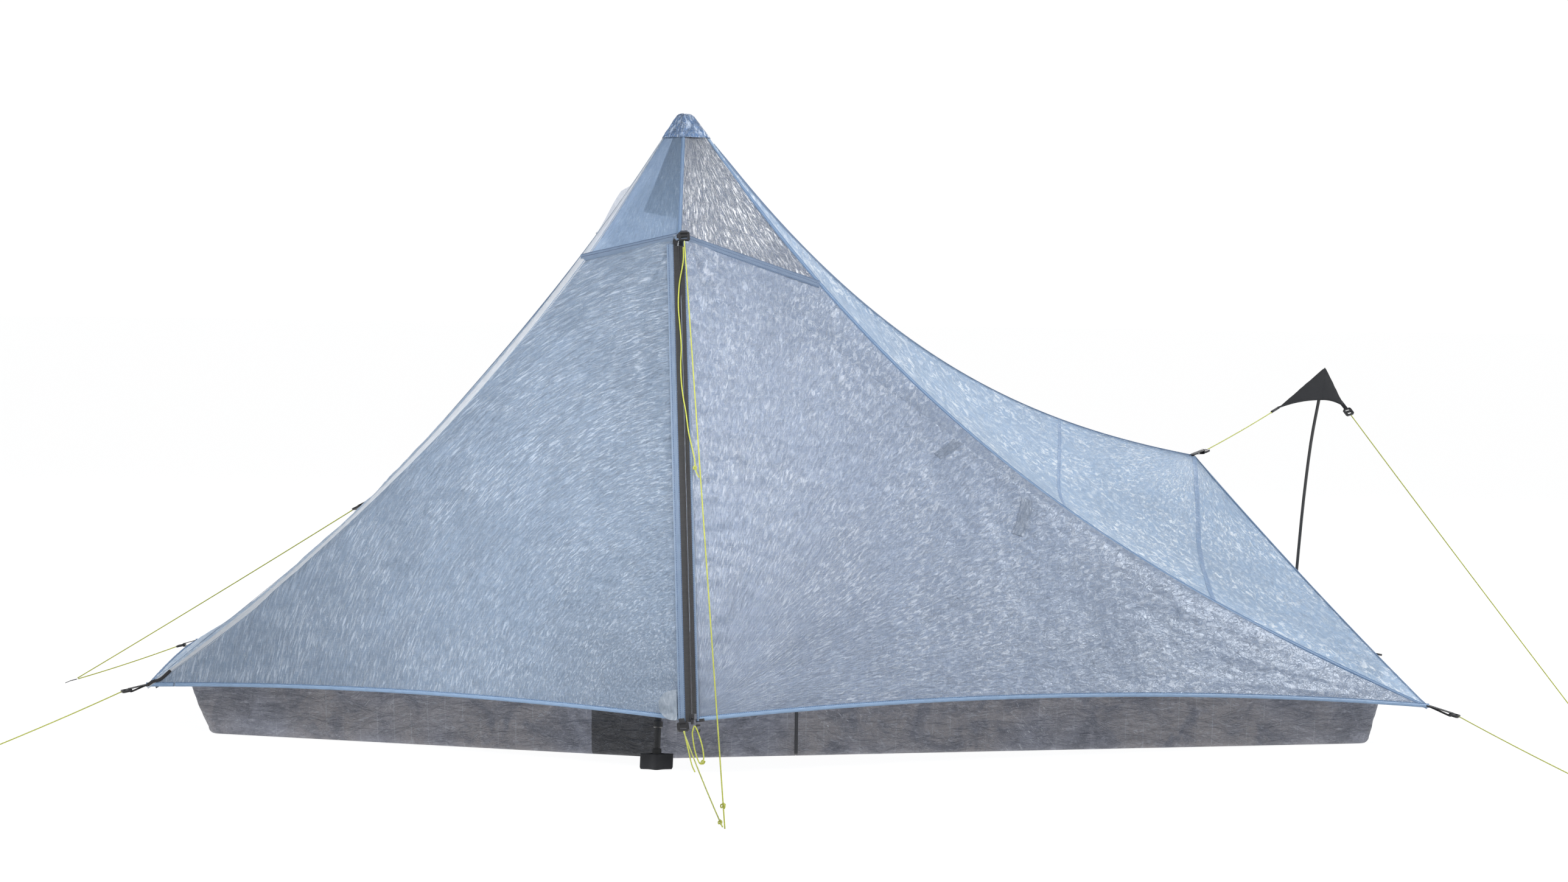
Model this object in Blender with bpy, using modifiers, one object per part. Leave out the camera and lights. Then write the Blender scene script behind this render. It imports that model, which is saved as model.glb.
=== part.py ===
"""One-person shelter held up by a single pole, with a bathtub floor.

The canopy is a set of thin laminate panels that meet along hanging ridges. Two
doors close on a zipper in the front, a pole stands just outside the floor and
reaches into a cup at the peak, and a thin lift pole behind the right end pulls
the right guy-out upwards. +X runs along the floor, -Y is the door side, and the
origin lies on the underside of the floor, midway between its front corners.
"""

import math

import bmesh
import bpy
from mathutils import Matrix, Vector

# Floor
FLOOR_LENGTH = 2.286
FLOOR_WIDTH = 0.711
FLOOR_BULGE = 0.268
FLOOR_BULGE_X = -0.222
FLOOR_SEAM_X = 0.007
FLOOR_CLOTH = 0.0012
FLOOR_FOLD = 0.014
FLOOR_CORNER = 0.03
TUB_FRONT_HEIGHT = 0.195
TUB_CORNER_HEIGHT = 0.128
TUB_LEAN = 0.008

# Canopy corners, guy-outs and front seam
PEAK = Vector((-0.215, -0.148, 1.2165))
ZIP_TOP = Vector((-0.2207, -0.245, 0.9731))
ZIP_FOOT = Vector((-0.185, -0.547, 0.110))
FRONT_LEFT = Vector((-1.245, -0.016, 0.094))
FRONT_RIGHT = Vector((1.247, -0.018, 0.0755))
REAR_LEFT = Vector((-1.295, 0.800, 0.087))
REAR_RIGHT = Vector((1.300, 0.800, 0.090))
GUY_LEFT = Vector((-0.868, 0.550, 0.427))
GUY_RIGHT = Vector((0.871, 0.550, 0.536))
CANOPY_HEART = Vector((-0.1, 0.2, 0.45))
CANOPY_CLOTH = 0.001
NET_CLOTH = 0.0006
SEAM_GAP = 0.0006
HINGE_GAP = 0.0020
SEAM_LEFT_AT = 0.163
SEAM_RIGHT_AT = 0.176
LEFT_HINGE_AT = 0.0547
RIGHT_HINGE_AT = 0.821

# Zipper
TAPE_WIDTH = 0.0081
TAPE_THICK = 0.001
COIL_WIDTH = 0.0022
COIL_TOP = 0.0026
TAPE_START = 0.023
ZIP_SPLIT = 0.0004
SLIDER_NOTCH = 0.0145
DOOR_EDGE = 0.0084

# Main pole, measured along its own axis from the foot
POLE_FOOT = Vector((-0.251, -0.385, 0.0018))
POLE_TIP = Vector((-0.215, -0.140, 1.170))
LOWER_RADIUS = 0.006
UPPER_RADIUS = 0.0077
UPPER_BORE = 0.0064
UPPER_START = 0.60
UPPER_BORE_END = 1.12
LOWER_END = 0.86
CLAMP_RADIUS = 0.0115
COLLAR_AT = 0.080
LEVER_PIN = 0.0010
POCKET_WIDTH = 0.060
POCKET_HEIGHT = 0.028

# Lift pole behind the right end
LIFT_FOOT = Vector((1.156, 0.930, 0.0006))
LIFT_TOP = Vector((1.2150, 0.8858, 0.7045))
LIFT_RADIUS = 0.0037
CAP_PEAK = Vector((1.2173, 0.8850, 0.7223))
CAP_LEFT = Vector((1.1020, 0.8420, 0.6280))
CAP_RIGHT = Vector((1.2620, 0.8740, 0.6320))
CAP_FRONT = Vector((1.2050, 0.8660, 0.6480))
CAP_BACK = Vector((1.2100, 0.9140, 0.6520))

# Cords and the points they run to
CORD = 0.0024
FRONT_STAKE = Vector((-0.1270, -1.0200, 0.0060))
LEFT_STAKE = Vector((-1.5080, -0.3150, 0.0040))
RIGHT_STAKE = Vector((1.4280, -0.5300, 0.0040))
LIFT_STAKE = Vector((1.6710, 0.3900, 0.0040))
REAR_STAKE = Vector((-1.5660, 0.7290, 0.0032))
LOCK_LENGTH = 0.019
LOCK_WIDTH = 0.021
LOCK_THICK = 0.0042
WEB_THICK = 0.0012

UP = Vector((0.0, 0.0, 1.0))
PARTS = "trekking_pole_tent"
CUTTERS = "tent_cutters"


def start_scene():
    """Empty the scene and make the collections."""
    for obj in list(bpy.data.objects):
        bpy.data.objects.remove(obj, do_unlink=True)
    for name in (PARTS, CUTTERS):
        collection = bpy.data.collections.get(name) or bpy.data.collections.new(name)
        if name not in bpy.context.scene.collection.children:
            bpy.context.scene.collection.children.link(collection)


def finish(obj, colour, roughness, metallic=0.0, alpha=1.0):
    """Give the object its own material."""
    material = bpy.data.materials.new(obj.name)
    material.use_nodes = True
    shader = material.node_tree.nodes["Principled BSDF"]
    shader.inputs["Base Color"].default_value = (*colour, 1.0)
    shader.inputs["Roughness"].default_value = roughness
    shader.inputs["Metallic"].default_value = metallic
    shader.inputs["Alpha"].default_value = alpha
    material.diffuse_color = (*colour, alpha)
    obj.data.materials.append(material)
    return obj


def dress_door_cloth(obj):
    """Pale lavender blue laminate."""
    return finish(obj, (0.40, 0.46, 0.60), 0.42)


def dress_roof_cloth(obj):
    """Light blue laminate."""
    return finish(obj, (0.35, 0.51, 0.72), 0.42)


def dress_floor_cloth(obj):
    """Mid-grey floor laminate."""
    return finish(obj, (0.16, 0.165, 0.18), 0.48)


def dress_net(obj):
    """Dark insect netting."""
    return finish(obj, (0.05, 0.055, 0.06), 0.8)


def dress_webbing(obj):
    """Black woven webbing."""
    return finish(obj, (0.018, 0.018, 0.02), 0.72)


def dress_plastic(obj):
    """Black moulded nylon."""
    return finish(obj, (0.02, 0.02, 0.022), 0.38)


def dress_cord(obj):
    """Lime yellow cord."""
    return finish(obj, (0.72, 0.74, 0.13), 0.6)


def dress_pole(obj):
    """Black carbon tube."""
    return finish(obj, (0.02, 0.02, 0.021), 0.3)


def dress_rubber(obj):
    """Black rubber."""
    return finish(obj, (0.024, 0.024, 0.024), 0.85)


def dress_alloy(obj):
    """Grey painted alloy."""
    return finish(obj, (0.08, 0.08, 0.085), 0.35, 0.8)


# Curves that the cloth edges follow


def hanging(start, end, sag, skew=0.0, bow=(0.0, 0.0, 0.0)):
    """Return a curve from start to end that hangs below its chord.

    sag is the depth at mid-span, skew moves the lowest point towards the start,
    and bow pushes the middle sideways.
    """
    bow = Vector(bow)

    def curve(s):
        arch = 4.0 * s * (1.0 - s)
        drop = sag * arch * (1.0 + skew * (0.5 - s))
        return start.lerp(end, s) - UP * drop + bow * arch

    return curve


def straight(start, end):
    """Return the straight line from start to end."""
    return lambda s: start.lerp(end, s)


def stretch(curve, first, last):
    """Return the stretch of a curve between two of its parameters."""
    return lambda s: curve(first + (last - first) * s)


def joined(first, second, split):
    """Return two curves end to end, the first up to the parameter split."""

    def curve(s):
        if s <= split:
            return first(s / split)
        return second((s - split) / (1.0 - split))

    return curve


RIDGE_FRONT_LEFT = hanging(PEAK, FRONT_LEFT, 0.112, 0.37, (0.0, -0.035, 0.0))
RIDGE_FRONT_RIGHT = hanging(PEAK, FRONT_RIGHT, 0.180, 0.7, (0.0, -0.055, 0.0))
RIDGE_GUY_LEFT = hanging(PEAK, GUY_LEFT, 0.033, 1.4)
RIDGE_GUY_RIGHT = hanging(PEAK, GUY_RIGHT, 0.154, 0.47)
EDGE_LEFT = hanging(GUY_LEFT, FRONT_LEFT, 0.003)
EDGE_RIGHT = hanging(GUY_RIGHT, FRONT_RIGHT, 0.009)
REAR_EDGE_LEFT = hanging(GUY_LEFT, REAR_LEFT, 0.018)
REAR_EDGE_RIGHT = hanging(GUY_RIGHT, REAR_RIGHT, 0.016)
HEM_LEFT = hanging(FRONT_LEFT, ZIP_FOOT, -0.018)
HEM_RIGHT = hanging(ZIP_FOOT, FRONT_RIGHT, -0.032)
HEM_END_LEFT = hanging(FRONT_LEFT, REAR_LEFT, -0.018, 0.0, (0.010, 0.0, 0.0))
HEM_END_RIGHT = hanging(FRONT_RIGHT, REAR_RIGHT, -0.026, 0.0, (-0.030, 0.0, 0.0))
HEM_REAR = hanging(REAR_LEFT, REAR_RIGHT, -0.030, 0.0, (0.0, -0.020, 0.0))
SEAM_LEFT = RIDGE_FRONT_LEFT(SEAM_LEFT_AT)
SEAM_RIGHT = RIDGE_FRONT_RIGHT(SEAM_RIGHT_AT)
LEFT_HINGE_FOOT = HEM_LEFT(LEFT_HINGE_AT)
RIGHT_HINGE_FOOT = HEM_RIGHT(RIGHT_HINGE_AT)
ZIP_LINE = (ZIP_FOOT - ZIP_TOP).normalized()
ZIP_LENGTH = (ZIP_FOOT - ZIP_TOP).length
ZIP_SIDE = (Vector((1.0, 0.0, 0.0)) - ZIP_LINE * ZIP_LINE.x).normalized()
ZIP_OUT = ZIP_LINE.cross(ZIP_SIDE).normalized()


# Shared builders


def link(obj, collection=PARTS):
    """Put an object in one of the two collections."""
    bpy.data.collections[collection].objects.link(obj)
    return obj


def mesh_object(name, bm, collection=PARTS):
    """Turn a bmesh into an object."""
    mesh = bpy.data.meshes.new(name)
    bm.to_mesh(mesh)
    bm.free()
    return link(bpy.data.objects.new(name, mesh), collection)


def hang_on(obj, pivot):
    """Move the object's origin to a point on its joint's axis."""
    obj.data.transform(Matrix.Translation(-pivot))
    obj.location = pivot
    return obj


def coons(top, bottom, left, right, u, v):
    """Return the point at (u, v) of the patch between four edge curves."""
    across = top(v).lerp(bottom(v), u)
    down = left(u).lerp(right(u), v)
    corners = top(0.0).lerp(bottom(0.0), u).lerp(top(1.0).lerp(bottom(1.0), u), v)
    return across + down - corners


def patch_normal(patch, heart):
    """Return the patch's mean normal, pointing away from the heart."""
    across = patch(0.5, 1.0) - patch(0.5, 0.0)
    down = patch(1.0, 0.5) - patch(0.0, 0.5)
    normal = across.cross(down).normalized()
    return normal if normal.dot(patch(0.5, 0.5) - heart) > 0 else -normal


def inset(patch, u, v, margin, start):
    """Move grid parameters in from the patch's edges by a margin in metres."""
    height = max((patch(1.0, v) - patch(start, v)).length, 4 * margin)
    near = margin / height
    u = start + (1.0 - start) * (near + (1.0 - 2.0 * near) * u)
    width = max((patch(u, 1.0) - patch(u, 0.0)).length, 4 * margin)
    side = margin / width
    return u, side + (1.0 - 2.0 * side) * v


def cloth(
    name, edges, grid, dent=0.0, start=0.0, thick=CANOPY_CLOTH, heart=CANOPY_HEART, opening=None,
    shift=None, crowd=1.0, gap=SEAM_GAP,
):
    """Build a cloth panel between four edge curves (top, bottom, left, right).

    grid is (rows, columns), dent draws the middle inwards, start leaves the tip
    of a triangular panel off, opening is a (rows, columns) span left out, crowd
    above one sets the rows closer together near the top, and gap is the margin
    kept inside the edge curves.
    """
    rows, columns = grid
    patch = lambda u, v: coons(*edges, u, v)
    outward = patch_normal(patch, heart)
    bm = bmesh.new()
    bmesh.ops.create_grid(bm, x_segments=columns, y_segments=rows, size=0.5)
    cells = {}
    for face in bm.faces:
        centre = face.calc_center_median()
        cells[face] = (int((centre.y + 0.5) * rows), int((centre.x + 0.5) * columns))
    for vert in bm.verts:
        u, v = inset(patch, max(vert.co.y + 0.5, 0.0) ** crowd, vert.co.x + 0.5, gap, start)
        depth = dent * math.sin(math.pi * u) * math.sin(math.pi * v)
        vert.co = patch(u, v) - outward * depth + (shift or Vector())
    if opening:
        (row_a, row_b), (col_a, col_b) = opening
        cut = [f for f, (r, c) in cells.items() if row_a <= r < row_b and col_a <= c < col_b]
        bmesh.ops.delete(bm, geom=cut, context="FACES")
    bm.normal_update()
    facing = sum((face.normal * face.calc_area() for face in bm.faces), Vector())
    if facing.dot(outward) < 0:
        bmesh.ops.reverse_faces(bm, faces=bm.faces)
    obj = mesh_object(name, bm)
    thicken(obj, thick, 1.0)
    return obj


def thicken(obj, thickness, offset):
    """Give an open surface its thickness."""
    solid = obj.modifiers.new("thickness", "SOLIDIFY")
    solid.thickness = thickness
    solid.offset = offset
    solid.use_even_offset = True
    return obj


def ribbon(name, path, across, width, thickness, offset=0.0):
    """Build a strap whose middle follows a list of points."""
    bm = bmesh.new()
    bmesh.ops.create_grid(bm, x_segments=1, y_segments=len(path) - 1, size=0.5)
    for vert in bm.verts:
        point = path[round((vert.co.y + 0.5) * (len(path) - 1))]
        vert.co = point + across * (width * vert.co.x)
    return thicken(mesh_object(name, bm), thickness, offset)


def turned(name, profile, segments=24, closed=False):
    """Turn a profile of (radius, height) points, listed down its outer side."""
    bm = bmesh.new()
    verts = [bm.verts.new((radius, 0.0, height)) for radius, height in profile]
    for first, second in zip(verts, verts[1:]):
        bm.edges.new((first, second))
    if closed:
        bm.edges.new((verts[-1], verts[0]))
    obj = mesh_object(name, bm)
    screw = obj.modifiers.new("turning", "SCREW")
    screw.axis = "Z"
    screw.steps = segments
    screw.render_steps = segments
    screw.use_merge_vertices = True
    screw.merge_threshold = 0.00001
    return obj


def aim(obj, origin, axis):
    """Stand an object's local +Z along an axis at a point."""
    obj.rotation_mode = "QUATERNION"
    obj.rotation_quaternion = axis.to_track_quat("Z", "Y")
    obj.location = origin
    return obj


def frame_at(origin, along, out):
    """Return the matrix whose X runs along and whose Z points out."""
    x_axis = along.normalized()
    z_axis = (out - x_axis * out.dot(x_axis)).normalized()
    y_axis = z_axis.cross(x_axis)
    basis = Matrix((x_axis, y_axis, z_axis)).transposed()
    return Matrix.Translation(origin) @ basis.to_4x4()


def flat_piece(name, outlines, thickness, matrix, collection=PARTS):
    """Build a flat piece from closed outlines in its own plane."""
    curve = bpy.data.curves.new(name, "CURVE")
    curve.dimensions = "2D"
    curve.fill_mode = "BOTH"
    curve.extrude = thickness / 2.0
    for outline in outlines:
        spline = curve.splines.new("POLY")
        spline.points.add(len(outline) - 1)
        for point, (x, y) in zip(spline.points, outline):
            point.co = (x, y, 0.0, 1.0)
        spline.use_cyclic_u = True
    obj = link(bpy.data.objects.new(name, curve), collection)
    obj.matrix_world = matrix
    return obj


def rectangle(x_low, x_high, y_half, chamfer=0.0):
    """Return a rectangle's outline with cut corners."""
    c = chamfer
    if not c:
        return [(x_low, -y_half), (x_high, -y_half), (x_high, y_half), (x_low, y_half)]
    return [
        (x_low + c, -y_half), (x_high - c, -y_half), (x_high, -y_half + c), (x_high, y_half - c),
        (x_high - c, y_half), (x_low + c, y_half), (x_low, y_half - c), (x_low, -y_half + c),
    ]


def circle(x, y, radius, count=16):
    """Return a circle's outline."""
    turns = [2.0 * math.pi * step / count for step in range(count)]
    return [(x + radius * math.cos(turn), y + radius * math.sin(turn)) for turn in turns]


def line_lock(name, origin, along, out):
    """Build a cord lock: a flat frame with two slots, the web slot first."""
    half = LOCK_LENGTH / 2.0
    outlines = [
        rectangle(-half, half, LOCK_WIDTH / 2.0, 0.0028),
        rectangle(-half + 0.0032, -half + 0.0068, 0.0068),
        rectangle(half - 0.0078, half - 0.0034, 0.0058),
    ]
    return dress_plastic(flat_piece(name, outlines, LOCK_THICK, frame_at(origin, along, out)))


def web_loop(name, start, lock_at, out, width=0.0125):
    """Build a web that runs to a lock, round its first bar and back."""
    along = (lock_at - start).normalized()
    across = out.cross(along).normalized()
    normal = along.cross(across).normalized()
    rise = LOCK_THICK / 2.0 + 0.0004 + WEB_THICK / 2.0
    lift = normal * (CANOPY_CLOTH + WEB_THICK + 0.0010)
    near = normal * (WEB_THICK / 2.0 + 0.0002)
    turn = (lock_at - start).length - LOCK_LENGTH / 2.0 + 0.0036
    meet = turn - 0.0052
    path = [start + lift + near, start + along * meet + normal * rise]
    for step in range(7):
        angle = math.pi * step / 6.0
        path.append(
            start + along * (turn + (0.0004 + WEB_THICK) * math.sin(angle)) + normal * (rise * math.cos(angle))
        )
    path += [start + along * meet - normal * rise, start + lift - near]
    return dress_webbing(ribbon(name, path, across, width, WEB_THICK))


def smooth_path(points, steps):
    """Return points along a smooth curve through the route's points."""
    path = []
    ends = [points[0] * 2 - points[1]] + list(points) + [points[-1] * 2 - points[-2]]
    for index in range(1, len(ends) - 2):
        p0, p1, p2, p3 = ends[index - 1 : index + 3]
        for step in range(steps):
            t = step / steps
            path.append(
                0.5 * (2 * p1 + (p2 - p0) * t + (2 * p0 - 5 * p1 + 4 * p2 - p3) * t * t
                       + (3 * p1 - p0 - 3 * p2 + p3) * t ** 3)
            )
    path.append(points[-1].copy())
    return path


def cord(name, path, swellings=None, diameter=CORD):
    """Build a cord along a path; swellings maps point index to a knot's size."""
    curve = bpy.data.curves.new(name, "CURVE")
    curve.dimensions = "3D"
    curve.bevel_depth = diameter / 2.0
    curve.bevel_resolution = 2
    curve.use_fill_caps = True
    spline = curve.splines.new("POLY")
    spline.points.add(len(path) - 1)
    for point, co in zip(spline.points, path):
        point.co = (*co, 1.0)
    for index, size in (swellings or {}).items():
        spline.points[index].radius = size
    return dress_cord(link(bpy.data.objects.new(name, curve)))


def taut(start, end, count, sag=0.002):
    """Return a taut line's points."""
    curve = hanging(start, end, sag)
    return [curve(index / (count - 1)) for index in range(count)]


def loop_path(start, end, radius=0.011, count=18):
    """Return a taut line that ends in an open loop lying round its stake."""
    along = (end - start).normalized()
    flat = Vector((along.x, along.y, 0.0)).normalized()
    side = Vector((-flat.y, flat.x, 0.0))
    path = taut(start, end - flat * radius, count)
    centre = end + UP * 0.0
    for step in range(1, 13):
        angle = math.pi + math.radians(312.0) * step / 12.0
        path.append(centre + flat * (radius * math.cos(angle)) - side * (radius * math.sin(angle)))
    return path


# Canopy panels


def peak_panel_left():
    """Fixed panel above the left door."""
    tip = lambda v: PEAK.copy()
    seam = straight(SEAM_LEFT, ZIP_TOP)
    ridge = stretch(RIDGE_FRONT_LEFT, 0.0, SEAM_LEFT_AT)
    edges = (tip, seam, ridge, straight(PEAK, ZIP_TOP))
    return dress_roof_cloth(cloth("peak_panel_left", edges, (6, 6), start=0.125))


def peak_panel_right():
    """Fixed panel above the right door."""
    tip = lambda v: PEAK.copy()
    seam = straight(ZIP_TOP, SEAM_RIGHT)
    ridge = stretch(RIDGE_FRONT_RIGHT, 0.0, SEAM_RIGHT_AT)
    edges = (tip, seam, straight(PEAK, ZIP_TOP), ridge)
    return dress_roof_cloth(cloth("peak_panel_right", edges, (6, 6), start=0.125))


def front_gore_left():
    """Fixed strip between the left ridge and the left door's hinge line."""
    ridge = stretch(RIDGE_FRONT_LEFT, SEAM_LEFT_AT, 1.0)
    edges = (
        straight(SEAM_LEFT, ZIP_TOP),
        stretch(HEM_LEFT, 0.0, LEFT_HINGE_AT),
        ridge,
        straight(ZIP_TOP, LEFT_HINGE_FOOT),
    )
    return dress_door_cloth(cloth("front_gore_left", edges, (18, 3), gap=HINGE_GAP))


def front_gore_right():
    """Fixed strip between the right ridge and the right door's hinge line."""
    ridge = stretch(RIDGE_FRONT_RIGHT, SEAM_RIGHT_AT, 1.0)
    edges = (
        straight(ZIP_TOP, SEAM_RIGHT),
        stretch(HEM_RIGHT, RIGHT_HINGE_AT, 1.0),
        straight(ZIP_TOP, RIGHT_HINGE_FOOT),
        ridge,
    )
    return dress_door_cloth(cloth("front_gore_right", edges, (20, 3), gap=HINGE_GAP))


def roof_panel_left():
    """Left facet between the front ridge and the guy-out ridge."""
    tip = lambda v: PEAK.copy()
    edges = (tip, lambda v: EDGE_LEFT(1.0 - v), RIDGE_FRONT_LEFT, RIDGE_GUY_LEFT)
    return dress_roof_cloth(cloth("roof_panel_left", edges, (18, 6), 0.012, 0.025))


def roof_panel_right():
    """Right facet between the front ridge and the guy-out ridge."""
    tip = lambda v: PEAK.copy()
    edges = (tip, EDGE_RIGHT, RIDGE_GUY_RIGHT, RIDGE_FRONT_RIGHT)
    return dress_roof_cloth(cloth("roof_panel_right", edges, (20, 8), 0.010, 0.022))


def end_wall_left():
    """Left end below the guy-out."""
    tip = lambda v: GUY_LEFT.copy()
    edges = (tip, HEM_END_LEFT, EDGE_LEFT, REAR_EDGE_LEFT)
    return dress_roof_cloth(cloth("end_wall_left", edges, (8, 8), 0.006, 0.02))


def end_wall_right():
    """Right end below the lifted guy-out."""
    tip = lambda v: GUY_RIGHT.copy()
    edges = (tip, HEM_END_RIGHT, EDGE_RIGHT, REAR_EDGE_RIGHT)
    return dress_roof_cloth(cloth("end_wall_right", edges, (8, 8), 0.006, 0.02))


REAR_GRID = (20, 12)
REAR_START = 0.02
REAR_CROWD = 1.5
REAR_BEND_ROW = 14
REAR_SPLIT = REAR_START + (1.0 - REAR_START) * (REAR_BEND_ROW / REAR_GRID[0]) ** REAR_CROWD
REAR_LEFT_EDGE = joined(RIDGE_GUY_LEFT, REAR_EDGE_LEFT, REAR_SPLIT)
REAR_RIGHT_EDGE = joined(RIDGE_GUY_RIGHT, REAR_EDGE_RIGHT, REAR_SPLIT)
REAR_EDGES = (lambda v: PEAK.copy(), HEM_REAR, REAR_LEFT_EDGE, REAR_RIGHT_EDGE)
REAR_DENT = 0.030
VENT_ROWS = (1, 4)
VENT_COLUMNS = (2, 4)


def rear_panel():
    """Back of the canopy, with the vent opening below the peak."""
    opening = (VENT_ROWS, VENT_COLUMNS)
    return dress_roof_cloth(
        cloth("rear_panel", REAR_EDGES, REAR_GRID, REAR_DENT, REAR_START, opening=opening, crowd=REAR_CROWD)
    )


def rear_point(u, v):
    """Return a point of the back panel's inner surface."""
    patch = lambda a, b: coons(*REAR_EDGES, a, b)
    depth = REAR_DENT * math.sin(math.pi * u) * math.sin(math.pi * v)
    return patch(u, v) - patch_normal(patch, CANOPY_HEART) * depth


def vent_mesh():
    """Dark mesh behind the vent opening."""
    rows, columns = REAR_GRID
    top, low = (REAR_START + (1.0 - REAR_START) * (row / rows) ** REAR_CROWD for row in VENT_ROWS)
    top, low = top - 0.005, low + 0.008
    left, right = VENT_COLUMNS[0] / columns - 0.025, VENT_COLUMNS[1] / columns + 0.025
    edges = (
        lambda v: rear_point(top, left + (right - left) * v),
        lambda v: rear_point(low, left + (right - left) * v),
        lambda u: rear_point(top + (low - top) * u, left),
        lambda u: rear_point(top + (low - top) * u, right),
    )
    inward = Vector((0.0, -0.0015, -0.0015))
    return dress_net(cloth("vent_mesh", edges, (4, 4), thick=NET_CLOTH, shift=inward))


def vent_hood():
    """Small awning over the vent, sewn along the left ridge."""
    lift = Vector((-0.0016, 0.0030, 0.0034))
    left = lambda s: RIDGE_GUY_LEFT(0.060 + 0.200 * s) + lift
    inner = Vector((0.0, 0.0045, 0.0045))
    right = lambda s: rear_point(0.035 + 0.125 * s, 0.40 + 0.20 * s) + inner
    brim = hanging(left(1.0), right(1.0), -0.006, 0.0, (0.0, 0.055, 0.0))
    edges = (straight(left(0.0), right(0.0)), brim, left, right)
    return dress_roof_cloth(cloth("vent_hood", edges, (6, 8), thick=0.0008))


def ring_at(drop, count=4):
    """Return points round the canopy at a depth below the peak."""
    ridges = (
        RIDGE_FRONT_LEFT,
        straight(PEAK, ZIP_TOP),
        RIDGE_FRONT_RIGHT,
        RIDGE_GUY_RIGHT,
        lambda s: rear_point(s, 0.5),
        RIDGE_GUY_LEFT,
    )
    corners = []
    for ridge in ridges:
        low, high = 0.0, 0.9
        for _ in range(40):
            middle = (low + high) / 2.0
            if ridge(middle).z > PEAK.z - drop:
                low = middle
            else:
                high = middle
        corners.append(ridge(low))
    points = []
    for index, corner in enumerate(corners):
        following = corners[(index + 1) % len(corners)]
        points += [corner.lerp(following, step / count) for step in range(count)]
    return points


def peak_cone():
    """Rounded reinforcement over the tip of the canopy."""
    lift = Vector((0.0, -0.0012, 0.0050))
    drops = (0.0195, 0.0206, 0.0240, 0.0340, 0.0480, 0.0640)
    scales = (0.50, 0.82, 1.0, 1.0, 1.0, 1.0)
    rings = []
    for drop, scale in zip(drops, scales):
        middle = Vector((PEAK.x, PEAK.y, PEAK.z - drop))
        rings.append([middle.lerp(point, scale) for point in ring_at(drop)])
    count = len(rings[0])
    bm = bmesh.new()
    bmesh.ops.create_grid(bm, x_segments=count, y_segments=len(drops) - 1, size=0.5)
    for vert in bm.verts:
        row = round((vert.co.y + 0.5) * (len(drops) - 1))
        column = round((vert.co.x + 0.5) * count) % count
        vert.co = rings[row][column] + lift
    bmesh.ops.remove_doubles(bm, verts=bm.verts, dist=0.00001)
    rim = [edge for edge in bm.edges if edge.is_boundary]
    top = [edge for edge in rim if edge.verts[0].co.z > PEAK.z - 0.018]
    bmesh.ops.contextual_create(bm, geom=top)
    bmesh.ops.recalc_face_normals(bm, faces=bm.faces)
    cap = max(bm.faces, key=lambda face: face.calc_center_median().z)
    if cap.normal.z < 0:
        bmesh.ops.reverse_faces(bm, faces=bm.faces)
    return dress_roof_cloth(thicken(mesh_object("peak_cone", bm), 0.0012, 1.0))


def peak_cup():
    """Cup inside the peak that takes the pole's tip."""
    profile = [(0.0, 0.0075), (0.0055, 0.0075), (0.0072, 0.0055), (0.0086, -0.022), (0.0074, -0.022), (0.0060, 0.0035), (0.0, 0.0035)]
    axis = (POLE_TIP - POLE_FOOT).normalized()
    return dress_webbing(aim(turned("peak_cup", profile), POLE_TIP, axis))


# Floor


def tub_outline(side):
    """Return plan points and outward directions round one half of the floor.

    The half runs from the front seam round its end to the back seam.
    """
    half = FLOOR_LENGTH / 2.0
    seam_y = -FLOOR_BULGE * (half - FLOOR_SEAM_X) / (half - FLOOR_BULGE_X)
    bulge = Vector((FLOOR_BULGE_X, -FLOOR_BULGE))
    corners = [Vector((side * half, 0.0)), Vector((side * half, FLOOR_WIDTH))]
    radii = [FLOOR_CORNER, FLOOR_CORNER]
    if side < 0:
        corners.insert(0, bulge)
        radii.insert(0, 0.02)
    seam_x = FLOOR_SEAM_X + side * 0.0004
    path = [Vector((seam_x, seam_y - 0.0004 * side * 0.2))] + corners + [Vector((seam_x, FLOOR_WIDTH))]
    points = [path[0], path[0].lerp(path[1], 0.5)]
    for index, radius in enumerate(radii):
        before, corner, after = path[index : index + 3]
        arrive = (corner - before).normalized()
        leave = (after - corner).normalized()
        turn = arrive.angle(leave)
        reach = radius * math.tan(turn / 2.0)
        for step in range(6):
            s = step / 5.0
            first, last = corner - arrive * reach, corner + leave * reach
            points.append(first * (1 - s) ** 2 + corner * (2 * s * (1 - s)) + last * s ** 2)
        points.append(corner.lerp(after, 0.5))
    points.append(path[-1])
    normals = []
    for index in range(len(points)):
        ahead = points[min(index + 1, len(points) - 1)] - points[max(index - 1, 0)]
        normals.append(Vector((ahead.y, -ahead.x)).normalized() * side)
    normals[0] = Vector((0.0, normals[0].y)).normalized() / abs(normals[0].y)
    normals[-1] = Vector((0.0, 1.0))
    return points, normals


def tub_height(point):
    """Return the height of the tub's wall at a plan point."""
    if point.y > FLOOR_WIDTH - 0.001:
        return TUB_CORNER_HEIGHT
    share = max(0.0, -point.y / FLOOR_BULGE)
    return TUB_CORNER_HEIGHT + (TUB_FRONT_HEIGHT - TUB_CORNER_HEIGHT) * share


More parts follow.
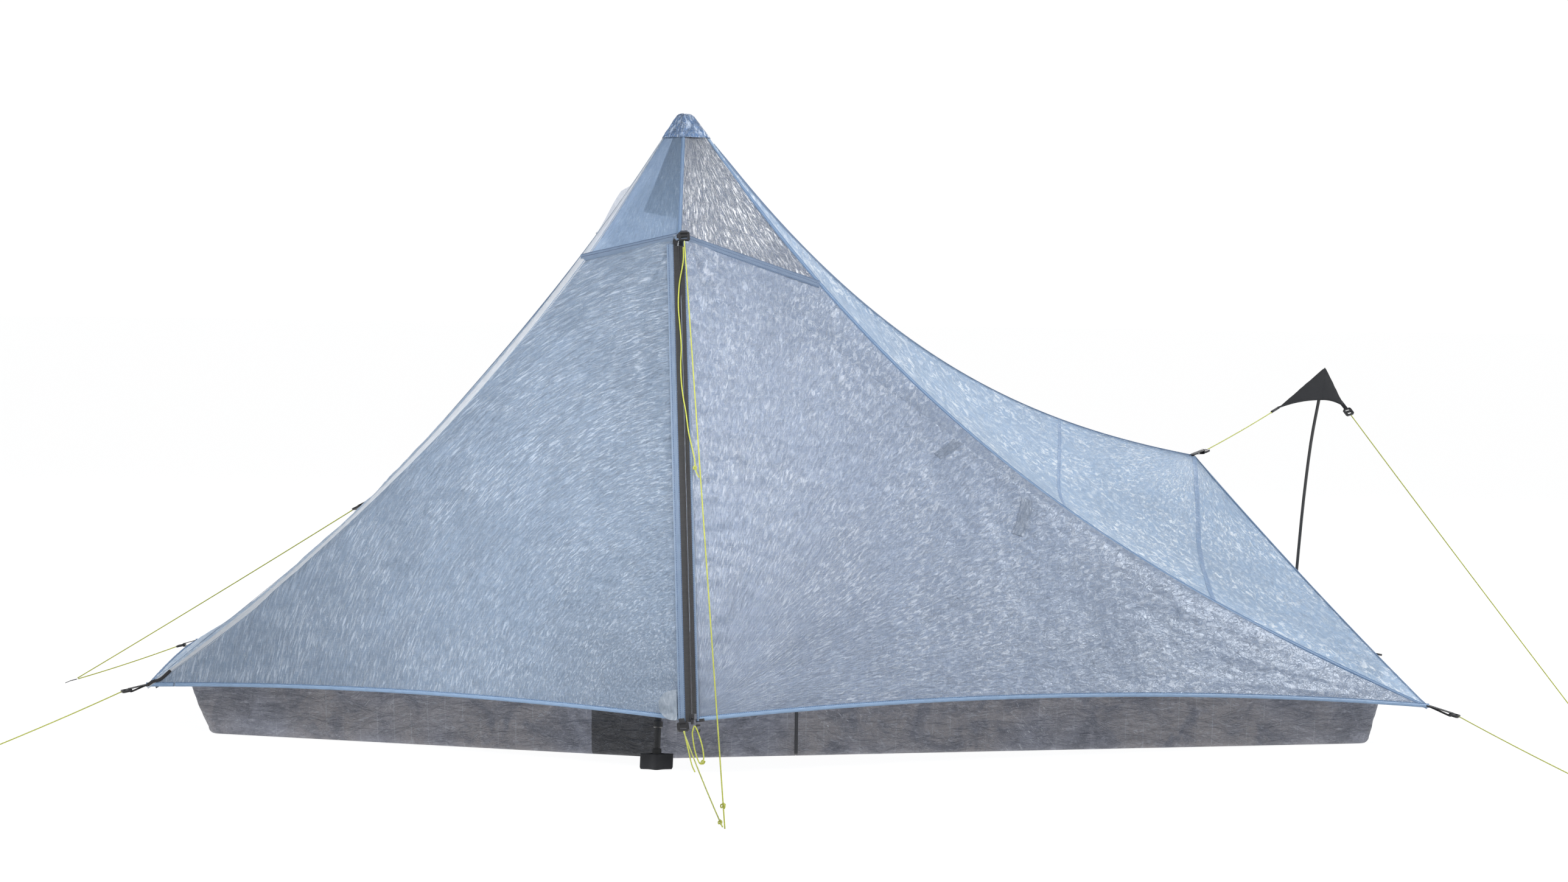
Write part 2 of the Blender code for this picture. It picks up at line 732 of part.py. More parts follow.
def tub_half(name, side):
    """One half of the floor with its walls, up to the cross seam."""
    points, normals = tub_outline(side)
    rows = [(-FLOOR_FOLD, 0.0), (-0.35 * FLOOR_FOLD, 0.0022), (0.0, FLOOR_FOLD), (0.45, 0.45), (1.0, 1.0)]
    bm = bmesh.new()
    bmesh.ops.create_grid(bm, x_segments=len(points) - 1, y_segments=len(rows) - 1, size=0.5)
    floor_edge = {}
    for vert in bm.verts:
        row = round((vert.co.y + 0.5) * (len(rows) - 1))
        column = round((vert.co.x + 0.5) * (len(points) - 1))
        out, height = rows[row]
        if row > 2:
            height = FLOOR_FOLD + (tub_height(points[column]) - FLOOR_FOLD) * height
            out = TUB_LEAN * out
        plan = points[column] + normals[column] * out
        vert.co = (plan.x, plan.y, height)
        if row == 0:
            floor_edge[column] = vert
    bm.faces.new([floor_edge[column] for column in sorted(floor_edge)])
    bmesh.ops.recalc_face_normals(bm, faces=bm.faces)
    floor = max(bm.faces, key=lambda face: face.calc_area())
    if floor.normal.z > 0:
        bmesh.ops.reverse_faces(bm, faces=bm.faces)
    return dress_floor_cloth(thicken(mesh_object(name, bm), FLOOR_CLOTH, -1.0))


# Netting

NET_TOP_LEFT = Vector((-0.2290, -0.1180, 1.0950))
NET_TOP_RIGHT = Vector((-0.2110, -0.1180, 1.0950))
NET_LOW_LEFT = Vector((-0.2290, -0.2680, 0.1975))
NET_LOW_RIGHT = Vector((-0.2110, -0.2680, 0.1965))
NET_LEFT_CORNER = Vector((-1.0900, -0.0180, 0.1340))
NET_RIGHT_CORNER = Vector((1.0700, -0.0160, 0.1340))
NET_HINGE_FOOT = Vector((0.7200, -0.0990, 0.1555))


def inside_ridge(ridge, first, last, corner):
    """Return a curve just inside a ridge that ends at a corner of the tub."""
    offset = Vector((0.0, 0.018, -0.030))
    end = ridge(last) + offset

    def curve(s):
        return ridge(first + (last - first) * s) + offset + (corner - end) * s ** 4

    return curve


def net_front_left():
    """Fixed insect net between the left half of the tub and the peak."""
    ridge = inside_ridge(RIDGE_FRONT_LEFT, 0.075, 0.86, NET_LEFT_CORNER)
    edges = (
        straight(ridge(0.0), NET_TOP_LEFT),
        straight(NET_LEFT_CORNER, NET_LOW_LEFT),
        ridge,
        straight(NET_TOP_LEFT, NET_LOW_LEFT),
    )
    heart = Vector((-0.4, 0.4, 0.3))
    return dress_net(cloth("net_front_left", edges, (12, 5), thick=NET_CLOTH, heart=heart))


def net_gore_right():
    """Fixed net between the right ridge and the net door's hinge line."""
    ridge = inside_ridge(RIDGE_FRONT_RIGHT, 0.085, 0.86, NET_RIGHT_CORNER)
    edges = (
        straight(NET_TOP_RIGHT + Vector((0.004, 0.0, 0.0)), ridge(0.0)),
        straight(NET_HINGE_FOOT, NET_RIGHT_CORNER),
        straight(NET_TOP_RIGHT + Vector((0.004, 0.0, 0.0)), NET_HINGE_FOOT),
        ridge,
    )
    heart = Vector((0.4, 0.4, 0.2))
    return dress_net(cloth("net_gore_right", edges, (14, 3), thick=NET_CLOTH, heart=heart))


def net_door():
    """Insect net door, hinged along its right edge."""
    tip = lambda v: NET_TOP_RIGHT.copy()
    edges = (
        tip,
        straight(NET_LOW_RIGHT, NET_HINGE_FOOT),
        straight(NET_TOP_RIGHT, NET_LOW_RIGHT),
        straight(NET_TOP_RIGHT, NET_HINGE_FOOT),
    )
    heart = Vector((0.1, 0.4, 0.2))
    obj = cloth("net_door", edges, (10, 4), start=0.04, thick=NET_CLOTH, heart=heart)
    return hang_on(dress_net(obj), NET_TOP_RIGHT)


# Doors and zipper


def zip_point(along, side, out):
    """Return a point given along, across and out of the zipper's line."""
    return ZIP_TOP + ZIP_LINE * along + ZIP_SIDE * side + ZIP_OUT * out


def left_door():
    """Left storm door."""
    tip = lambda v: ZIP_TOP.copy()
    hem = stretch(HEM_LEFT, LEFT_HINGE_AT, 1.0 - DOOR_EDGE / (ZIP_FOOT - FRONT_LEFT).length)
    edges = (tip, hem, straight(ZIP_TOP, LEFT_HINGE_FOOT), straight(zip_point(0, -DOOR_EDGE, 0), hem(1.0)))
    obj = cloth("left_door", edges, (12, 8), 0.008, 0.027, gap=HINGE_GAP)
    return hang_on(dress_door_cloth(obj), ZIP_TOP)


def right_door():
    """Right storm door."""
    tip = lambda v: ZIP_TOP.copy()
    hem = stretch(HEM_RIGHT, DOOR_EDGE / (FRONT_RIGHT - ZIP_FOOT).length, RIGHT_HINGE_AT)
    edges = (tip, hem, straight(zip_point(0, DOOR_EDGE, 0), hem(0.0)), straight(ZIP_TOP, RIGHT_HINGE_FOOT))
    obj = cloth("right_door", edges, (12, 8), 0.008, 0.027, gap=HINGE_GAP)
    return hang_on(dress_door_cloth(obj), ZIP_TOP)


def zip_tape(name, side, notch=0.0):
    """One half of the zipper: tape with its row of coil along the middle.

    notch is how far above the foot the tape ends.
    """
    inner, outer = ZIP_SPLIT, ZIP_SPLIT + TAPE_WIDTH
    profile = [
        (inner, 0.0), (outer, 0.0), (outer, TAPE_THICK), (inner + COIL_WIDTH, TAPE_THICK),
        (inner + COIL_WIDTH * 0.9, COIL_TOP * 0.75), (inner + COIL_WIDTH * 0.5, COIL_TOP), (inner, COIL_TOP),
    ]
    outline = [(side * x, y) for x, y in profile]
    length = ZIP_LENGTH - TAPE_START - notch
    middle = zip_point(TAPE_START + length / 2.0, 0.0, 0.0)
    basis = Matrix((ZIP_SIDE, ZIP_OUT, ZIP_SIDE.cross(ZIP_OUT))).transposed()
    matrix = Matrix.Translation(middle) @ basis.to_4x4()
    obj = flat_piece(name, [outline], length, matrix)
    finish(obj, (0.03, 0.03, 0.032), 0.6)
    return obj


def zip_slider():
    """Slider that rides over the coil, with a bail for its pull."""
    profile = [
        (-0.0044, 0.0014), (-0.0031, 0.0014), (-0.0031, 0.0030), (0.0031, 0.0030),
        (0.0031, 0.0014), (0.0044, 0.0014), (0.0044, 0.0036), (0.0034, 0.0044), (-0.0034, 0.0044), (-0.0044, 0.0036),
    ]
    middle = zip_point(ZIP_LENGTH - 0.008, 0.0, 0.0)
    basis = Matrix((ZIP_SIDE, ZIP_OUT, ZIP_SIDE.cross(ZIP_OUT))).transposed()
    obj = solid_of(flat_piece("zip_slider", [profile], 0.011, Matrix.Translation(middle) @ basis.to_4x4()))
    bail = [(-0.0036, 0.0040), (0.0036, 0.0040), (0.0032, 0.0084), (-0.0032, 0.0084)]
    hole = [(-0.0022, 0.0048), (0.0022, 0.0048), (0.0020, 0.0071), (-0.0020, 0.0071)]
    turn = Matrix((-ZIP_SIDE.cross(ZIP_OUT), ZIP_OUT, ZIP_SIDE)).transposed()
    arch = flat_piece("zip_bail", [bail, hole], 0.0024, Matrix.Translation(middle) @ turn.to_4x4(), CUTTERS)
    combine(obj, solid_of(arch, CUTTERS), "UNION")
    return dress_alloy(obj)


def solid_of(obj, collection=PARTS):
    """Turn a filled curve into a welded mesh object of the same name."""
    name, matrix = obj.name, obj.matrix_world.copy()
    depsgraph = bpy.context.evaluated_depsgraph_get()
    mesh = bpy.data.meshes.new_from_object(obj.evaluated_get(depsgraph))
    bpy.data.objects.remove(obj, do_unlink=True)
    bm = bmesh.new()
    bm.from_mesh(mesh)
    bmesh.ops.remove_doubles(bm, verts=bm.verts, dist=0.000002)
    bm.to_mesh(mesh)
    bm.free()
    mesh.name = name
    solid = link(bpy.data.objects.new(name, mesh), collection)
    solid.matrix_world = matrix
    return solid


def combine(obj, tool, operation):
    """Join a tool to an object or cut it out with an exact Boolean."""
    tool.hide_render = True
    tool.display_type = "WIRE"
    boolean = obj.modifiers.new(tool.name, "BOOLEAN")
    boolean.operation = operation
    boolean.solver = "EXACT"
    boolean.object = tool
    return obj


def zip_pull():
    """Pull that hangs from the slider's bail by a bar and a window."""
    pivot = zip_point(ZIP_LENGTH - 0.008, 0.0, 0.0059)
    outline = [
        (-0.0030, 0.0004), (-0.0026, 0.00065), (0.0026, 0.00065), (0.0030, 0.0004), (0.0027, -0.0120),
        (0.0014, -0.0140), (-0.0014, -0.0140), (-0.0027, -0.0120),
    ]
    window = [(-0.0018, -0.00065), (0.0018, -0.00065), (0.0018, -0.0053), (-0.0018, -0.0053)]
    basis = Matrix((ZIP_SIDE, -ZIP_LINE, ZIP_SIDE.cross(-ZIP_LINE))).transposed()
    matrix = Matrix.Translation(pivot) @ basis.to_4x4()
    return dress_alloy(flat_piece("zip_pull", [outline, window], 0.0009, matrix))


DOOR_LOCK_AT = Vector((-0.2010, -0.5600, 0.1030))
DOOR_LOCK_ALONG = Vector((0.12, -0.75, -0.65)).normalized()


def door_lock():
    """Cord lock at the foot of the left door."""
    return line_lock("left_door_lock", DOOR_LOCK_AT, DOOR_LOCK_ALONG, Vector((0.0, -1.0, 1.0)))


def door_hook():
    """Hook that hangs at the foot of the right door."""
    outline = [
        (0.0, -0.0040), (0.0025, -0.0046), (0.0110, -0.0046), (0.0135, -0.0030), (0.0140, 0.0015), (0.0122, 0.0038),
        (0.0080, 0.0038), (0.0080, 0.0018), (0.0108, 0.0014), (0.0113, -0.0008), (0.0102, -0.0021), (0.0040, -0.0021),
        (0.0032, 0.0040), (0.0, 0.0040),
    ]
    origin = Vector((-0.1745, -0.5560, 0.1070))
    matrix = frame_at(origin, Vector((0.05, -0.3, -1.0)), ZIP_OUT)
    return dress_plastic(flat_piece("right_door_hook", [outline], 0.0030, matrix))


# Fittings and webbing

FITTINGS = {
    "front_left": (FRONT_LEFT, Vector((-1.2795, -0.0330, 0.0880)), UP),
    "front_right": (FRONT_RIGHT, Vector((1.2900, -0.0460, 0.0650)), UP),
    "rear_left": (REAR_LEFT, Vector((-1.3280, 0.8010, 0.0790)), UP),
    "rear_right": (REAR_RIGHT, Vector((1.3330, 0.8230, 0.0820)), UP),
    "guy_left": (GUY_LEFT, Vector((-0.9120, 0.5650, 0.4050)), UP),
    "guy_right": (GUY_RIGHT, Vector((0.8960, 0.5760, 0.5445)), UP),
}


def fitting_axis(key):
    """Return a fitting's start, lock centre and direction."""
    tip, lock_at, out = FITTINGS[key]
    along = (lock_at - tip).normalized()
    return tip + along * 0.0025, lock_at, along, out


def fitting_web(key):
    """Web loop of one canopy fitting."""
    start, lock_at, _, out = fitting_axis(key)
    return web_loop(key + "_web", start, lock_at, out)


def fitting_lock(key):
    """Cord lock of one canopy fitting."""
    _, lock_at, along, out = fitting_axis(key)
    return line_lock(key + "_lock", lock_at, along, out)


def rear_right_fitting():
    """Fitting of the rear right corner, its web closed round the lock."""
    start, lock_at, along, out = fitting_axis("rear_right")
    obj = solid_of(line_lock("rear_right_fitting", lock_at, along, out))
    reach = (lock_at - start).length
    strap = rectangle(-reach, -LOCK_LENGTH / 2.0 + 0.0052, 0.0062)
    web = flat_piece("rear_right_strap", [strap], WEB_THICK, frame_at(lock_at, along, out), CUTTERS)
    return combine(obj, solid_of(web, CUTTERS), "UNION")


def lock_mouth(key, towards):
    """Return the point where a cord that runs on to a point meets its lock."""
    _, lock_at, along, _ = fitting_axis(key)
    tilt = math.sin((towards - lock_at).angle(along))
    return lock_at + along * (LOCK_LENGTH / 2.0 + 0.0003 + tilt * CORD / 2.0)


TOP_LOCK_ALONG = Vector((0.060, -0.580, -0.810)).normalized()
TOP_LOCK_OUT = Vector((0.0, -0.810, 0.580)).normalized()
TOP_LOCK_AT = ZIP_TOP + Vector((0.0090, -0.0300, -0.0045))
TOP_WEB_AT = ZIP_TOP + Vector((0.0090, -0.0010, 0.0075))


def top_lock():
    """Cord lock that stands off the top of the zipper on its web."""
    obj = solid_of(line_lock("zip_top_lock", TOP_LOCK_AT, TOP_LOCK_ALONG, TOP_LOCK_OUT))
    matrix = frame_at(TOP_LOCK_AT, TOP_LOCK_ALONG, TOP_LOCK_ALONG.cross(TOP_LOCK_OUT))
    foot = matrix.inverted() @ TOP_WEB_AT
    bar, half = -LOCK_LENGTH / 2.0, WEB_THICK / 2.0
    outline = [
        (bar + 0.0050, -half), (bar + 0.0050, half), (bar - 0.0010, half), (foot.x + 0.0004, foot.y + half),
        (foot.x - 0.0004, foot.y - half), (bar - 0.0010, -half),
    ]
    web = solid_of(flat_piece("top_web", [outline], 0.0124, matrix, CUTTERS), CUTTERS)
    return combine(obj, web, "UNION")


def stake_tab():
    """Web tab that the two rear left cords share at their stake."""
    path = [REAR_STAKE + Vector((0.024, 0.0, 0.008)), REAR_STAKE + Vector((0.012, 0.0, 0.005)), REAR_STAKE]
    return dress_webbing(ribbon("stake_tab", path, Vector((0.0, 1.0, 0.0)), 0.012, WEB_THICK))


def tieback(name, at):
    """Short web that holds the rolled door against the right ridge."""
    ridge = RIDGE_FRONT_RIGHT(at) + Vector((-0.002, 0.004, -0.014))
    path = [ridge, ridge + Vector((-0.010, -0.003, -0.022)), ridge + Vector((-0.016, -0.004, -0.050))]
    return dress_webbing(ribbon(name, path, Vector((1.0, 0.2, 0.0)).normalized(), 0.009, WEB_THICK))


# Poles


def pole_axis():
    """Return the main pole's direction from its foot."""
    return (POLE_TIP - POLE_FOOT).normalized()


def pole_upper():
    """Upper tube, open below, with a narrow tip."""
    top = (POLE_TIP - POLE_FOOT).length
    profile = [
        (0.0, top), (0.0040, top), (0.0048, top - 0.0015), (0.0050, top - 0.030), (UPPER_RADIUS, top - 0.040),
        (UPPER_RADIUS, UPPER_START), (UPPER_BORE, UPPER_START), (UPPER_BORE, UPPER_BORE_END), (0.0, UPPER_BORE_END),
    ]
    return dress_pole(aim(turned("pole_upper", profile), POLE_FOOT, pole_axis()))


def pole_lower():
    """Lower rod with the collar near its foot."""
    profile = [
        (0.0, LOWER_END), (LOWER_RADIUS - 0.0008, LOWER_END), (LOWER_RADIUS, LOWER_END - 0.001),
        (LOWER_RADIUS, COLLAR_AT + 0.007), (0.0088, COLLAR_AT + 0.005), (0.0088, COLLAR_AT - 0.005),
        (LOWER_RADIUS, COLLAR_AT - 0.007), (LOWER_RADIUS, 0.008), (0.0, 0.008),
    ]
    return dress_pole(aim(turned("pole_lower", profile), POLE_FOOT, pole_axis()))


def pole_foot():
    """Rubber foot over the end of the rod."""
    profile = [
        (0.0063, 0.036), (0.0076, 0.036), (0.0084, 0.033), (0.0084, 0.008), (0.0070, 0.003), (0.0040, 0.001), (0.0, 0.0006),
        (0.0, 0.0076), (0.0063, 0.0076),
    ]
    obj = turned("pole_foot", profile[:7] + profile[7:], closed=True)
    return dress_rubber(aim(obj, POLE_FOOT, pole_axis()))


def pocket_outline(height, spread):
    """Return the pocket's plan outline at a height: two wings and a round middle."""
    lean = pole_axis() * (height / pole_axis().z)
    points = []
    for side in (1.0, -1.0):
        for step in range(13):
            x = side * (1.0 - step / 6.0)
            reach = 0.0024 + 0.0098 * math.exp(-((x * 0.030 / 0.0105) ** 2))
            reach *= math.sqrt(max(0.0, 1.0 - x ** 4)) if abs(x) > 0.99 else 1.0
            points.append(Vector((x * spread * POCKET_WIDTH / 2.0, -side * reach, height)))
    points = [point for index, point in enumerate(points) if index not in (12, 25)]
    return [Vector((POLE_FOOT.x, POLE_FOOT.y, 0.0)) + point + Vector((lean.x, lean.y, 0.0)) for point in points]


def foot_pocket():
    """Fabric pocket that the pole's foot stands in."""
    levels = ((0.0, 0.94), (0.003, 1.0), (0.012, 0.99), (0.020, 0.98), (POCKET_HEIGHT, 1.0))
    rings = [pocket_outline(height, spread) for height, spread in levels]
    count = len(rings[0])
    bm = bmesh.new()
    bmesh.ops.create_grid(bm, x_segments=count, y_segments=len(levels) - 1, size=0.5)
    for vert in bm.verts:
        row = round((vert.co.y + 0.5) * (len(levels) - 1))
        vert.co = rings[row][round((vert.co.x + 0.5) * count) % count]
    bmesh.ops.remove_doubles(bm, verts=bm.verts, dist=0.00001)
    base = [edge for edge in bm.edges if edge.is_boundary and edge.verts[0].co.z < 0.001]
    bmesh.ops.contextual_create(bm, geom=base)
    bmesh.ops.recalc_face_normals(bm, faces=bm.faces)
    floor = min(bm.faces, key=lambda face: face.calc_center_median().z)
    if floor.normal.z > 0:
        bmesh.ops.reverse_faces(bm, faces=bm.faces)
    return dress_webbing(thicken(mesh_object("foot_pocket", bm), 0.0012, -1.0))


def clamp_frame(height):
    """Return the frame of the clamp at a height along the pole."""
    axis = pole_axis()
    side = Vector((-1.0, 0.0, 0.0))
    side = (side - axis * side.dot(axis)).normalized()
    origin = POLE_FOOT + axis * height
    return origin, axis, side, axis.cross(side)


def pole_clamp():
    """Clamp round the joint of the two pole sections, with the lever's ears."""
    profile = [
        (CLAMP_RADIUS, 0.017), (CLAMP_RADIUS, -0.013), (0.0098, -0.017), (0.0065, -0.017), (0.0065, -0.0005),
        (0.0080, -0.0005), (0.0080, 0.017),
    ]
    origin, axis, side, across = clamp_frame(UPPER_START)
    obj = aim(turned("pole_clamp", profile, 24, closed=True), origin, axis)
    ear = [(0.0090, -0.0045), (0.0165, -0.0040), (0.0190, 0.0), (0.0165, 0.0040), (0.0090, 0.0045)]
    hole = circle(0.0160, 0.0, LEVER_PIN + 0.00025)
    for index, shift in enumerate((-0.0049, 0.0049)):
        matrix = Matrix.Translation(origin + across * shift) @ Matrix((side, axis, side.cross(axis))).transposed().to_4x4()
        plate = solid_of(flat_piece("clamp_ear_%d" % index, [ear, hole], 0.0020, matrix, CUTTERS), CUTTERS)
        combine(obj, plate, "UNION")
    return dress_plastic(obj)


def pole_lever():
    """Lever that tightens the clamp."""
    origin, axis, side, across = clamp_frame(UPPER_START)
    pivot = origin + side * 0.0160
    outline = [
        (-0.0020, 0.0024), (0.0022, 0.0026), (0.0034, 0.0), (0.0030, -0.0120), (0.0012, -0.0280),
        (-0.0012, -0.0300), (-0.0022, -0.0280), (-0.0018, -0.0120), (-0.0028, -0.0015),
    ]
    matrix = Matrix.Translation(pivot) @ Matrix((side, axis, side.cross(axis))).transposed().to_4x4()
    obj = solid_of(flat_piece("pole_lever", [outline], 0.0070, matrix))
    pin = solid_of(flat_piece("lever_pin", [circle(0.0, 0.0, LEVER_PIN)], 0.0124, matrix, CUTTERS), CUTTERS)
    return dress_plastic(combine(obj, pin, "UNION"))


def lift_pole():
    """Thin flexed pole behind the right end."""
    route = [LIFT_FOOT, Vector((1.162, 0.926, 0.14)), Vector((1.170, 0.918, 0.28)), Vector((1.179, 0.908, 0.42)),
             Vector((1.191, 0.898, 0.55)), Vector((1.204, 0.889, 0.64)), Vector((1.2105, 0.8868, 0.68)), LIFT_TOP]
    obj = cord("lift_pole", smooth_path(route, 3), {-1: 0.5, -2: 0.75}, LIFT_RADIUS * 2.0)
    obj.data.materials.clear()
    return dress_pole(obj)


def cap_edge(turn):
    """Return a point of the cap's lower edge, turn from 0 to 1 round it."""
    corners = (CAP_LEFT, CAP_FRONT, CAP_RIGHT, CAP_BACK)
    index = int(turn * 4) % 4
    s = turn * 4 - int(turn * 4)
    start, end = corners[index], corners[(index + 1) % 4]
    return start.lerp(end, s) + UP * (0.010 * 4 * s * (1 - s) * 0.5)


def lift_cap():
    """Fabric cap over the lift pole's tip, drawn out into two tabs."""
    levels = (0.04, 0.14, 0.35, 0.65, 1.0)
    count = 24
    bm = bmesh.new()
    bmesh.ops.create_grid(bm, x_segments=count, y_segments=len(levels) - 1, size=0.5)
    for vert in bm.verts:
        level = levels[round((vert.co.y + 0.5) * (len(levels) - 1))]
        turn = (round((vert.co.x + 0.5) * count) % count) / count
        vert.co = CAP_PEAK.lerp(cap_edge(turn), level)
    bmesh.ops.remove_doubles(bm, verts=bm.verts, dist=0.00001)
    top = [e for e in bm.edges if e.is_boundary and min(v.co.z for v in e.verts) > CAP_PEAK.z - 0.02]
    bmesh.ops.contextual_create(bm, geom=top)
    bmesh.ops.recalc_face_normals(bm, faces=bm.faces)
    cap = max(bm.faces, key=lambda face: face.calc_center_median().z)
    if cap.normal.z < 0:
        bmesh.ops.reverse_faces(bm, faces=bm.faces)
    return dress_webbing(thicken(mesh_object("lift_cap", bm), 0.0009, 1.0))


LIFT_LOCK_ALONG = (LIFT_STAKE - CAP_RIGHT).normalized()
LIFT_LOCK_AT = CAP_RIGHT + LIFT_LOCK_ALONG * (LOCK_LENGTH / 2.0 + 0.0040)


def lift_lock():
    """Cord lock at the right tab of the lift pole's cap."""
    return line_lock("lift_lock", LIFT_LOCK_AT, LIFT_LOCK_ALONG, Vector((0.3, -1.0, 0.6)))


# Cords


def front_cord():
    """Taut cord from the top of the zipper to the front stake."""
    start = TOP_LOCK_AT + TOP_LOCK_ALONG * (LOCK_LENGTH / 2.0 + 0.0008)
    return cord("front_cord", taut(start, FRONT_STAKE, 30), {-1: 1.0, -2: 2.0, -3: 1.0})


def front_tail():
    """Slack tail of the front cord, lying beside the zipper."""
    stations = ((0.027, 0.0064), (0.055, 0.0050), (0.10, 0.0046), (0.16, 0.0044), (0.25, 0.0050), (0.33, 0.0100), (0.40, 0.0180), (0.428, 0.0215), (0.450, 0.0290))
    route = [zip_point(along, side, 0.0062) for along, side in stations]
    path = smooth_path(route, 4)
    return cord("front_tail", path, {-6: 1.9})


def door_cord():
    """Cord from the left door's lock to the front stake."""
    end = FRONT_STAKE + Vector((-0.0040, 0.0060, 0.0020))
    tilt = math.sin((end - DOOR_LOCK_AT).angle(DOOR_LOCK_ALONG))
    start = DOOR_LOCK_AT + DOOR_LOCK_ALONG * (LOCK_LENGTH / 2.0 + 0.0003 + tilt * CORD / 2.0)
    return cord("door_cord", taut(start, end, 22, 0.004))


def hook_loop():
    """Cord loop that hangs from the right door's hook."""
    route = [Vector((-0.1850, -0.5630, 0.0900)), Vector((-0.1800, -0.5680, 0.0640)), Vector((-0.1725, -0.5700, 0.0430)),
             Vector((-0.1670, -0.5710, 0.0400)), Vector((-0.1640, -0.5700, 0.0500)), Vector((-0.1680, -0.5660, 0.0700)),
             Vector((-0.1735, -0.5620, 0.0870))]
    return cord("hook_loop", smooth_path(route, 5), {17: 1.7})


def corner_cords():
    """Cords of the two front corners, which end in loops at their stakes."""
    cord("front_left_cord", loop_path(lock_mouth("front_left", LEFT_STAKE), LEFT_STAKE))
    cord("front_right_cord", loop_path(lock_mouth("front_right", RIGHT_STAKE), RIGHT_STAKE))


def rear_left_cords():
    """Cords of the rear left corner and the left guy-out, to one shared tab."""
    tab = REAR_STAKE + Vector((0.0265, 0.0, 0.0085))
    cord("rear_left_cord", taut(lock_mouth("rear_left", tab), tab + Vector((0.0, 0.003, 0.0)), 18))
    cord("guy_left_cord", taut(lock_mouth("guy_left", tab), tab + Vector((0.0, -0.003, 0.0025)), 26))


def lift_cords():
    """Cords from the right guy-out to the lift pole's cap and on to its stake."""
    start = lock_mouth("guy_right", CAP_LEFT)
    end = CAP_LEFT + (start - CAP_LEFT).normalized() * 0.0035
    cord("guy_right_cord", taut(start, end, 20))
    start = LIFT_LOCK_AT + LIFT_LOCK_ALONG * (LOCK_LENGTH / 2.0 + 0.0008)
    cord("lift_cord", loop_path(start, LIFT_STAKE, count=26))


def build():
    """Build every piece of the tent."""
    start_scene()
    for make in (
        peak_panel_left, peak_panel_right, front_gore_left, front_gore_right, roof_panel_left,
        roof_panel_right, end_wall_left, end_wall_right, rear_panel, vent_mesh, vent_hood,
        peak_cone, peak_cup, net_front_left, net_gore_right, net_door,
    ):
        make()
    tub_half("tub_left", -1)
    tub_half("tub_right", 1)
    left_door()
    right_door()
    zip_tape("zip_tape_left", -1)
    zip_tape("zip_tape_right", 1, SLIDER_NOTCH)
    for make in (zip_slider, zip_pull, door_lock, door_hook, top_lock, stake_tab):
        make()
    for key in FITTINGS:
        if key != "rear_right":
            fitting_web(key)
            fitting_lock(key)
    rear_right_fitting()
    tieback("tieback_upper", 0.372)
    tieback("tieback_lower", 0.455)
    for make in (pole_upper, pole_lower, pole_foot, foot_pocket, pole_clamp, pole_lever, lift_pole, lift_cap, lift_lock):
        make()
    for make in (front_cord, front_tail, door_cord, hook_loop, corner_cords, rear_left_cords, lift_cords):
        make()


build()
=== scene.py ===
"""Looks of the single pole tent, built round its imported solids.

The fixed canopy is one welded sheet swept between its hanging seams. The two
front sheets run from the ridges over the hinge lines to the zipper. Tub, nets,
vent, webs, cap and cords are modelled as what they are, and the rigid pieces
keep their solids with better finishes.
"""

from __future__ import annotations

import functools
import logging
import math
from abc import ABC, abstractmethod
from dataclasses import dataclass, field
from enum import Enum
from typing import Callable, Sequence

import bmesh
import bpy
import numpy as np
from mathutils import Matrix, Vector, noise


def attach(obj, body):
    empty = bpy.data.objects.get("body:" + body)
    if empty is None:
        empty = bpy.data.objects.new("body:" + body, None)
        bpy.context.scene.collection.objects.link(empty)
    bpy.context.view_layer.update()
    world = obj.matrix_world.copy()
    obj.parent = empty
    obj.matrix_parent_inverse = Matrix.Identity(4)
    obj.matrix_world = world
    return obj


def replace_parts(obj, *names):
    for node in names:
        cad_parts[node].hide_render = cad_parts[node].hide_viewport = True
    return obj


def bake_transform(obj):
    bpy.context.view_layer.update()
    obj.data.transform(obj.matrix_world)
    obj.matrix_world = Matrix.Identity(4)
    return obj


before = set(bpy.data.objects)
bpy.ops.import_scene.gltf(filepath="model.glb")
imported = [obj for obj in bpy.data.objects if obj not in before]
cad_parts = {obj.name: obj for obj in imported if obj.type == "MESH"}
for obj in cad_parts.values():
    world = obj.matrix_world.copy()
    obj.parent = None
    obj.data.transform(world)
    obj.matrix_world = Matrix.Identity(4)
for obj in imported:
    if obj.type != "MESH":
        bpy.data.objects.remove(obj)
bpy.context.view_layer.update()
LOG = logging.getLogger("tent")

Point = np.ndarray
Curve = Callable[[np.ndarray], np.ndarray]
Edges = tuple[Curve, Curve, Curve, Curve]
Colour = tuple[float, float, float]
Socket = bpy.types.NodeSocket
Piece = bpy.types.Object


class Body(Enum):
    """Bodies that pieces ride on."""

    CANOPY = "canopy"
    LEFT_DOOR = "left_door"
    RIGHT_DOOR = "right_door"
    NET_DOOR = "net_door"


class Hold(Enum):
    """How a sheet of cloth is held."""

    STRETCHED = "stretched"
    HUNG = "hung"
    LAID = "laid"


class Lay(Enum):
    """How a cord lies."""

    TAUT = "taut"
    HANGING = "hanging"


class End(Enum):
    """What a cord ends in."""

    KNOT = "knot"
    OBJECT = "object"
    BARE = "bare"


def at(x: float, y: float, z: float) -> Point:
    """Return a point or direction."""
    return np.array((x, y, z), dtype=float)


def unit(vector: Point) -> Point:
    """Return the vector at length one."""
    return vector / np.linalg.norm(vector, axis=-1, keepdims=True)


# Points that the solids share, in metres

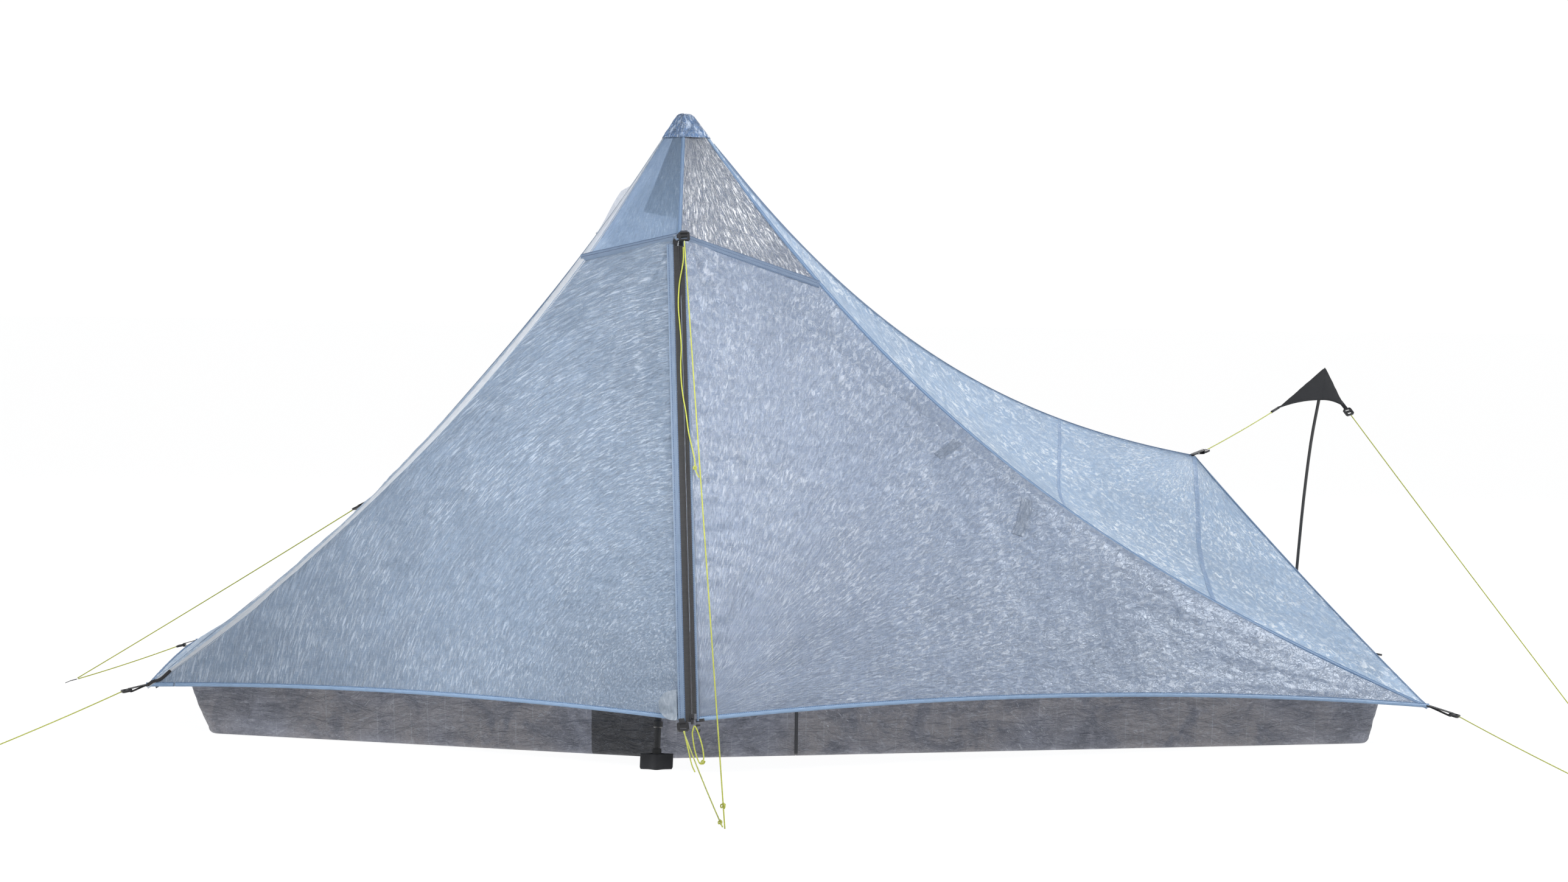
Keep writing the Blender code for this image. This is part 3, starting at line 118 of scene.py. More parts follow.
UP = at(0.0, 0.0, 1.0)
PEAK = at(-0.215, -0.148, 1.2165)
ZIP_TOP = at(-0.2207, -0.245, 0.9731)
ZIP_FOOT = at(-0.185, -0.547, 0.110)
FRONT_LEFT = at(-1.245, -0.016, 0.094)
FRONT_RIGHT = at(1.247, -0.018, 0.0755)
REAR_LEFT = at(-1.295, 0.800, 0.087)
REAR_RIGHT = at(1.300, 0.800, 0.090)
GUY_LEFT = at(-0.868, 0.550, 0.427)
GUY_RIGHT = at(0.871, 0.550, 0.536)
HEART = at(-0.1, 0.2, 0.45)
SEAM_LEFT_AT = 0.1856
SEAM_RIGHT_AT = 0.176
LEFT_HINGE_AT = 0.0547
RIGHT_HINGE_AT = 0.821
ROW_START = 0.020
VENT_LOW_AT = 0.18125
VENT_TOP_AT = 0.05212
REAR_SPLIT = 0.02 + 0.98 * 0.7**1.5

LOCK_LENGTH = 0.019
WEB_THICK = 0.0012
CORD = 0.0024
HEM_WIDTH = 0.0080


def hanging(
    start: Point, end: Point, sag: float, skew: float = 0.0, bow: Sequence[float] = (0.0, 0.0, 0.0)
) -> Curve:
    """Return a curve that hangs below its chord.

    Args:
        start: Its first point.
        end: Its last point.
        sag: Depth at mid-span.
        skew: Moves the lowest point towards the start.
        bow: Pushes the middle sideways.

    Returns:
        A function of one parameter from 0 to 1.
    """
    aside = np.asarray(bow, dtype=float)

    def curve(s: np.ndarray) -> np.ndarray:
        """Return the points at places along it.

        Args:
            s: Places from 0 to 1.

        Returns:
            Their points.
        """
        share = np.asarray(s, dtype=float)[..., None]
        arch = 4.0 * share * (1.0 - share)
        drop = sag * arch * (1.0 + skew * (0.5 - share))
        return start + (end - start) * share - UP * drop + aside * arch

    return curve


def straight(start: Point, end: Point) -> Curve:
    """Return the straight line from start to end."""
    return hanging(start, end, 0.0)


def stretch(curve: Curve, first: float, last: float) -> Curve:
    """Return the stretch of a curve between two of its parameters."""
    return lambda s: curve(first + (last - first) * np.asarray(s, dtype=float))


def joined(first: Curve, second: Curve, split: float) -> Curve:
    """Return two curves end to end, the first up to the parameter split.

    Args:
        first: The first curve.
        second: The curve after it.
        split: Where they meet, from 0 to 1.

    Returns:
        The whole curve.
    """

    def curve(s: np.ndarray) -> np.ndarray:
        """Return the points at places along it.

        Args:
            s: Places from 0 to 1.

        Returns:
            Their points.
        """
        share = np.asarray(s, dtype=float)
        early = first(np.minimum(share / split, 1.0))
        late = second(np.clip((share - split) / (1.0 - split), 0.0, 1.0))
        return np.where((share <= split)[..., None], early, late)

    return curve


def still(point: Point) -> Curve:
    """Return an edge that has shrunk to one point."""
    return lambda s: np.broadcast_to(point, np.asarray(s).shape + (3,))


RIDGE_FRONT_LEFT = hanging(PEAK, FRONT_LEFT, 0.112, 0.37, (0.0, -0.035, 0.0))
RIDGE_FRONT_RIGHT = hanging(PEAK, FRONT_RIGHT, 0.180, 0.7, (0.0, -0.055, 0.0))
RIDGE_GUY_LEFT = hanging(PEAK, GUY_LEFT, 0.033, 1.4)
RIDGE_GUY_RIGHT = hanging(PEAK, GUY_RIGHT, 0.154, 0.47)
EDGE_LEFT = hanging(GUY_LEFT, FRONT_LEFT, 0.003)
EDGE_RIGHT = hanging(GUY_RIGHT, FRONT_RIGHT, 0.009)
REAR_EDGE_LEFT = hanging(GUY_LEFT, REAR_LEFT, 0.018)
REAR_EDGE_RIGHT = hanging(GUY_RIGHT, REAR_RIGHT, 0.016)
HEM_LEFT = hanging(FRONT_LEFT, ZIP_FOOT, -0.018)
HEM_RIGHT = hanging(ZIP_FOOT, FRONT_RIGHT, -0.032)
HEM_END_LEFT = hanging(FRONT_LEFT, REAR_LEFT, -0.018, 0.0, (0.010, 0.0, 0.0))
HEM_END_RIGHT = hanging(FRONT_RIGHT, REAR_RIGHT, -0.026, 0.0, (-0.030, 0.0, 0.0))
HEM_REAR = hanging(REAR_LEFT, REAR_RIGHT, -0.030, 0.0, (0.0, -0.020, 0.0))
SEAM_LEFT = RIDGE_FRONT_LEFT(SEAM_LEFT_AT)
SEAM_RIGHT = RIDGE_FRONT_RIGHT(SEAM_RIGHT_AT)
LEFT_HINGE_FOOT = HEM_LEFT(LEFT_HINGE_AT)
RIGHT_HINGE_FOOT = HEM_RIGHT(RIGHT_HINGE_AT)
ZIP_LINE = unit(ZIP_FOOT - ZIP_TOP)
ZIP_LENGTH = float(np.linalg.norm(ZIP_FOOT - ZIP_TOP))
ZIP_SIDE = unit(at(1.0, 0.0, 0.0) - ZIP_LINE * ZIP_LINE[0])
ZIP_OUT = np.cross(ZIP_LINE, ZIP_SIDE)


def zip_point(along: float, side: float, out: float) -> Point:
    """Return a point given along, across and out of the zipper's line."""
    return ZIP_TOP + ZIP_LINE * along + ZIP_SIDE * side + ZIP_OUT * out


# Node trees


class Graph:
    """One material's node tree, built a node at a time."""

    def __init__(self, name: str) -> None:
        """Start an empty tree with its output.

        Args:
            name: The material's name.
        """
        self.material = bpy.data.materials.new(name)
        self.material.use_nodes = True
        self.tree = self.material.node_tree
        self.tree.nodes.clear()
        self.output = self.tree.nodes.new("ShaderNodeOutputMaterial")

    def node(self, kind: str, inputs: dict | None = None, **settings: object) -> bpy.types.Node:
        """Add a node.

        Args:
            kind: The node's type.
            inputs: Values or sockets by input name or index.
            settings: The node's own settings.

        Returns:
            The new node.
        """
        node = self.tree.nodes.new(kind)
        for key, value in settings.items():
            setattr(node, key, value)
        for key, value in (inputs or {}).items():
            if isinstance(value, Socket):
                self.tree.links.new(value, node.inputs[key])
            elif value is not None:
                socket = node.inputs[key]
                colour = socket.type == "RGBA" and len(value) == 3
                socket.default_value = (*value, 1.0) if colour else value
        return node

    def cut(self) -> Socket:
        """Return the place on the flat cut, in metres."""
        return self.node("ShaderNodeTexCoord").outputs["UV"]

    def flow(self) -> Socket:
        """Return the place across and along the cloth's folds, in metres."""
        return self.node("ShaderNodeUVMap", uv_map="flow").outputs["UV"]

    def place(self) -> Socket:
        """Return the place in space, in metres."""
        return self.node("ShaderNodeTexCoord").outputs["Object"]

    def noise(
        self, vector: Socket, scale: float, detail: float = 2.0, rough: float = 0.5, twist: float = 0.0
    ) -> Socket:
        """Return a noise's value.

        Args:
            vector: Where it is read.
            scale: Features per metre.
            detail: Octaves.
            rough: How much the fine octaves count.
            twist: Distortion.

        Returns:
            A value around one half.
        """
        inputs = {"Vector": vector, "Scale": scale, "Detail": detail, "Roughness": rough, "Distortion": twist}
        return self.node("ShaderNodeTexNoise", inputs).outputs[0]

    def strokes(
        self, vector: Socket, grain: tuple[float, float], detail: float, rough: float = 0.5, twist: float = 0.0,
        turn: float = 0.0,
    ) -> Socket:
        """Return a noise drawn out along one axis.

        Args:
            vector: Where it is read.
            grain: Features per metre along X and Y.
            detail: Octaves.
            rough: How much the fine octaves count.
            twist: Distortion.
            turn: Angle about Z that comes first.

        Returns:
            A value around one half.
        """
        if turn:
            vector = self.node("ShaderNodeMapping", {0: vector, 2: (0.0, 0.0, turn)}).outputs[0]
        drawn = self.node("ShaderNodeMapping", {0: vector, 3: (*grain, 1.0)}).outputs[0]
        return self.noise(drawn, 1.0, detail, rough, twist)

    def crease(self, value: Socket, width: float) -> Socket:
        """Return thin lines where a noise passes one half."""
        gap = self.maths("ABSOLUTE", self.maths("SUBTRACT", value, 0.5))
        return self.between(gap, 0.0, width, 1.0, 0.0)

    def wave(self, vector: Socket, scale: float, axis: str = "X", twist: float = 0.0) -> Socket:
        """Return a sine wave from 0 to 1 along an axis."""
        inputs = {"Vector": vector, "Scale": scale, "Distortion": twist, "Detail": 1.0}
        return self.node("ShaderNodeTexWave", inputs, bands_direction=axis).outputs["Fac"]

    def maths(self, kind: str, first: object, second: object = None, third: object = None) -> Socket:
        """Return a sum, product or other function of values."""
        return self.node("ShaderNodeMath", {0: first, 1: second, 2: third}, operation=kind).outputs[0]

    def times(self, *values: object) -> Socket:
        """Return a product."""
        return functools.reduce(functools.partial(self.maths, "MULTIPLY"), values)

    def plus(self, *values: object) -> Socket:
        """Return a sum."""
        return functools.reduce(functools.partial(self.maths, "ADD"), values)

    def mixed(self, *parts: tuple[Socket, float]) -> Socket:
        """Return heights added up, each with its weight."""
        return self.plus(*(self.times(height, weight) for height, weight in parts))

    def sine(self, value: Socket) -> Socket:
        """Return a sine."""
        return self.maths("SINE", value)

    def between(
        self, value: Socket, low: float, high: float, to_low: float = 0.0, to_high: float = 1.0
    ) -> Socket:
        """Return a value mapped smoothly from one range to another."""
        inputs = {0: value, 1: low, 2: high, 3: to_low, 4: to_high}
        return self.node("ShaderNodeMapRange", inputs, interpolation_type="SMOOTHSTEP").outputs[0]

    def tint(self, share: object, first: object, second: object) -> Socket:
        """Return a mix of two colours."""
        return self.node("ShaderNodeMix", {0: share, 6: first, 7: second}, data_type="RGBA").outputs[2]

    def axis(self, vector: Socket, name: str) -> Socket:
        """Return one component of a vector."""
        return self.node("ShaderNodeSeparateXYZ", {0: vector}).outputs[name]

    def relief(
        self, height: Socket, distance: float, strength: float = 1.0, normal: object = None
    ) -> Socket:
        """Return a bumped normal, distance being the height of one in metres."""
        inputs = {"Height": height, "Distance": distance, "Strength": strength, "Normal": normal}
        return self.node("ShaderNodeBump", inputs).outputs[0]

    def surface(self, **inputs: object) -> Socket:
        """Return a Principled shader from inputs named with underscores."""
        named = {key.replace("_", " "): value for key, value in inputs.items()}
        return self.node("ShaderNodeBsdfPrincipled", named).outputs[0]

    def blend(self, share: object, first: Socket, second: Socket) -> Socket:
        """Return a mix of two shaders."""
        return self.node("ShaderNodeMixShader", {0: share, 1: first, 2: second}).outputs[0]

    def sheer(
        self, film: Socket, lit: object, normal: Socket, glow: float, clear: object, gap: Colour = (1.0, 1.0, 1.0)
    ) -> Socket:
        """Let light come through a film.

        Args:
            film: The film's own shader.
            lit: Its colour with the light behind it.
            normal: Its bumped normal.
            glow: Share of the light that it scatters through.
            clear: Share that passes straight through.
            gap: Tint of what passes straight through.

        Returns:
            The cloth's shader.
        """
        through = self.node("ShaderNodeBsdfTranslucent", {"Color": lit, "Normal": normal}).outputs[0]
        hole = self.node("ShaderNodeBsdfTransparent", {"Color": gap}).outputs[0]
        return self.blend(clear, self.blend(glow, film, through), hole)

    def done(self, shader: Socket) -> bpy.types.Material:
        """Wire the shader to the output and return the material."""
        self.tree.links.new(shader, self.output.inputs["Surface"])
        return self.material


# Finishes


TURN = 2.0 * math.pi


def dim(colour: Colour, share: float) -> Colour:
    """Return a colour times a number."""
    return tuple(share * part for part in colour)


@dataclass(frozen=True)
class Finish(ABC):
    """A surface's colour, relief and shine."""

    name: str
    slot: str

    @abstractmethod
    def draw(self, graph: Graph) -> Socket:
        """Return the finish's shader."""

    @functools.lru_cache(maxsize=None)
    def material(self) -> bpy.types.Material:
        """Return the material, made once."""
        graph = Graph(self.name)
        return graph.done(self.draw(graph))


@dataclass(frozen=True)
class Laminate(Finish):
    """Translucent non-woven laminate with fibres and crumples; its crinkles carry painted highlights and painted shade,
    partly real whitened creases.
    """

    colour: Colour
    pale: Colour
    lit: Colour
    glow: float = 0.20
    clear: float = 0.030
    crumple: float = 1.0
    roughness: float = 0.34
    # Share of the painted highlight and whitened creases; dark is the share of the painted shade in the crinkles.
    highlight_and_whitening_share: float = 0.62
    dark: float = 0.45
    grain: tuple[float, float] = (270.0, 66.0)

    def folds(self, graph: Graph) -> tuple[Socket, ...]:
        """Return wide folds, fine strokes, crease lines and where they show.

        Args:
            graph: The material's nodes.

        Returns:
            The four values.
        """
        flow, place = graph.flow(), graph.place()
        fast, slow = self.grain
        wide = graph.strokes(flow, (0.34 * fast, 0.40 * slow), 3.0, 0.55, 0.9)
        fine = graph.strokes(flow, (fast, slow), 3.0, 0.62, 0.7)
        line = graph.crease(graph.strokes(flow, (0.52 * fast, 0.55 * slow), 4.0, 0.62, 1.8), 0.026)
        shown = graph.between(graph.noise(place, 9.0, 5.0, 0.65), 0.40, 0.60, 0.42, 1.0)
        return wide, fine, line, shown

    def paint(self, graph: Graph, marks: tuple[object, object, object]) -> Socket:
        """Return the cloth's colour.

        Args:
            graph: The material's graph.
            marks: Painted highlight with whitened creases, painted crinkle shade and grain at each place.

        Returns:
            The colour.
        """
        highlight_and_whitening, dark, grain = marks
        cloud = graph.between(graph.noise(graph.place(), 2.6, 4.0, 0.6, 0.6), 0.32, 0.68)
        base = graph.tint(cloud, self.colour, dim(self.colour, 0.82))
        # Painted shade in the crinkle troughs.
        base = graph.tint(dark, base, dim(self.colour, 0.60))
        base = graph.tint(graph.times(grain, 0.26), base, self.pale)
        # Painted highlight on the crinkle crests and creases, partly real crease whitening.
        return graph.tint(highlight_and_whitening, base, self.pale)

    def draw(self, graph: Graph) -> Socket:
        """Return the laminate's shader.

        Args:
            graph: The material's nodes.

        Returns:
            Its shader.
        """
        cut = graph.cut()
        wide, fine, line, shown = self.folds(graph)
        warp, weft = graph.strokes(cut, (900.0, 60.0), 1.0), graph.strokes(cut, (60.0, 900.0), 1.0)
        grain = graph.between(graph.maths("MAXIMUM", warp, weft), 0.50, 0.72)
        # Painted highlight where the fine strokes and creases rise, partly real crease whitening; painted shade where
        # they sink.
        highlight_and_whitening = graph.times(graph.maths("MAXIMUM", graph.between(fine, 0.52, 0.62), line), shown, self.highlight_and_whitening_share)
        dark = graph.times(graph.between(fine, 0.48, 0.38), self.dark)
        height = graph.mixed((wide, 0.38), (fine, 0.26), (line, 0.07), (grain, 0.015))
        normal = graph.relief(height, 0.0046 * self.crumple)
        rough = graph.between(highlight_and_whitening, 0.0, 1.0, self.roughness, self.roughness + 0.14)
        film = graph.surface(
            Base_Color=self.paint(graph, (highlight_and_whitening, dark, grain)), Roughness=rough, Normal=normal,
            Specular_IOR_Level=0.6, IOR=1.48, Sheen_Weight=0.05, Sheen_Roughness=0.5,
        )
        # The painted highlight also lightens the colour of the light passing through.
        lit = graph.tint(highlight_and_whitening, self.lit, self.pale)
        clear = graph.between(highlight_and_whitening, 0.0, 1.0, self.clear, self.clear * 0.45)
        return graph.sheer(film, lit, normal, self.glow, clear, (0.94, 0.97, 1.0))


@dataclass(frozen=True)
class Taped(Finish):
    """Doubled laminate with rows of stitches, for seams and hems."""

    colour: Colour
    thread: Colour
    rows: tuple[float, ...] = (0.0032,)
    clear: float = 0.04
    stitch: float = 0.0034

    def draw(self, graph: Graph) -> Socket:
        """Return the tape's shader.

        Args:
            graph: The material's nodes.

        Returns:
            Its shader.
        """
        cut = graph.cut()
        along, across = graph.axis(cut, "X"), graph.axis(cut, "Y")
        grain = graph.strokes(cut, (60.0, 900.0), 2.0, 0.6)
        pucker = graph.strokes(cut, (150.0, 60.0), 3.0, 0.6, 0.5)
        dash = graph.between(graph.sine(graph.times(along, TURN / self.stitch)), -0.5, -0.3)
        thread: object = 0.0
        for row in self.rows:
            gap = graph.maths("ABSOLUTE", graph.maths("SUBTRACT", graph.maths("ABSOLUTE", across), row))
            line = graph.times(graph.between(gap, 0.0004, 0.0007, 1.0, 0.0), dash)
            thread = graph.maths("MAXIMUM", thread, line)
        base = graph.tint(graph.between(grain, 0.35, 0.7), dim(self.colour, 0.82), self.colour)
        base = graph.tint(thread, base, self.thread)
        normal = graph.relief(graph.mixed((pucker, 0.8), (thread, -0.5)), 0.0010, 0.8)
        film = graph.surface(Base_Color=base, Roughness=0.42, Normal=normal, Specular_IOR_Level=0.5)
        return graph.sheer(film, base, normal, 0.30, self.clear)


@dataclass(frozen=True)
class FloorCloth(Finish):
    """Grey laminate of the tub, scuffed and slightly sheer."""

    colour: Colour
    pale: Colour
    clear: float = 0.10

    def draw(self, graph: Graph) -> Socket:
        """Return the floor laminate's shader.

        Args:
            graph: The material's nodes.

        Returns:
            Its shader.
        """
        cut, place = graph.cut(), graph.place()
        mottle = graph.noise(place, 13.0, 6.0, 0.66, 0.8)
        tone = graph.noise(place, 4.0, 2.0, 0.5)
        bent = graph.strokes(cut, (17.0, 44.0), 5.0, 0.62, 1.6)
        fine = graph.strokes(cut, (70.0, 150.0), 4.0, 0.6, 0.9)
        line = graph.crease(graph.strokes(cut, (20.0, 46.0), 3.0, 0.6, 1.6, 0.5), 0.014)
        weave = graph.strokes(cut, (850.0, 110.0), 1.0)
        where = graph.between(graph.noise(place, 3.1, 2.0, 0.5), 0.60, 0.68)
        scratch = graph.strokes(cut, (34.0, 260.0), 3.0, 0.7, 1.5, 0.9)
        scuff = graph.times(graph.between(scratch, 0.62, 0.70), where)
        drawn = graph.node("ShaderNodeMapping", {0: cut, 3: (1.0, 0.06, 1.0)}).outputs[0]
        rib = graph.between(graph.wave(drawn, 9.0, "X", 0.4), 0.990, 0.999)
        yarn = graph.times(rib, graph.between(mottle, 0.45, 0.60, 0.0, 0.5))
        warm = (self.colour[0] * 1.12, self.colour[1] * 1.02, self.colour[2] * 0.88)
        base = graph.tint(graph.between(tone, 0.4, 0.6), self.colour, warm)
        base = graph.tint(graph.between(mottle, 0.58, 0.36), base, dim(self.colour, 0.60))
        marks = (
            graph.times(graph.between(fine, 0.52, 0.66), 0.45), graph.times(line, 0.55),
            graph.times(graph.between(weave, 0.5, 0.7), 0.2), yarn,
        )
        for mark in marks:
            base = graph.tint(mark, base, self.pale)
        base = graph.tint(scuff, base, (0.66, 0.67, 0.70))
        normal = graph.relief(graph.mixed((bent, 0.9), (fine, 0.2), (line, 0.10), (weave, 0.01)), 0.0085)
        film = graph.surface(Base_Color=base, Roughness=0.42, Normal=normal, Specular_IOR_Level=0.55)
        return graph.sheer(film, base, normal, 0.20, self.clear, (0.86, 0.87, 0.9))


@dataclass(frozen=True)
class Mesh(Finish):
    """Fine dark netting, mostly open."""

    colour: Colour
    open_share: float = 0.55

    def draw(self, graph: Graph) -> Socket:
        """Return the netting's shader.

        Args:
            graph: The material's nodes.

        Returns:
            Its shader.
        """
        cut = graph.cut()
        yarns = graph.maths("MAXIMUM", graph.wave(cut, 260.0, "X"), graph.wave(cut, 260.0, "Y"))
        strand = graph.between(yarns, 0.62, 0.9)
        base = graph.tint(graph.noise(graph.place(), 12.0, 3.0), self.colour, dim(self.colour, 1.6))
        yarn = graph.surface(Base_Color=base, Roughness=0.75, Specular_IOR_Level=0.3, Sheen_Weight=0.3)
        hole = graph.node("ShaderNodeBsdfTransparent", {"Color": (1.0, 1.0, 1.0)}).outputs[0]
        share = graph.between(strand, 0.0, 1.0, min(self.open_share * 1.35, 1.0), self.open_share * 0.7)
        return graph.blend(share, yarn, hole)


@dataclass(frozen=True)
class Webbing(Finish):
    """Woven nylon tape."""

    colour: Colour
    rib: float = 0.0011

    def draw(self, graph: Graph) -> Socket:
        """Return the webbing's shader.

        Args:
            graph: The material's nodes.

        Returns:
            Its shader.
        """
        cut, place = graph.cut(), graph.place()
        turn = TURN / self.rib
        ribs = graph.sine(graph.times(graph.axis(cut, "X"), turn))
        cords = graph.sine(graph.times(graph.axis(cut, "Y"), turn * 0.8))
        fuzz = graph.noise(place, 900.0, 3.0, 0.6)
        base = graph.tint(fuzz, dim(self.colour, 0.6), dim(self.colour, 1.7))
        normal = graph.relief(graph.plus(graph.times(ribs, cords, 0.5), fuzz), 0.0003, 0.8)
        return graph.surface(
            Base_Color=base, Roughness=0.78, Normal=normal, Specular_IOR_Level=0.35, Sheen_Weight=0.25,
            Sheen_Roughness=0.45,
        )


@dataclass(frozen=True)
class Moulded(Finish):
    """Moulded nylon, rubber or enamelled metal."""

    colour: Colour
    roughness: float
    grain: float = 1400.0
    metallic: float = 0.0
    depth: float = 0.00008

    def draw(self, graph: Graph) -> Socket:
        """Return the moulding's shader.

        Args:
            graph: The material's nodes.

        Returns:
            Its shader.
        """
        place = graph.place()
        fine = graph.noise(place, self.grain, 2.0, 0.6)
        worn = graph.between(graph.noise(place, 160.0, 4.0, 0.7), 0.56, 0.75)
        pale = tuple(min(1.0, 1.9 * c + 0.01) for c in self.colour)
        base = graph.tint(graph.times(worn, 0.5), self.colour, pale)
        rough = graph.between(fine, 0.3, 0.7, self.roughness - 0.06, self.roughness + 0.10)
        return graph.surface(
            Base_Color=base, Roughness=rough, Metallic=self.metallic, Normal=graph.relief(fine, self.depth, 0.6),
            Specular_IOR_Level=0.5,
        )


@dataclass(frozen=True)
class Carbon(Finish):
    """Wound carbon tube under clear lacquer."""

    colour: Colour
    twill: float = 0.0024

    def draw(self, graph: Graph) -> Socket:
        """Return the tube's shader.

        Args:
            graph: The material's nodes.

        Returns:
            Its shader.
        """
        place = graph.place()
        height = graph.axis(place, "Z")
        side = graph.plus(graph.axis(place, "X"), graph.axis(place, "Y"))
        turn = TURN / self.twill
        lay = graph.sine(graph.times(graph.plus(height, side), turn))
        cross = graph.sine(graph.times(graph.maths("SUBTRACT", height, side), turn))
        tows = graph.between(graph.times(lay, cross), -0.3, 0.3)
        base = graph.tint(tows, dim(self.colour, 0.55), dim(self.colour, 1.6))
        rough = graph.between(graph.noise(place, 90.0, 4.0, 0.6), 0.35, 0.7, 0.26, 0.44)
        return graph.surface(
            Base_Color=base, Roughness=rough, Normal=graph.relief(tows, 0.00005, 0.5), Coat_Weight=0.5,
            Coat_Roughness=0.12,
        )


@dataclass(frozen=True)
class Braid(Finish):
    """Braided cord with a pale tracer."""

    colour: Colour
    tracer: Colour
    pitch: float = 0.0032

    def draw(self, graph: Graph) -> Socket:
        """Return the cord's shader.

        Args:
            graph: The material's nodes.

        Returns:
            Its shader.
        """
        cut = graph.cut()
        along = graph.times(graph.axis(cut, "X"), TURN / self.pitch)
        around = graph.times(graph.axis(cut, "Y"), TURN)
        left = graph.sine(graph.plus(along, graph.times(around, 3.0)))
        right = graph.sine(graph.maths("SUBTRACT", along, graph.times(around, 3.0)))
        strand = graph.between(graph.sine(graph.plus(along, around)), 0.82, 0.95)
        soil = graph.between(graph.noise(graph.place(), 70.0, 3.0, 0.6), 0.45, 0.75)
        base = graph.tint(graph.times(soil, 0.25), self.colour, dim(self.colour, 0.72))
        base = graph.tint(graph.times(strand, 0.7), base, self.tracer)
        normal = graph.relief(graph.times(left, right), 0.0003, 0.9)
        return graph.surface(
            Base_Color=base, Roughness=0.58, Normal=normal, Specular_IOR_Level=0.4, Sheen_Weight=0.35,
            Sheen_Roughness=0.4,
        )


@dataclass(frozen=True)
class ZipWeave(Finish):
    """Coated zipper tape with its herringbone and knitted edge."""

    colour: Colour
    coil: Colour
    pick: float = 0.0022
    rib: float = 0.0018

    def draw(self, graph: Graph) -> Socket:
        """Return the zipper's shader.

        Args:
            graph: The material's nodes.

        Returns:
            Its shader.
        """
        place = graph.place()
        height = graph.times(graph.axis(place, "Z"), TURN / self.pick)
        side = graph.times(graph.axis(place, "X"), TURN / self.rib)
        bone = graph.sine(graph.plus(height, graph.maths("ABSOLUTE", graph.sine(side))))
        fuzz = graph.noise(place, 700.0, 3.0, 0.6)
        base = graph.tint(graph.between(bone, -0.4, 0.6), self.colour, self.coil)
        base = graph.tint(graph.times(fuzz, 0.4), base, self.colour)
        return graph.surface(
            Base_Color=base, Roughness=0.55, Normal=graph.relief(bone, 0.0003, 0.7), Specular_IOR_Level=0.4,
            Sheen_Weight=0.15,
        )


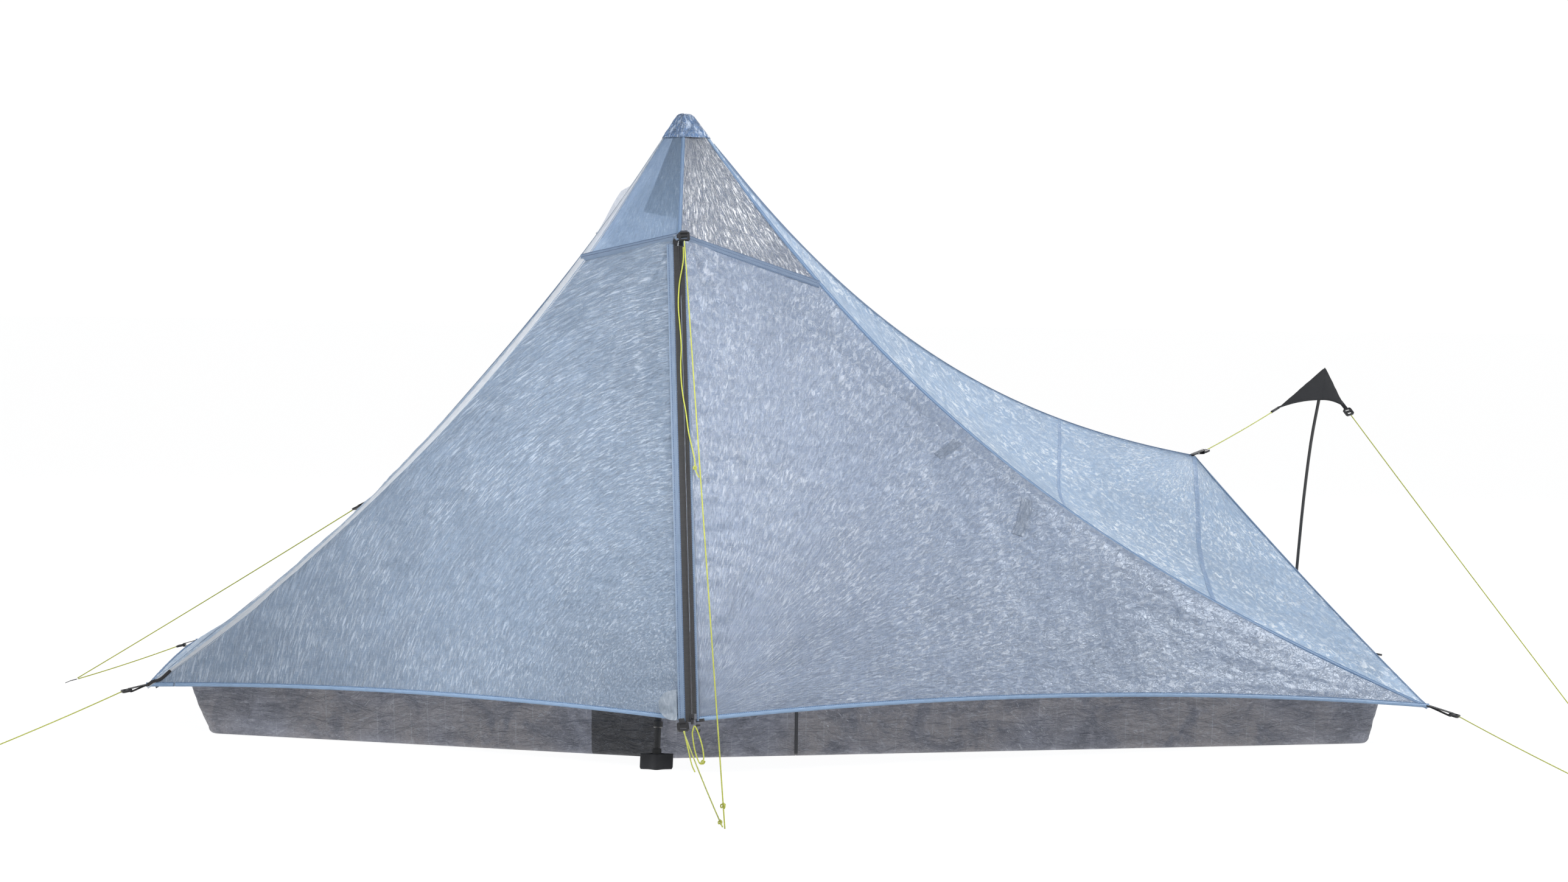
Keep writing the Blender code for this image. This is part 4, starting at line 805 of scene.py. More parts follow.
class Wardrobe:
    """Every finish of the tent."""

    # One laminate throughout: LEFT_CLOTH is painted darker and bluer as shaded, RIGHT_CLOTH paler and warmer as lit.
    LEFT_CLOTH = Laminate(
        "left_front_laminate", "door_cloth", (0.178, 0.240, 0.330), (0.46, 0.52, 0.61), (0.21, 0.28, 0.39)
    )
    RIGHT_CLOTH = Laminate(
        "right_front_laminate", "door_cloth", (0.210, 0.262, 0.362), (0.55, 0.59, 0.66), (0.28, 0.35, 0.47),
        crumple=1.0, roughness=0.30, highlight_and_whitening_share=0.55, grain=(250.0, 64.0),
    )
    # Painted light: the roof is coloured paler for the light shining through it from behind.
    ROOF_CLOTH = Laminate(
        "roof_laminate", "roof_cloth", (0.350, 0.485, 0.665), (0.88, 0.93, 0.98), (0.50, 0.66, 0.87), glow=0.36,
        crumple=1.5, highlight_and_whitening_share=0.85,
    )
    PEAK_LEFT_CLOTH = Laminate(
        "left_peak_laminate", "roof_cloth", (0.245, 0.375, 0.570), (0.58, 0.70, 0.84), (0.32, 0.48, 0.70), clear=0.50,
        crumple=0.8, highlight_and_whitening_share=0.4,
    )
    # Painted light: the right peak panel has a dark base with strong painted highlights.
    PEAK_RIGHT_CLOTH = Laminate(
        "right_peak_laminate", "roof_cloth", (0.165, 0.195, 0.26), (0.90, 0.90, 0.92), (0.22, 0.26, 0.34),
        crumple=2.0, roughness=0.28, highlight_and_whitening_share=1.0, dark=0.7, grain=(260.0, 56.0),
    )
    # Painted light: the rear is coloured paler for the light shining through it from behind.
    REAR_CLOTH = Laminate(
        "rear_laminate", "roof_cloth", (0.45, 0.52, 0.66), (0.78, 0.84, 0.92), (0.54, 0.64, 0.80), glow=0.45
    )
    TIP_CLOTH = Laminate(
        "tip_laminate", "roof_cloth", (0.065, 0.150, 0.320), (0.66, 0.75, 0.88), (0.10, 0.20, 0.38),
        glow=0.08, clear=0.02, crumple=3.0, roughness=0.26, highlight_and_whitening_share=1.0, dark=1.0, grain=(120.0, 70.0),
    )
    HOOD_CLOTH = Laminate(
        "hood_laminate", "roof_cloth", (0.62, 0.66, 0.74), (0.88, 0.90, 0.94), (0.76, 0.80, 0.88), glow=0.45, clear=0.25
    )
    SEAM = Taped("seam_tape", "roof_cloth", (0.20, 0.31, 0.48), (0.05, 0.11, 0.25), (0.0026,), 0.10)
    EDGE = Taped("edge_tape", "roof_cloth", (0.21, 0.33, 0.52), (0.05, 0.11, 0.25), (0.0040,), 0.06)
    HEM = Taped("hem_tape", "door_cloth", (0.29, 0.42, 0.61), (0.06, 0.13, 0.28), (0.0070,))
    JOIN = Laminate(
        "roof_join_laminate", "roof_cloth", (0.270, 0.395, 0.580), (0.74, 0.80, 0.88), (0.39, 0.55, 0.78), glow=0.34,
        crumple=1.0, highlight_and_whitening_share=0.5,
    )
    BINDING = Taped("door_binding", "door_cloth", (0.170, 0.245, 0.360), (0.03, 0.07, 0.17), (0.0009, 0.0090))
    YOKE = Taped("yoke_tape", "roof_cloth", (0.185, 0.255, 0.370), (0.08, 0.13, 0.24), (0.0030, 0.0095), 0.06)
    YOKE_LEFT = Taped("left_yoke_tape", "roof_cloth", (0.180, 0.250, 0.360), (0.02, 0.04, 0.11), (0.0026,), 0.10)
    # Pale tape as painted light: the roof facet seen edge-on along the left ridge, with a dark stitched line.
    RIDGE_LIT = Taped("ridge_lit_strip", "roof_cloth", (0.60, 0.63, 0.67), (0.18, 0.28, 0.44), (0.0128, 0.0134), 0.12)
    PATCH = Laminate(
        "door_patch_laminate", "door_cloth", (0.185, 0.225, 0.275), (0.34, 0.39, 0.45), (0.17, 0.21, 0.27),
        glow=0.12, clear=0.0, crumple=0.5, highlight_and_whitening_share=0.3,
    )
    # Dark laminate laid on the right door as the painted shadow of the tie-backs behind it.
    TIE_SHADOW = Laminate(
        "tie_shadow_laminate", "door_cloth", (0.150, 0.190, 0.262), (0.38, 0.42, 0.49), (0.14, 0.18, 0.25),
        glow=0.14, clear=0.03, crumple=0.8, highlight_and_whitening_share=0.4,
    )
    RIB = Taped("vent_rib_cover", "roof_cloth", (0.60, 0.64, 0.72), (0.34, 0.38, 0.48))
    SEAM_DARK = Webbing("tub_seam_web", "floor_cloth", (0.050, 0.051, 0.056), 0.0016)
    TUB = FloorCloth("tub_laminate", "floor_cloth", (0.262, 0.269, 0.318), (0.46, 0.47, 0.52))
    # Near-black tub laminate for a stretch of the left wall, which is darker there.
    TUB_DARK = FloorCloth("tub_dark_span", "floor_cloth", (0.066, 0.067, 0.073), (0.14, 0.145, 0.16), 0.02)
    NET = Mesh("insect_net", "netting", (0.030, 0.033, 0.036), 0.72)
    VENT = Mesh("vent_net", "netting", (0.012, 0.013, 0.017), 0.06)
    WEB = Webbing("black_webbing", "webbing", (0.016, 0.016, 0.018))
    NYLON = Moulded("black_nylon", "black_nylon", (0.014, 0.014, 0.016), 0.36)
    RUBBER = Moulded("foot_rubber", "foot_rubber", (0.022, 0.022, 0.022), 0.78, 900.0, depth=0.0002)
    ALLOY = Moulded("black_enamel", "slider_metal", (0.05, 0.05, 0.055), 0.30, 2200.0, 0.85)
    POLE = Carbon("pole_lacquer", "pole_tube", (0.014, 0.014, 0.015))
    LIFT = Carbon("lift_pole_lacquer", "lift_tube", (0.012, 0.012, 0.013), 0.0018)
    CORD = Braid("lime_cord", "cord", (0.43, 0.46, 0.050), (0.62, 0.64, 0.20))
    ZIP = ZipWeave("zip_tape", "zip_tape", (0.010, 0.010, 0.011), (0.040, 0.040, 0.043))
    COIL = Moulded("zip_coil", "zip_tape", (0.055, 0.055, 0.06), 0.42, 1800.0)


def dress(obj: Piece, finish: Finish) -> Piece:
    """Give an object one finish.

    Args:
        obj: The object.
        finish: Its finish.

    Returns:
        The object.
    """
    obj.data.materials.clear()
    obj.data.materials.append(finish.material())
    return obj


# Mesh building


@dataclass
class Patch:
    """A grid of cloth points with their places on the flat cut."""

    points: np.ndarray
    flat: np.ndarray
    slot: int = 0
    flow: np.ndarray | None = None
    open_rows: tuple[int, int] = (0, 0)
    open_columns: tuple[int, int] = (0, 0)

    def normals(self, heart: Point = HEART) -> np.ndarray:
        """Return each point's normal, pointing away from the heart.

        Args:
            heart: A point on the inner side.

        Returns:
            One unit vector a point.
        """
        down = np.gradient(self.points, axis=0)
        over = np.gradient(self.points, axis=1)
        normal = np.cross(over, down)
        normal /= np.maximum(np.linalg.norm(normal, axis=-1, keepdims=True), 1e-12)
        middle = self.points[self.points.shape[0] // 2, self.points.shape[1] // 2]
        facing = normal[self.points.shape[0] // 2, self.points.shape[1] // 2]
        return normal if np.dot(facing, middle - heart) > 0 else -normal

    def push(self, depth: np.ndarray, heart: Point = HEART) -> None:
        """Move the points out along their normals."""
        self.points = self.points + self.normals(heart) * depth[..., None]

    def quads(self) -> np.ndarray:
        """Return the corner indices of the faces that aren't left open.

        Returns:
            Four indices a face.
        """
        rows, columns = self.points.shape[:2]
        quads = corners_of(np.arange(rows * columns).reshape(rows, columns))
        keep = np.ones(quads.shape[:2], dtype=bool)
        keep[slice(*self.open_rows), slice(*self.open_columns)] = False
        return quads[keep]


def flat_cut(points: np.ndarray) -> np.ndarray:
    """Return the points' places on their mean plane, X along the last row.

    Args:
        points: The patch's points.

    Returns:
        Two numbers a point.
    """
    along = unit(points[-1, -1] - points[-1, 0])
    middle = points.mean(axis=(0, 1))
    spread = (points - middle).reshape(-1, 3)
    normal = np.linalg.svd(spread.T @ spread)[0][:, 2]
    up = unit(np.cross(normal, along))
    return np.stack([(points - middle) @ along, (points - middle) @ up], axis=-1)


def ripple(points: np.ndarray, grain: Sequence[float], seed: float) -> np.ndarray:
    """Return smooth noise from -1 to 1.

    Args:
        points: Where it is read.
        grain: Features per metre along each axis.
        seed: Picks one of many such noises.

    Returns:
        One value a point.
    """
    places = (points * np.asarray(grain) + seed * 7.31).reshape(-1, 3).tolist()
    values = [noise.noise(place) for place in places]
    return np.array(values).reshape(points.shape[:-1])


def ease(value: np.ndarray, low: float, high: float) -> np.ndarray:
    """Return a smooth step from 0 at low to 1 at high."""
    share = np.clip((value - low) / (high - low), 0.0, 1.0)
    return share * share * (3.0 - 2.0 * share)


def border(rows: np.ndarray, columns: np.ndarray, reach: float = 0.05) -> np.ndarray:
    """Return 0 on a patch's edges and 1 inside.

    Args:
        rows: Parameters down.
        columns: Parameters across.
        reach: The slope's width.

    Returns:
        One weight a point.
    """
    down = ease(np.minimum(rows, 1.0 - rows), 0.0, reach)
    over = ease(np.minimum(columns, 1.0 - columns), 0.0, reach)
    return down[:, None] * over[None, :]


def cells(rows: np.ndarray, columns: np.ndarray) -> np.ndarray:
    """Return the grid of all pairs of a value down and a value across."""
    return np.stack(np.broadcast_arrays(rows[:, None], columns[None, :]), axis=-1)


def run_of(line: np.ndarray) -> np.ndarray:
    """Return the distance along a line at each of its points."""
    return np.concatenate([[0.0], np.cumsum(np.linalg.norm(np.diff(line, axis=0), axis=1))])


def corners_of(grid: np.ndarray) -> np.ndarray:
    """Return the four corners of each cell of a grid, in order."""
    return np.stack([grid[:-1, :-1], grid[:-1, 1:], grid[1:, 1:], grid[1:, :-1]], axis=2)


def polar(points: np.ndarray, centre: Point, towards: Point) -> tuple[np.ndarray, np.ndarray]:
    """Return each point's angle and distance round a centre, in the cloth's plane.

    Args:
        points: The cloth's points.
        centre: The centre.
        towards: Where the angle is 0.

    Returns:
        Angles and distances.
    """
    along = unit(towards - centre)
    spread = (points - points.mean(axis=(0, 1))).reshape(-1, 3)
    normal = np.linalg.svd(spread.T @ spread)[0][:, 2]
    over = unit(np.cross(normal, along))
    offset = points - centre
    return np.arctan2(offset @ over, offset @ along), np.linalg.norm(offset, axis=-1)


def flow_from(points: np.ndarray, centre: Point, towards: Point, radial: bool = True, turn: float = 0.45) -> np.ndarray:
    """Return places across and along folds that run out from or round a centre.

    Args:
        points: The cloth's points.
        centre: The centre.
        towards: Where the angle is 0.
        radial: Whether the folds run outwards.
        turn: Metres for one radian.

    Returns:
        Two numbers a point.
    """
    angle, distance = polar(points, centre, towards)
    pair = (angle * turn, distance) if radial else (distance, angle * turn)
    return np.stack(pair, axis=-1)


def fan(
    points: np.ndarray, centre: Point, towards: Point, count: float, depth: float, reach: float, seed: float
) -> np.ndarray:
    """Return folds that run out from a loaded point.

    Args:
        points: The cloth's points.
        centre: Where the load acts.
        towards: A point inside the cloth.
        count: Folds a radian.
        depth: Their height.
        reach: How far they run.
        seed: Makes them uneven.

    Returns:
        The depth at each point.
    """
    angle, distance = polar(points, centre, towards)
    wander = ripple(np.stack([angle * 3.0, distance * 4.0, angle * 0.0 + seed], axis=-1), (1.0, 1.0, 1.0), seed)
    folds = np.sin(angle * count * 2.0 + 2.2 * wander) + 0.5 * np.sin(angle * count * 4.7 + 3.1 * wander + seed)
    return depth * folds * np.exp(-distance / reach) * (1.0 - np.exp(-distance / 0.03))


def on_patch(patch: Patch, rows: np.ndarray, columns: np.ndarray, u: np.ndarray, v: np.ndarray) -> np.ndarray:
    """Return points on a patch as it lies, folds and all.

    Args:
        patch: The patch.
        rows: Its parameters down.
        columns: Its parameters across.
        u: Wanted parameters down.
        v: Wanted parameters across.

    Returns:
        One point for each pair.
    """
    row, column = np.interp(u, rows, np.arange(len(rows))), np.interp(v, columns, np.arange(len(columns)))
    i, j = np.minimum(row.astype(int), len(rows) - 2), np.minimum(column.astype(int), len(columns) - 2)
    down, over = (row - i)[:, None], (column - j)[:, None]
    upper = patch.points[i, j] * (1 - over) + patch.points[i, j + 1] * over
    lower = patch.points[i + 1, j] * (1 - over) + patch.points[i + 1, j + 1] * over
    return upper * (1 - down) + lower * down


def stops(marks: Sequence[float], length: float, pitch: float) -> np.ndarray:
    """Return parameters through all the marks, about a pitch apart.

    Args:
        marks: Parameters that have to be there, in order.
        length: The edge's length in metres.
        pitch: The wanted step in metres.

    Returns:
        Rising parameters.
    """
    values = [marks[0]]
    for low, high in zip(marks, marks[1:]):
        steps = max(1, round((high - low) * length / pitch))
        values += [low + (high - low) * step / steps for step in range(1, steps + 1)]
    return np.array(values)


def sew(name: str, patches: Sequence[Patch], finishes: Sequence[Finish], heart: Point = HEART) -> Piece:
    """Weld patches along their shared edges into one sheet.

    Args:
        name: The piece's name.
        patches: Its patches.
        finishes: One finish for each slot number.
        heart: A point on the inner side.

    Returns:
        The sheet's object.
    """
    points, flats, flows, faces, slots, offset = [], [], [], [], [], 0
    for patch in patches:
        quads = patch.quads()
        grid = patch.points.reshape(-1, 3)
        corners = grid[quads]
        normal = np.cross(corners[:, 2] - corners[:, 0], corners[:, 3] - corners[:, 1])
        if np.sum(normal * (corners.mean(axis=1) - heart)) < 0:
            quads = quads[:, ::-1]
        points.append(grid)
        flats.append(patch.flat.reshape(-1, 2))
        flows.append((patch.flat if patch.flow is None else patch.flow).reshape(-1, 2))
        faces.append(quads + offset)
        slots.append(np.full(len(quads), patch.slot))
        offset += len(grid)
    quads = np.concatenate(faces)
    mesh = bpy.data.meshes.new(name)
    mesh.from_pydata(np.concatenate(points).tolist(), [], quads.tolist())
    for layer, values in (("cut", flats), ("flow", flows)):
        corners = np.concatenate(values)[quads].reshape(-1).astype(np.float32)
        mesh.uv_layers.new(name=layer).data.foreach_set("uv", corners)
    for finish in finishes:
        mesh.materials.append(finish.material())
    mesh.polygons.foreach_set("material_index", np.concatenate(slots).astype(np.int32))
    bm = bmesh.new()
    bm.from_mesh(mesh)
    bmesh.ops.remove_doubles(bm, verts=bm.verts, dist=0.0002)
    bmesh.ops.dissolve_degenerate(bm, edges=bm.edges, dist=0.00002)
    bm.to_mesh(mesh)
    bm.free()
    mesh.shade_smooth()
    obj = placed(name, mesh)
    return obj


def placed(name: str, mesh: bpy.types.Mesh) -> Piece:
    """Return a new object in the scene that shows a mesh.

    Args:
        name: Its name.
        mesh: The mesh.

    Returns:
        The object.
    """
    obj = bpy.data.objects.new(name, mesh)
    bpy.context.scene.collection.objects.link(obj)
    return obj


def capped(name: str, grid: np.ndarray, cut: np.ndarray, ends: np.ndarray, finish: Finish) -> Piece:
    """Close rings of points into a tube with both ends filled.

    Args:
        name: The piece's name.
        grid: The points, one row a ring.
        cut: Their places on the flat cut, with the first column again at the end.
        ends: The places of the first ring, backwards, and of the last.
        finish: Its finish.

    Returns:
        The object.
    """
    rings, sides = grid.shape[:2]
    index = np.arange(rings * sides).reshape(rings, sides)
    quads = corners_of(np.concatenate([index, index[:, :1]], axis=1)).reshape(-1, 4)
    mesh = bpy.data.meshes.new(name)
    faces = quads.tolist() + [index[0].tolist()[::-1], index[-1].tolist()]
    mesh.from_pydata(grid.reshape(-1, 3).tolist(), [], faces)
    corners = np.concatenate([corners_of(cut).reshape(-1, 2), ends])
    mesh.uv_layers.new(name="cut").data.foreach_set("uv", corners.reshape(-1).astype(np.float32))
    mesh.shade_smooth()
    return dress(placed(name, mesh), finish)


def tangents(line: np.ndarray) -> np.ndarray:
    """Return a line's unit tangents."""
    return unit(np.gradient(line, axis=0))


def facing(line: np.ndarray, inner: Point) -> tuple[np.ndarray, np.ndarray]:
    """Return the directions from a line across the cloth and out of it.

    Args:
        line: Points on an edge or seam.
        inner: A point inside the cloth.

    Returns:
        Two unit vectors for each point.
    """
    along = tangents(line)
    towards = inner - line
    towards = unit(towards - along * np.sum(towards * along, axis=1, keepdims=True))
    out = np.cross(along, towards)
    return towards, np.where(np.sum(out * (line - HEART), axis=1, keepdims=True) > 0, out, -out)


def lifted(line: np.ndarray, sides: np.ndarray, outs: np.ndarray, across: np.ndarray, lifts: np.ndarray) -> np.ndarray:
    """Return a profile swept along a line.

    Args:
        line: The line's points.
        sides: The direction across, one for all points or one each.
        outs: The direction out, likewise.
        across: The profile's places across.
        lifts: The profile's heights.

    Returns:
        One row of points a station.
    """
    sides, outs = np.atleast_2d(sides), np.atleast_2d(outs)
    return line[:, None] + sides[:, None] * across[None, :, None] + outs[:, None] * lifts[None, :, None]


def ribbon(name: str, grid: np.ndarray, run: np.ndarray, across: np.ndarray, finish: Finish) -> Piece:
    """Sew one grid of points into a strip of tape.

    Args:
        name: The strip's name.
        grid: Its points.
        run: Places along the strip, one a row.
        across: Places across it, one a column.
        finish: Its finish.

    Returns:
        The strip, not yet riding on a body.
    """
    return sew(name, [Patch(grid, cells(run, across))], [finish])


def strap(
    name: str, route: Sequence[Point], across: Point, width: float, thick: float = WEB_THICK, body: Body = Body.CANOPY,
    finish: Finish = Wardrobe.WEB,
) -> Piece:
    """Hang a flat woven strap on a body.

    Args:
        name: The strap's name.
        route: Points along its middle.
        across: Roughly the direction of its width.
        width: Its width.
        thick: Its thickness.
        body: The body that it rides on.
        finish: Its finish.

    Returns:
        The strap.
    """
    line = smooth_route(route, 4)
    along = tangents(line)
    sides = unit(across - along * (along @ across)[:, None])
    half, rim = width / 2.0, thick / 2.0
    soft, bevel = 0.35 * rim, 0.0004
    aside = np.array([-half, -half + bevel, 0.0, half - bevel, half])
    lift = np.array([-soft, -rim, -rim, -rim, -soft])
    aside, lift = np.concatenate([aside, aside[::-1]]), np.concatenate([lift, -lift[::-1]])
    cut = cells(run_of(line), np.concatenate([aside, aside[:1]]))
    ends = np.concatenate([cut[0, -2::-1], cut[-1, :-1]])
    obj = capped(name, lifted(line, sides, np.cross(along, sides), aside, lift), cut, ends, finish)
    shell = bmesh.new()
    shell.from_mesh(obj.data)
    bmesh.ops.recalc_face_normals(shell, faces=shell.faces)
    shell.to_mesh(obj.data)
    shell.free()
    return ride(obj, body)


def smooth_route(route: Sequence[Point], steps: int) -> np.ndarray:
    """Return points on a smooth curve through a route's points.

    Args:
        route: The points.
        steps: Points added for each.

    Returns:
        The points of the curve.
    """
    points = np.asarray(route, dtype=float)
    ends = np.concatenate([[2 * points[0] - points[1]], points, [2 * points[-1] - points[-2]]])
    path = []
    for index in range(1, len(ends) - 2):
        p0, p1, p2, p3 = ends[index - 1 : index + 3]
        for step in range(steps):
            t = step / steps
            path.append(
                0.5 * (2 * p1 + (p2 - p0) * t + (2 * p0 - 5 * p1 + 4 * p2 - p3) * t * t
                       + (3 * p1 - p0 - 3 * p2 + p3) * t**3)
            )
    path.append(points[-1])
    return np.array(path)


def tube(name: str, line: np.ndarray, radius: float, finish: Finish, sides: int = 10) -> Piece:
    """Return a round tube along a line, with frames that don't twist.

    Args:
        name: The tube's name.
        line: Points along its middle.
        radius: Its radius.
        finish: Its finish.
        sides: Corners a ring.

    Returns:
        The tube, not yet riding on a body.
    """
    along = tangents(line)
    side = unit(np.cross(along[0], UP if abs(along[0][2]) < 0.9 else at(1.0, 0.0, 0.0)))
    frames = []
    for step in along:
        side = unit(side - step * np.dot(side, step))
        frames.append(side)
    first = np.array(frames)
    turns = TURN * np.arange(sides) / sides
    second = np.cross(along, first)
    ring = first[:, None] * np.cos(turns)[None, :, None] + second[:, None] * np.sin(turns)[None, :, None]
    around = np.concatenate([turns, [TURN]]) / TURN
    cut = cells(run_of(line), around)
    return capped(name, line[:, None] + ring * radius, cut, np.zeros((2 * sides, 2)), finish)


def length_of(line: np.ndarray) -> float:
    """Return a line's length."""
    return float(np.linalg.norm(np.diff(line, axis=0), axis=1).sum())


def ride(obj: Piece, body: Body = Body.CANOPY, *nodes: str) -> Piece:
    """Hang a piece on a body and report it.

    Args:
        obj: The piece.
        body: The body.
        nodes: The solids that it is shown instead of.

    Returns:
        The piece.
    """
    if nodes:
        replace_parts(obj, *nodes)
    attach(obj, body.value)
    LOG.info("%s rides on %s", obj.name, body.value)
    return obj


# Studio


@dataclass(frozen=True)
class Studio:
    """Floor, lights and the camera at the photograph's angle."""

    azimuth: float = -1.25
    elevation: float = 2.562
    roll: float = 0.682
    distance: float = 5.668
    target: tuple[float, float, float] = (-0.0175, 0.0, 0.582)
    focal: float = 4800.0
    image_width: float = 2576.0
    sensor: float = 36.0

    def camera(self) -> None:
        """Stand the camera where the photograph was taken."""
        turn, tilt, roll = (math.radians(angle) for angle in (self.azimuth, self.elevation, self.roll))
        ahead = Vector((-math.sin(turn) * math.cos(tilt), math.cos(turn) * math.cos(tilt), -math.sin(tilt)))
        right = Vector((math.cos(turn), math.sin(turn), 0.0))
        up = right.cross(ahead)
        right_rolled = right * math.cos(roll) + up * math.sin(roll)
        up_rolled = up * math.cos(roll) - right * math.sin(roll)
        data = bpy.data.cameras.new("camera")
        data.lens = self.sensor * self.focal / self.image_width
        data.sensor_width = self.sensor
        data.clip_start, data.clip_end = 0.05, 400.0
        camera = bpy.data.objects.new("camera", data)
        basis = Matrix((right_rolled, up_rolled, -ahead)).transposed()
        where = Vector(self.target) - ahead * self.distance
        camera.matrix_world = Matrix.Translation(where) @ basis.to_4x4()
        bpy.context.scene.collection.objects.link(camera)
        bpy.context.scene.camera = camera

    def softbox(
        self, name: str, place: Point, aim: Point, size: float, power: float, colour: Colour, spread: float = 180.0
    ) -> None:
        """Hang one soft light.

        Args:
            name: The light's name.
            place: Where it hangs.
            aim: What it points at.
            size: Its side in metres.
            power: Its power in watts.
            colour: Its colour.
            spread: How wide it shines, in degrees.
        """
        data = bpy.data.lights.new(name, "AREA")
        data.shape = "SQUARE"
        data.size = size
        data.energy = power
        data.color = colour
        light = bpy.data.objects.new(name, data)
        light.location = Vector(place)
        light.rotation_mode = "QUATERNION"
        light.rotation_quaternion = Vector(place - aim).to_track_quat("Z", "Y")
        light.visible_camera = False
        data.spread = math.radians(spread)
        bpy.context.scene.collection.objects.link(light)

    def world(self) -> None:
        """White surroundings, dimmer as a light than as a backdrop."""
        world = bpy.data.worlds.new("white_room")
        bpy.context.scene.world = world
        world.use_nodes = True
        nodes, links = world.node_tree.nodes, world.node_tree.links
        nodes.clear()
        seen = nodes.new("ShaderNodeBackground")
        seen.inputs[0].default_value, seen.inputs[1].default_value = (1.0, 1.0, 1.0, 1.0), 1.01
        light = nodes.new("ShaderNodeBackground")
        light.inputs[0].default_value, light.inputs[1].default_value = (0.95, 0.97, 1.0, 1.0), 0.34
        path, mix, out = (
            nodes.new(kind) for kind in ("ShaderNodeLightPath", "ShaderNodeMixShader", "ShaderNodeOutputWorld")
        )
        links.new(path.outputs["Is Camera Ray"], mix.inputs[0])
        links.new(light.outputs[0], mix.inputs[1])
        links.new(seen.outputs[0], mix.inputs[2])
        links.new(mix.outputs[0], out.inputs["Surface"])

    def floor(self) -> None:
        """Lay the pale floor."""
        mesh = bpy.data.meshes.new("studio_floor")
        reach, low = 160.0, -0.0012
        corners = [(x * reach, y * reach, low) for x, y in ((-1, -1), (1, -1), (1, 1), (-1, 1))]
        mesh.from_pydata(corners, [], [(0, 1, 2, 3)])
        floor = placed("studio_floor", mesh)
        graph = Graph("pale_floor")
        matt = graph.surface(Base_Color=(0.10, 0.10, 0.10), Roughness=0.9, Specular_IOR_Level=0.1)
        glow = graph.node("ShaderNodeEmission", {"Color": (1.0, 1.0, 1.0), "Strength": 0.95}).outputs[0]
        mesh.materials.append(graph.done(graph.node("ShaderNodeAddShader", {0: matt, 1: glow}).outputs[0]))

    def build(self) -> None:
        """Set up the whole studio."""
        bpy.context.scene.view_settings.view_transform = "Standard"
        self.camera()
        self.world()
        self.floor()
        cool, plain = (0.94, 0.97, 1.0), (1.0, 0.99, 0.97)
        self.softbox("key_right", at(0.55, -2.2, 2.0), at(-0.24, -0.45, 0.64), 0.5, 1.45, (1.0, 0.91, 0.84), 46.0)
        self.softbox("key_left", at(-1.35, -2.2, 1.9), at(-0.52, -0.28, 0.48), 0.5, 3.4, cool, 40.0)
        self.softbox("side", at(4.6, -1.6, 3.0), at(0.9, -0.1, 0.3), 0.9, 178.0, (0.90, 0.95, 1.0))
        self.softbox("fill", at(-4.4, -2.5, 3.3), at(-0.4, -0.2, 0.4), 1.2, 70.0, cool)
        self.softbox("top", at(0.5, -3.1, 3.9), at(0.1, -0.2, 0.4), 0.8, 62.0, plain)
        self.softbox("back", at(0.6, 4.2, 4.4), at(0.0, 0.2, 0.4), 3.0, 280.0, plain)


# Cords


TOP_LOCK_ALONG = unit(at(0.060, -0.580, -0.810))
TOP_LOCK_AT = ZIP_TOP + at(0.0090, -0.0300, -0.0045)
FRONT_STAKE = at(-0.1270, -1.0200, 0.0060)
LEFT_STAKE = at(-1.5080, -0.3150, 0.0040)
RIGHT_STAKE = at(1.4280, -0.5300, 0.0040)
LIFT_STAKE = at(1.6710, 0.3900, 0.0040)
REAR_STAKE = at(-1.5660, 0.7290, 0.0032)
CAP_PEAK = at(1.2173, 0.8850, 0.7223)
CAP_LEFT = at(1.1020, 0.8420, 0.6280)
CAP_RIGHT = at(1.2620, 0.8740, 0.6320)
CAP_FRONT = at(1.2050, 0.8660, 0.6480)
CAP_BACK = at(1.2100, 0.9140, 0.6520)
LIFT_LOCK_ALONG = unit(LIFT_STAKE - CAP_RIGHT)
LIFT_LOCK_AT = CAP_RIGHT + LIFT_LOCK_ALONG * (LOCK_LENGTH / 2.0 + 0.0040)
DOOR_LOCK_AT = at(-0.2010, -0.5600, 0.1030)
DOOR_LOCK_ALONG = unit(at(0.12, -0.75, -0.65))

FITTINGS = {
    "front_left": (FRONT_LEFT, at(-1.2795, -0.0330, 0.0880)),
    "front_right": (FRONT_RIGHT, at(1.2900, -0.0460, 0.0650)),
    "rear_left": (REAR_LEFT, at(-1.3280, 0.8010, 0.0790)),
    "guy_left": (GUY_LEFT, at(-0.9120, 0.5650, 0.4050)),
    "guy_right": (GUY_RIGHT, at(0.8960, 0.5760, 0.5445)),
}


def lock_mouth(key: str, towards: Point) -> Point:
    """Return the point where a cord to a far point leaves a fitting's lock.

    Args:
        key: The lock's name.
        towards: Where its cord goes.

    Returns:
        The point.
    """
    tip, lock_at = FITTINGS[key]
    along = unit(lock_at - tip)
    ahead = unit(towards - lock_at)
    tilt = math.sqrt(max(0.0, 1.0 - float(np.dot(ahead, along)) ** 2))
    return lock_at + along * (LOCK_LENGTH / 2.0 + 0.0003 + tilt * CORD / 2.0)


def taut(start: Point, end: Point, count: int, sag: float = 0.002) -> np.ndarray:
    """Return a taut line's points."""
    return hanging(start, end, sag)(np.linspace(0.0, 1.0, count))


def loop_path(start: Point, end: Point, count: int) -> np.ndarray:
    """Return a taut line that ends in an open loop lying round its stake.

    Args:
        start: Its first point.
        end: The stake.
        count: Points on the line before the loop.

    Returns:
        Its points.
    """
    radius = 0.011
    along = unit(end - start)
    level = unit(at(along[0], along[1], 0.0))
    side = at(-level[1], level[0], 0.0)
    line = taut(start, end - level * radius, count)
    turns = math.pi + np.radians(312.0) * np.arange(1, 13) / 12.0
    ring = end + level * (radius * np.cos(turns))[:, None] - side * (radius * np.sin(turns))[:, None]
    return np.concatenate([line, ring])


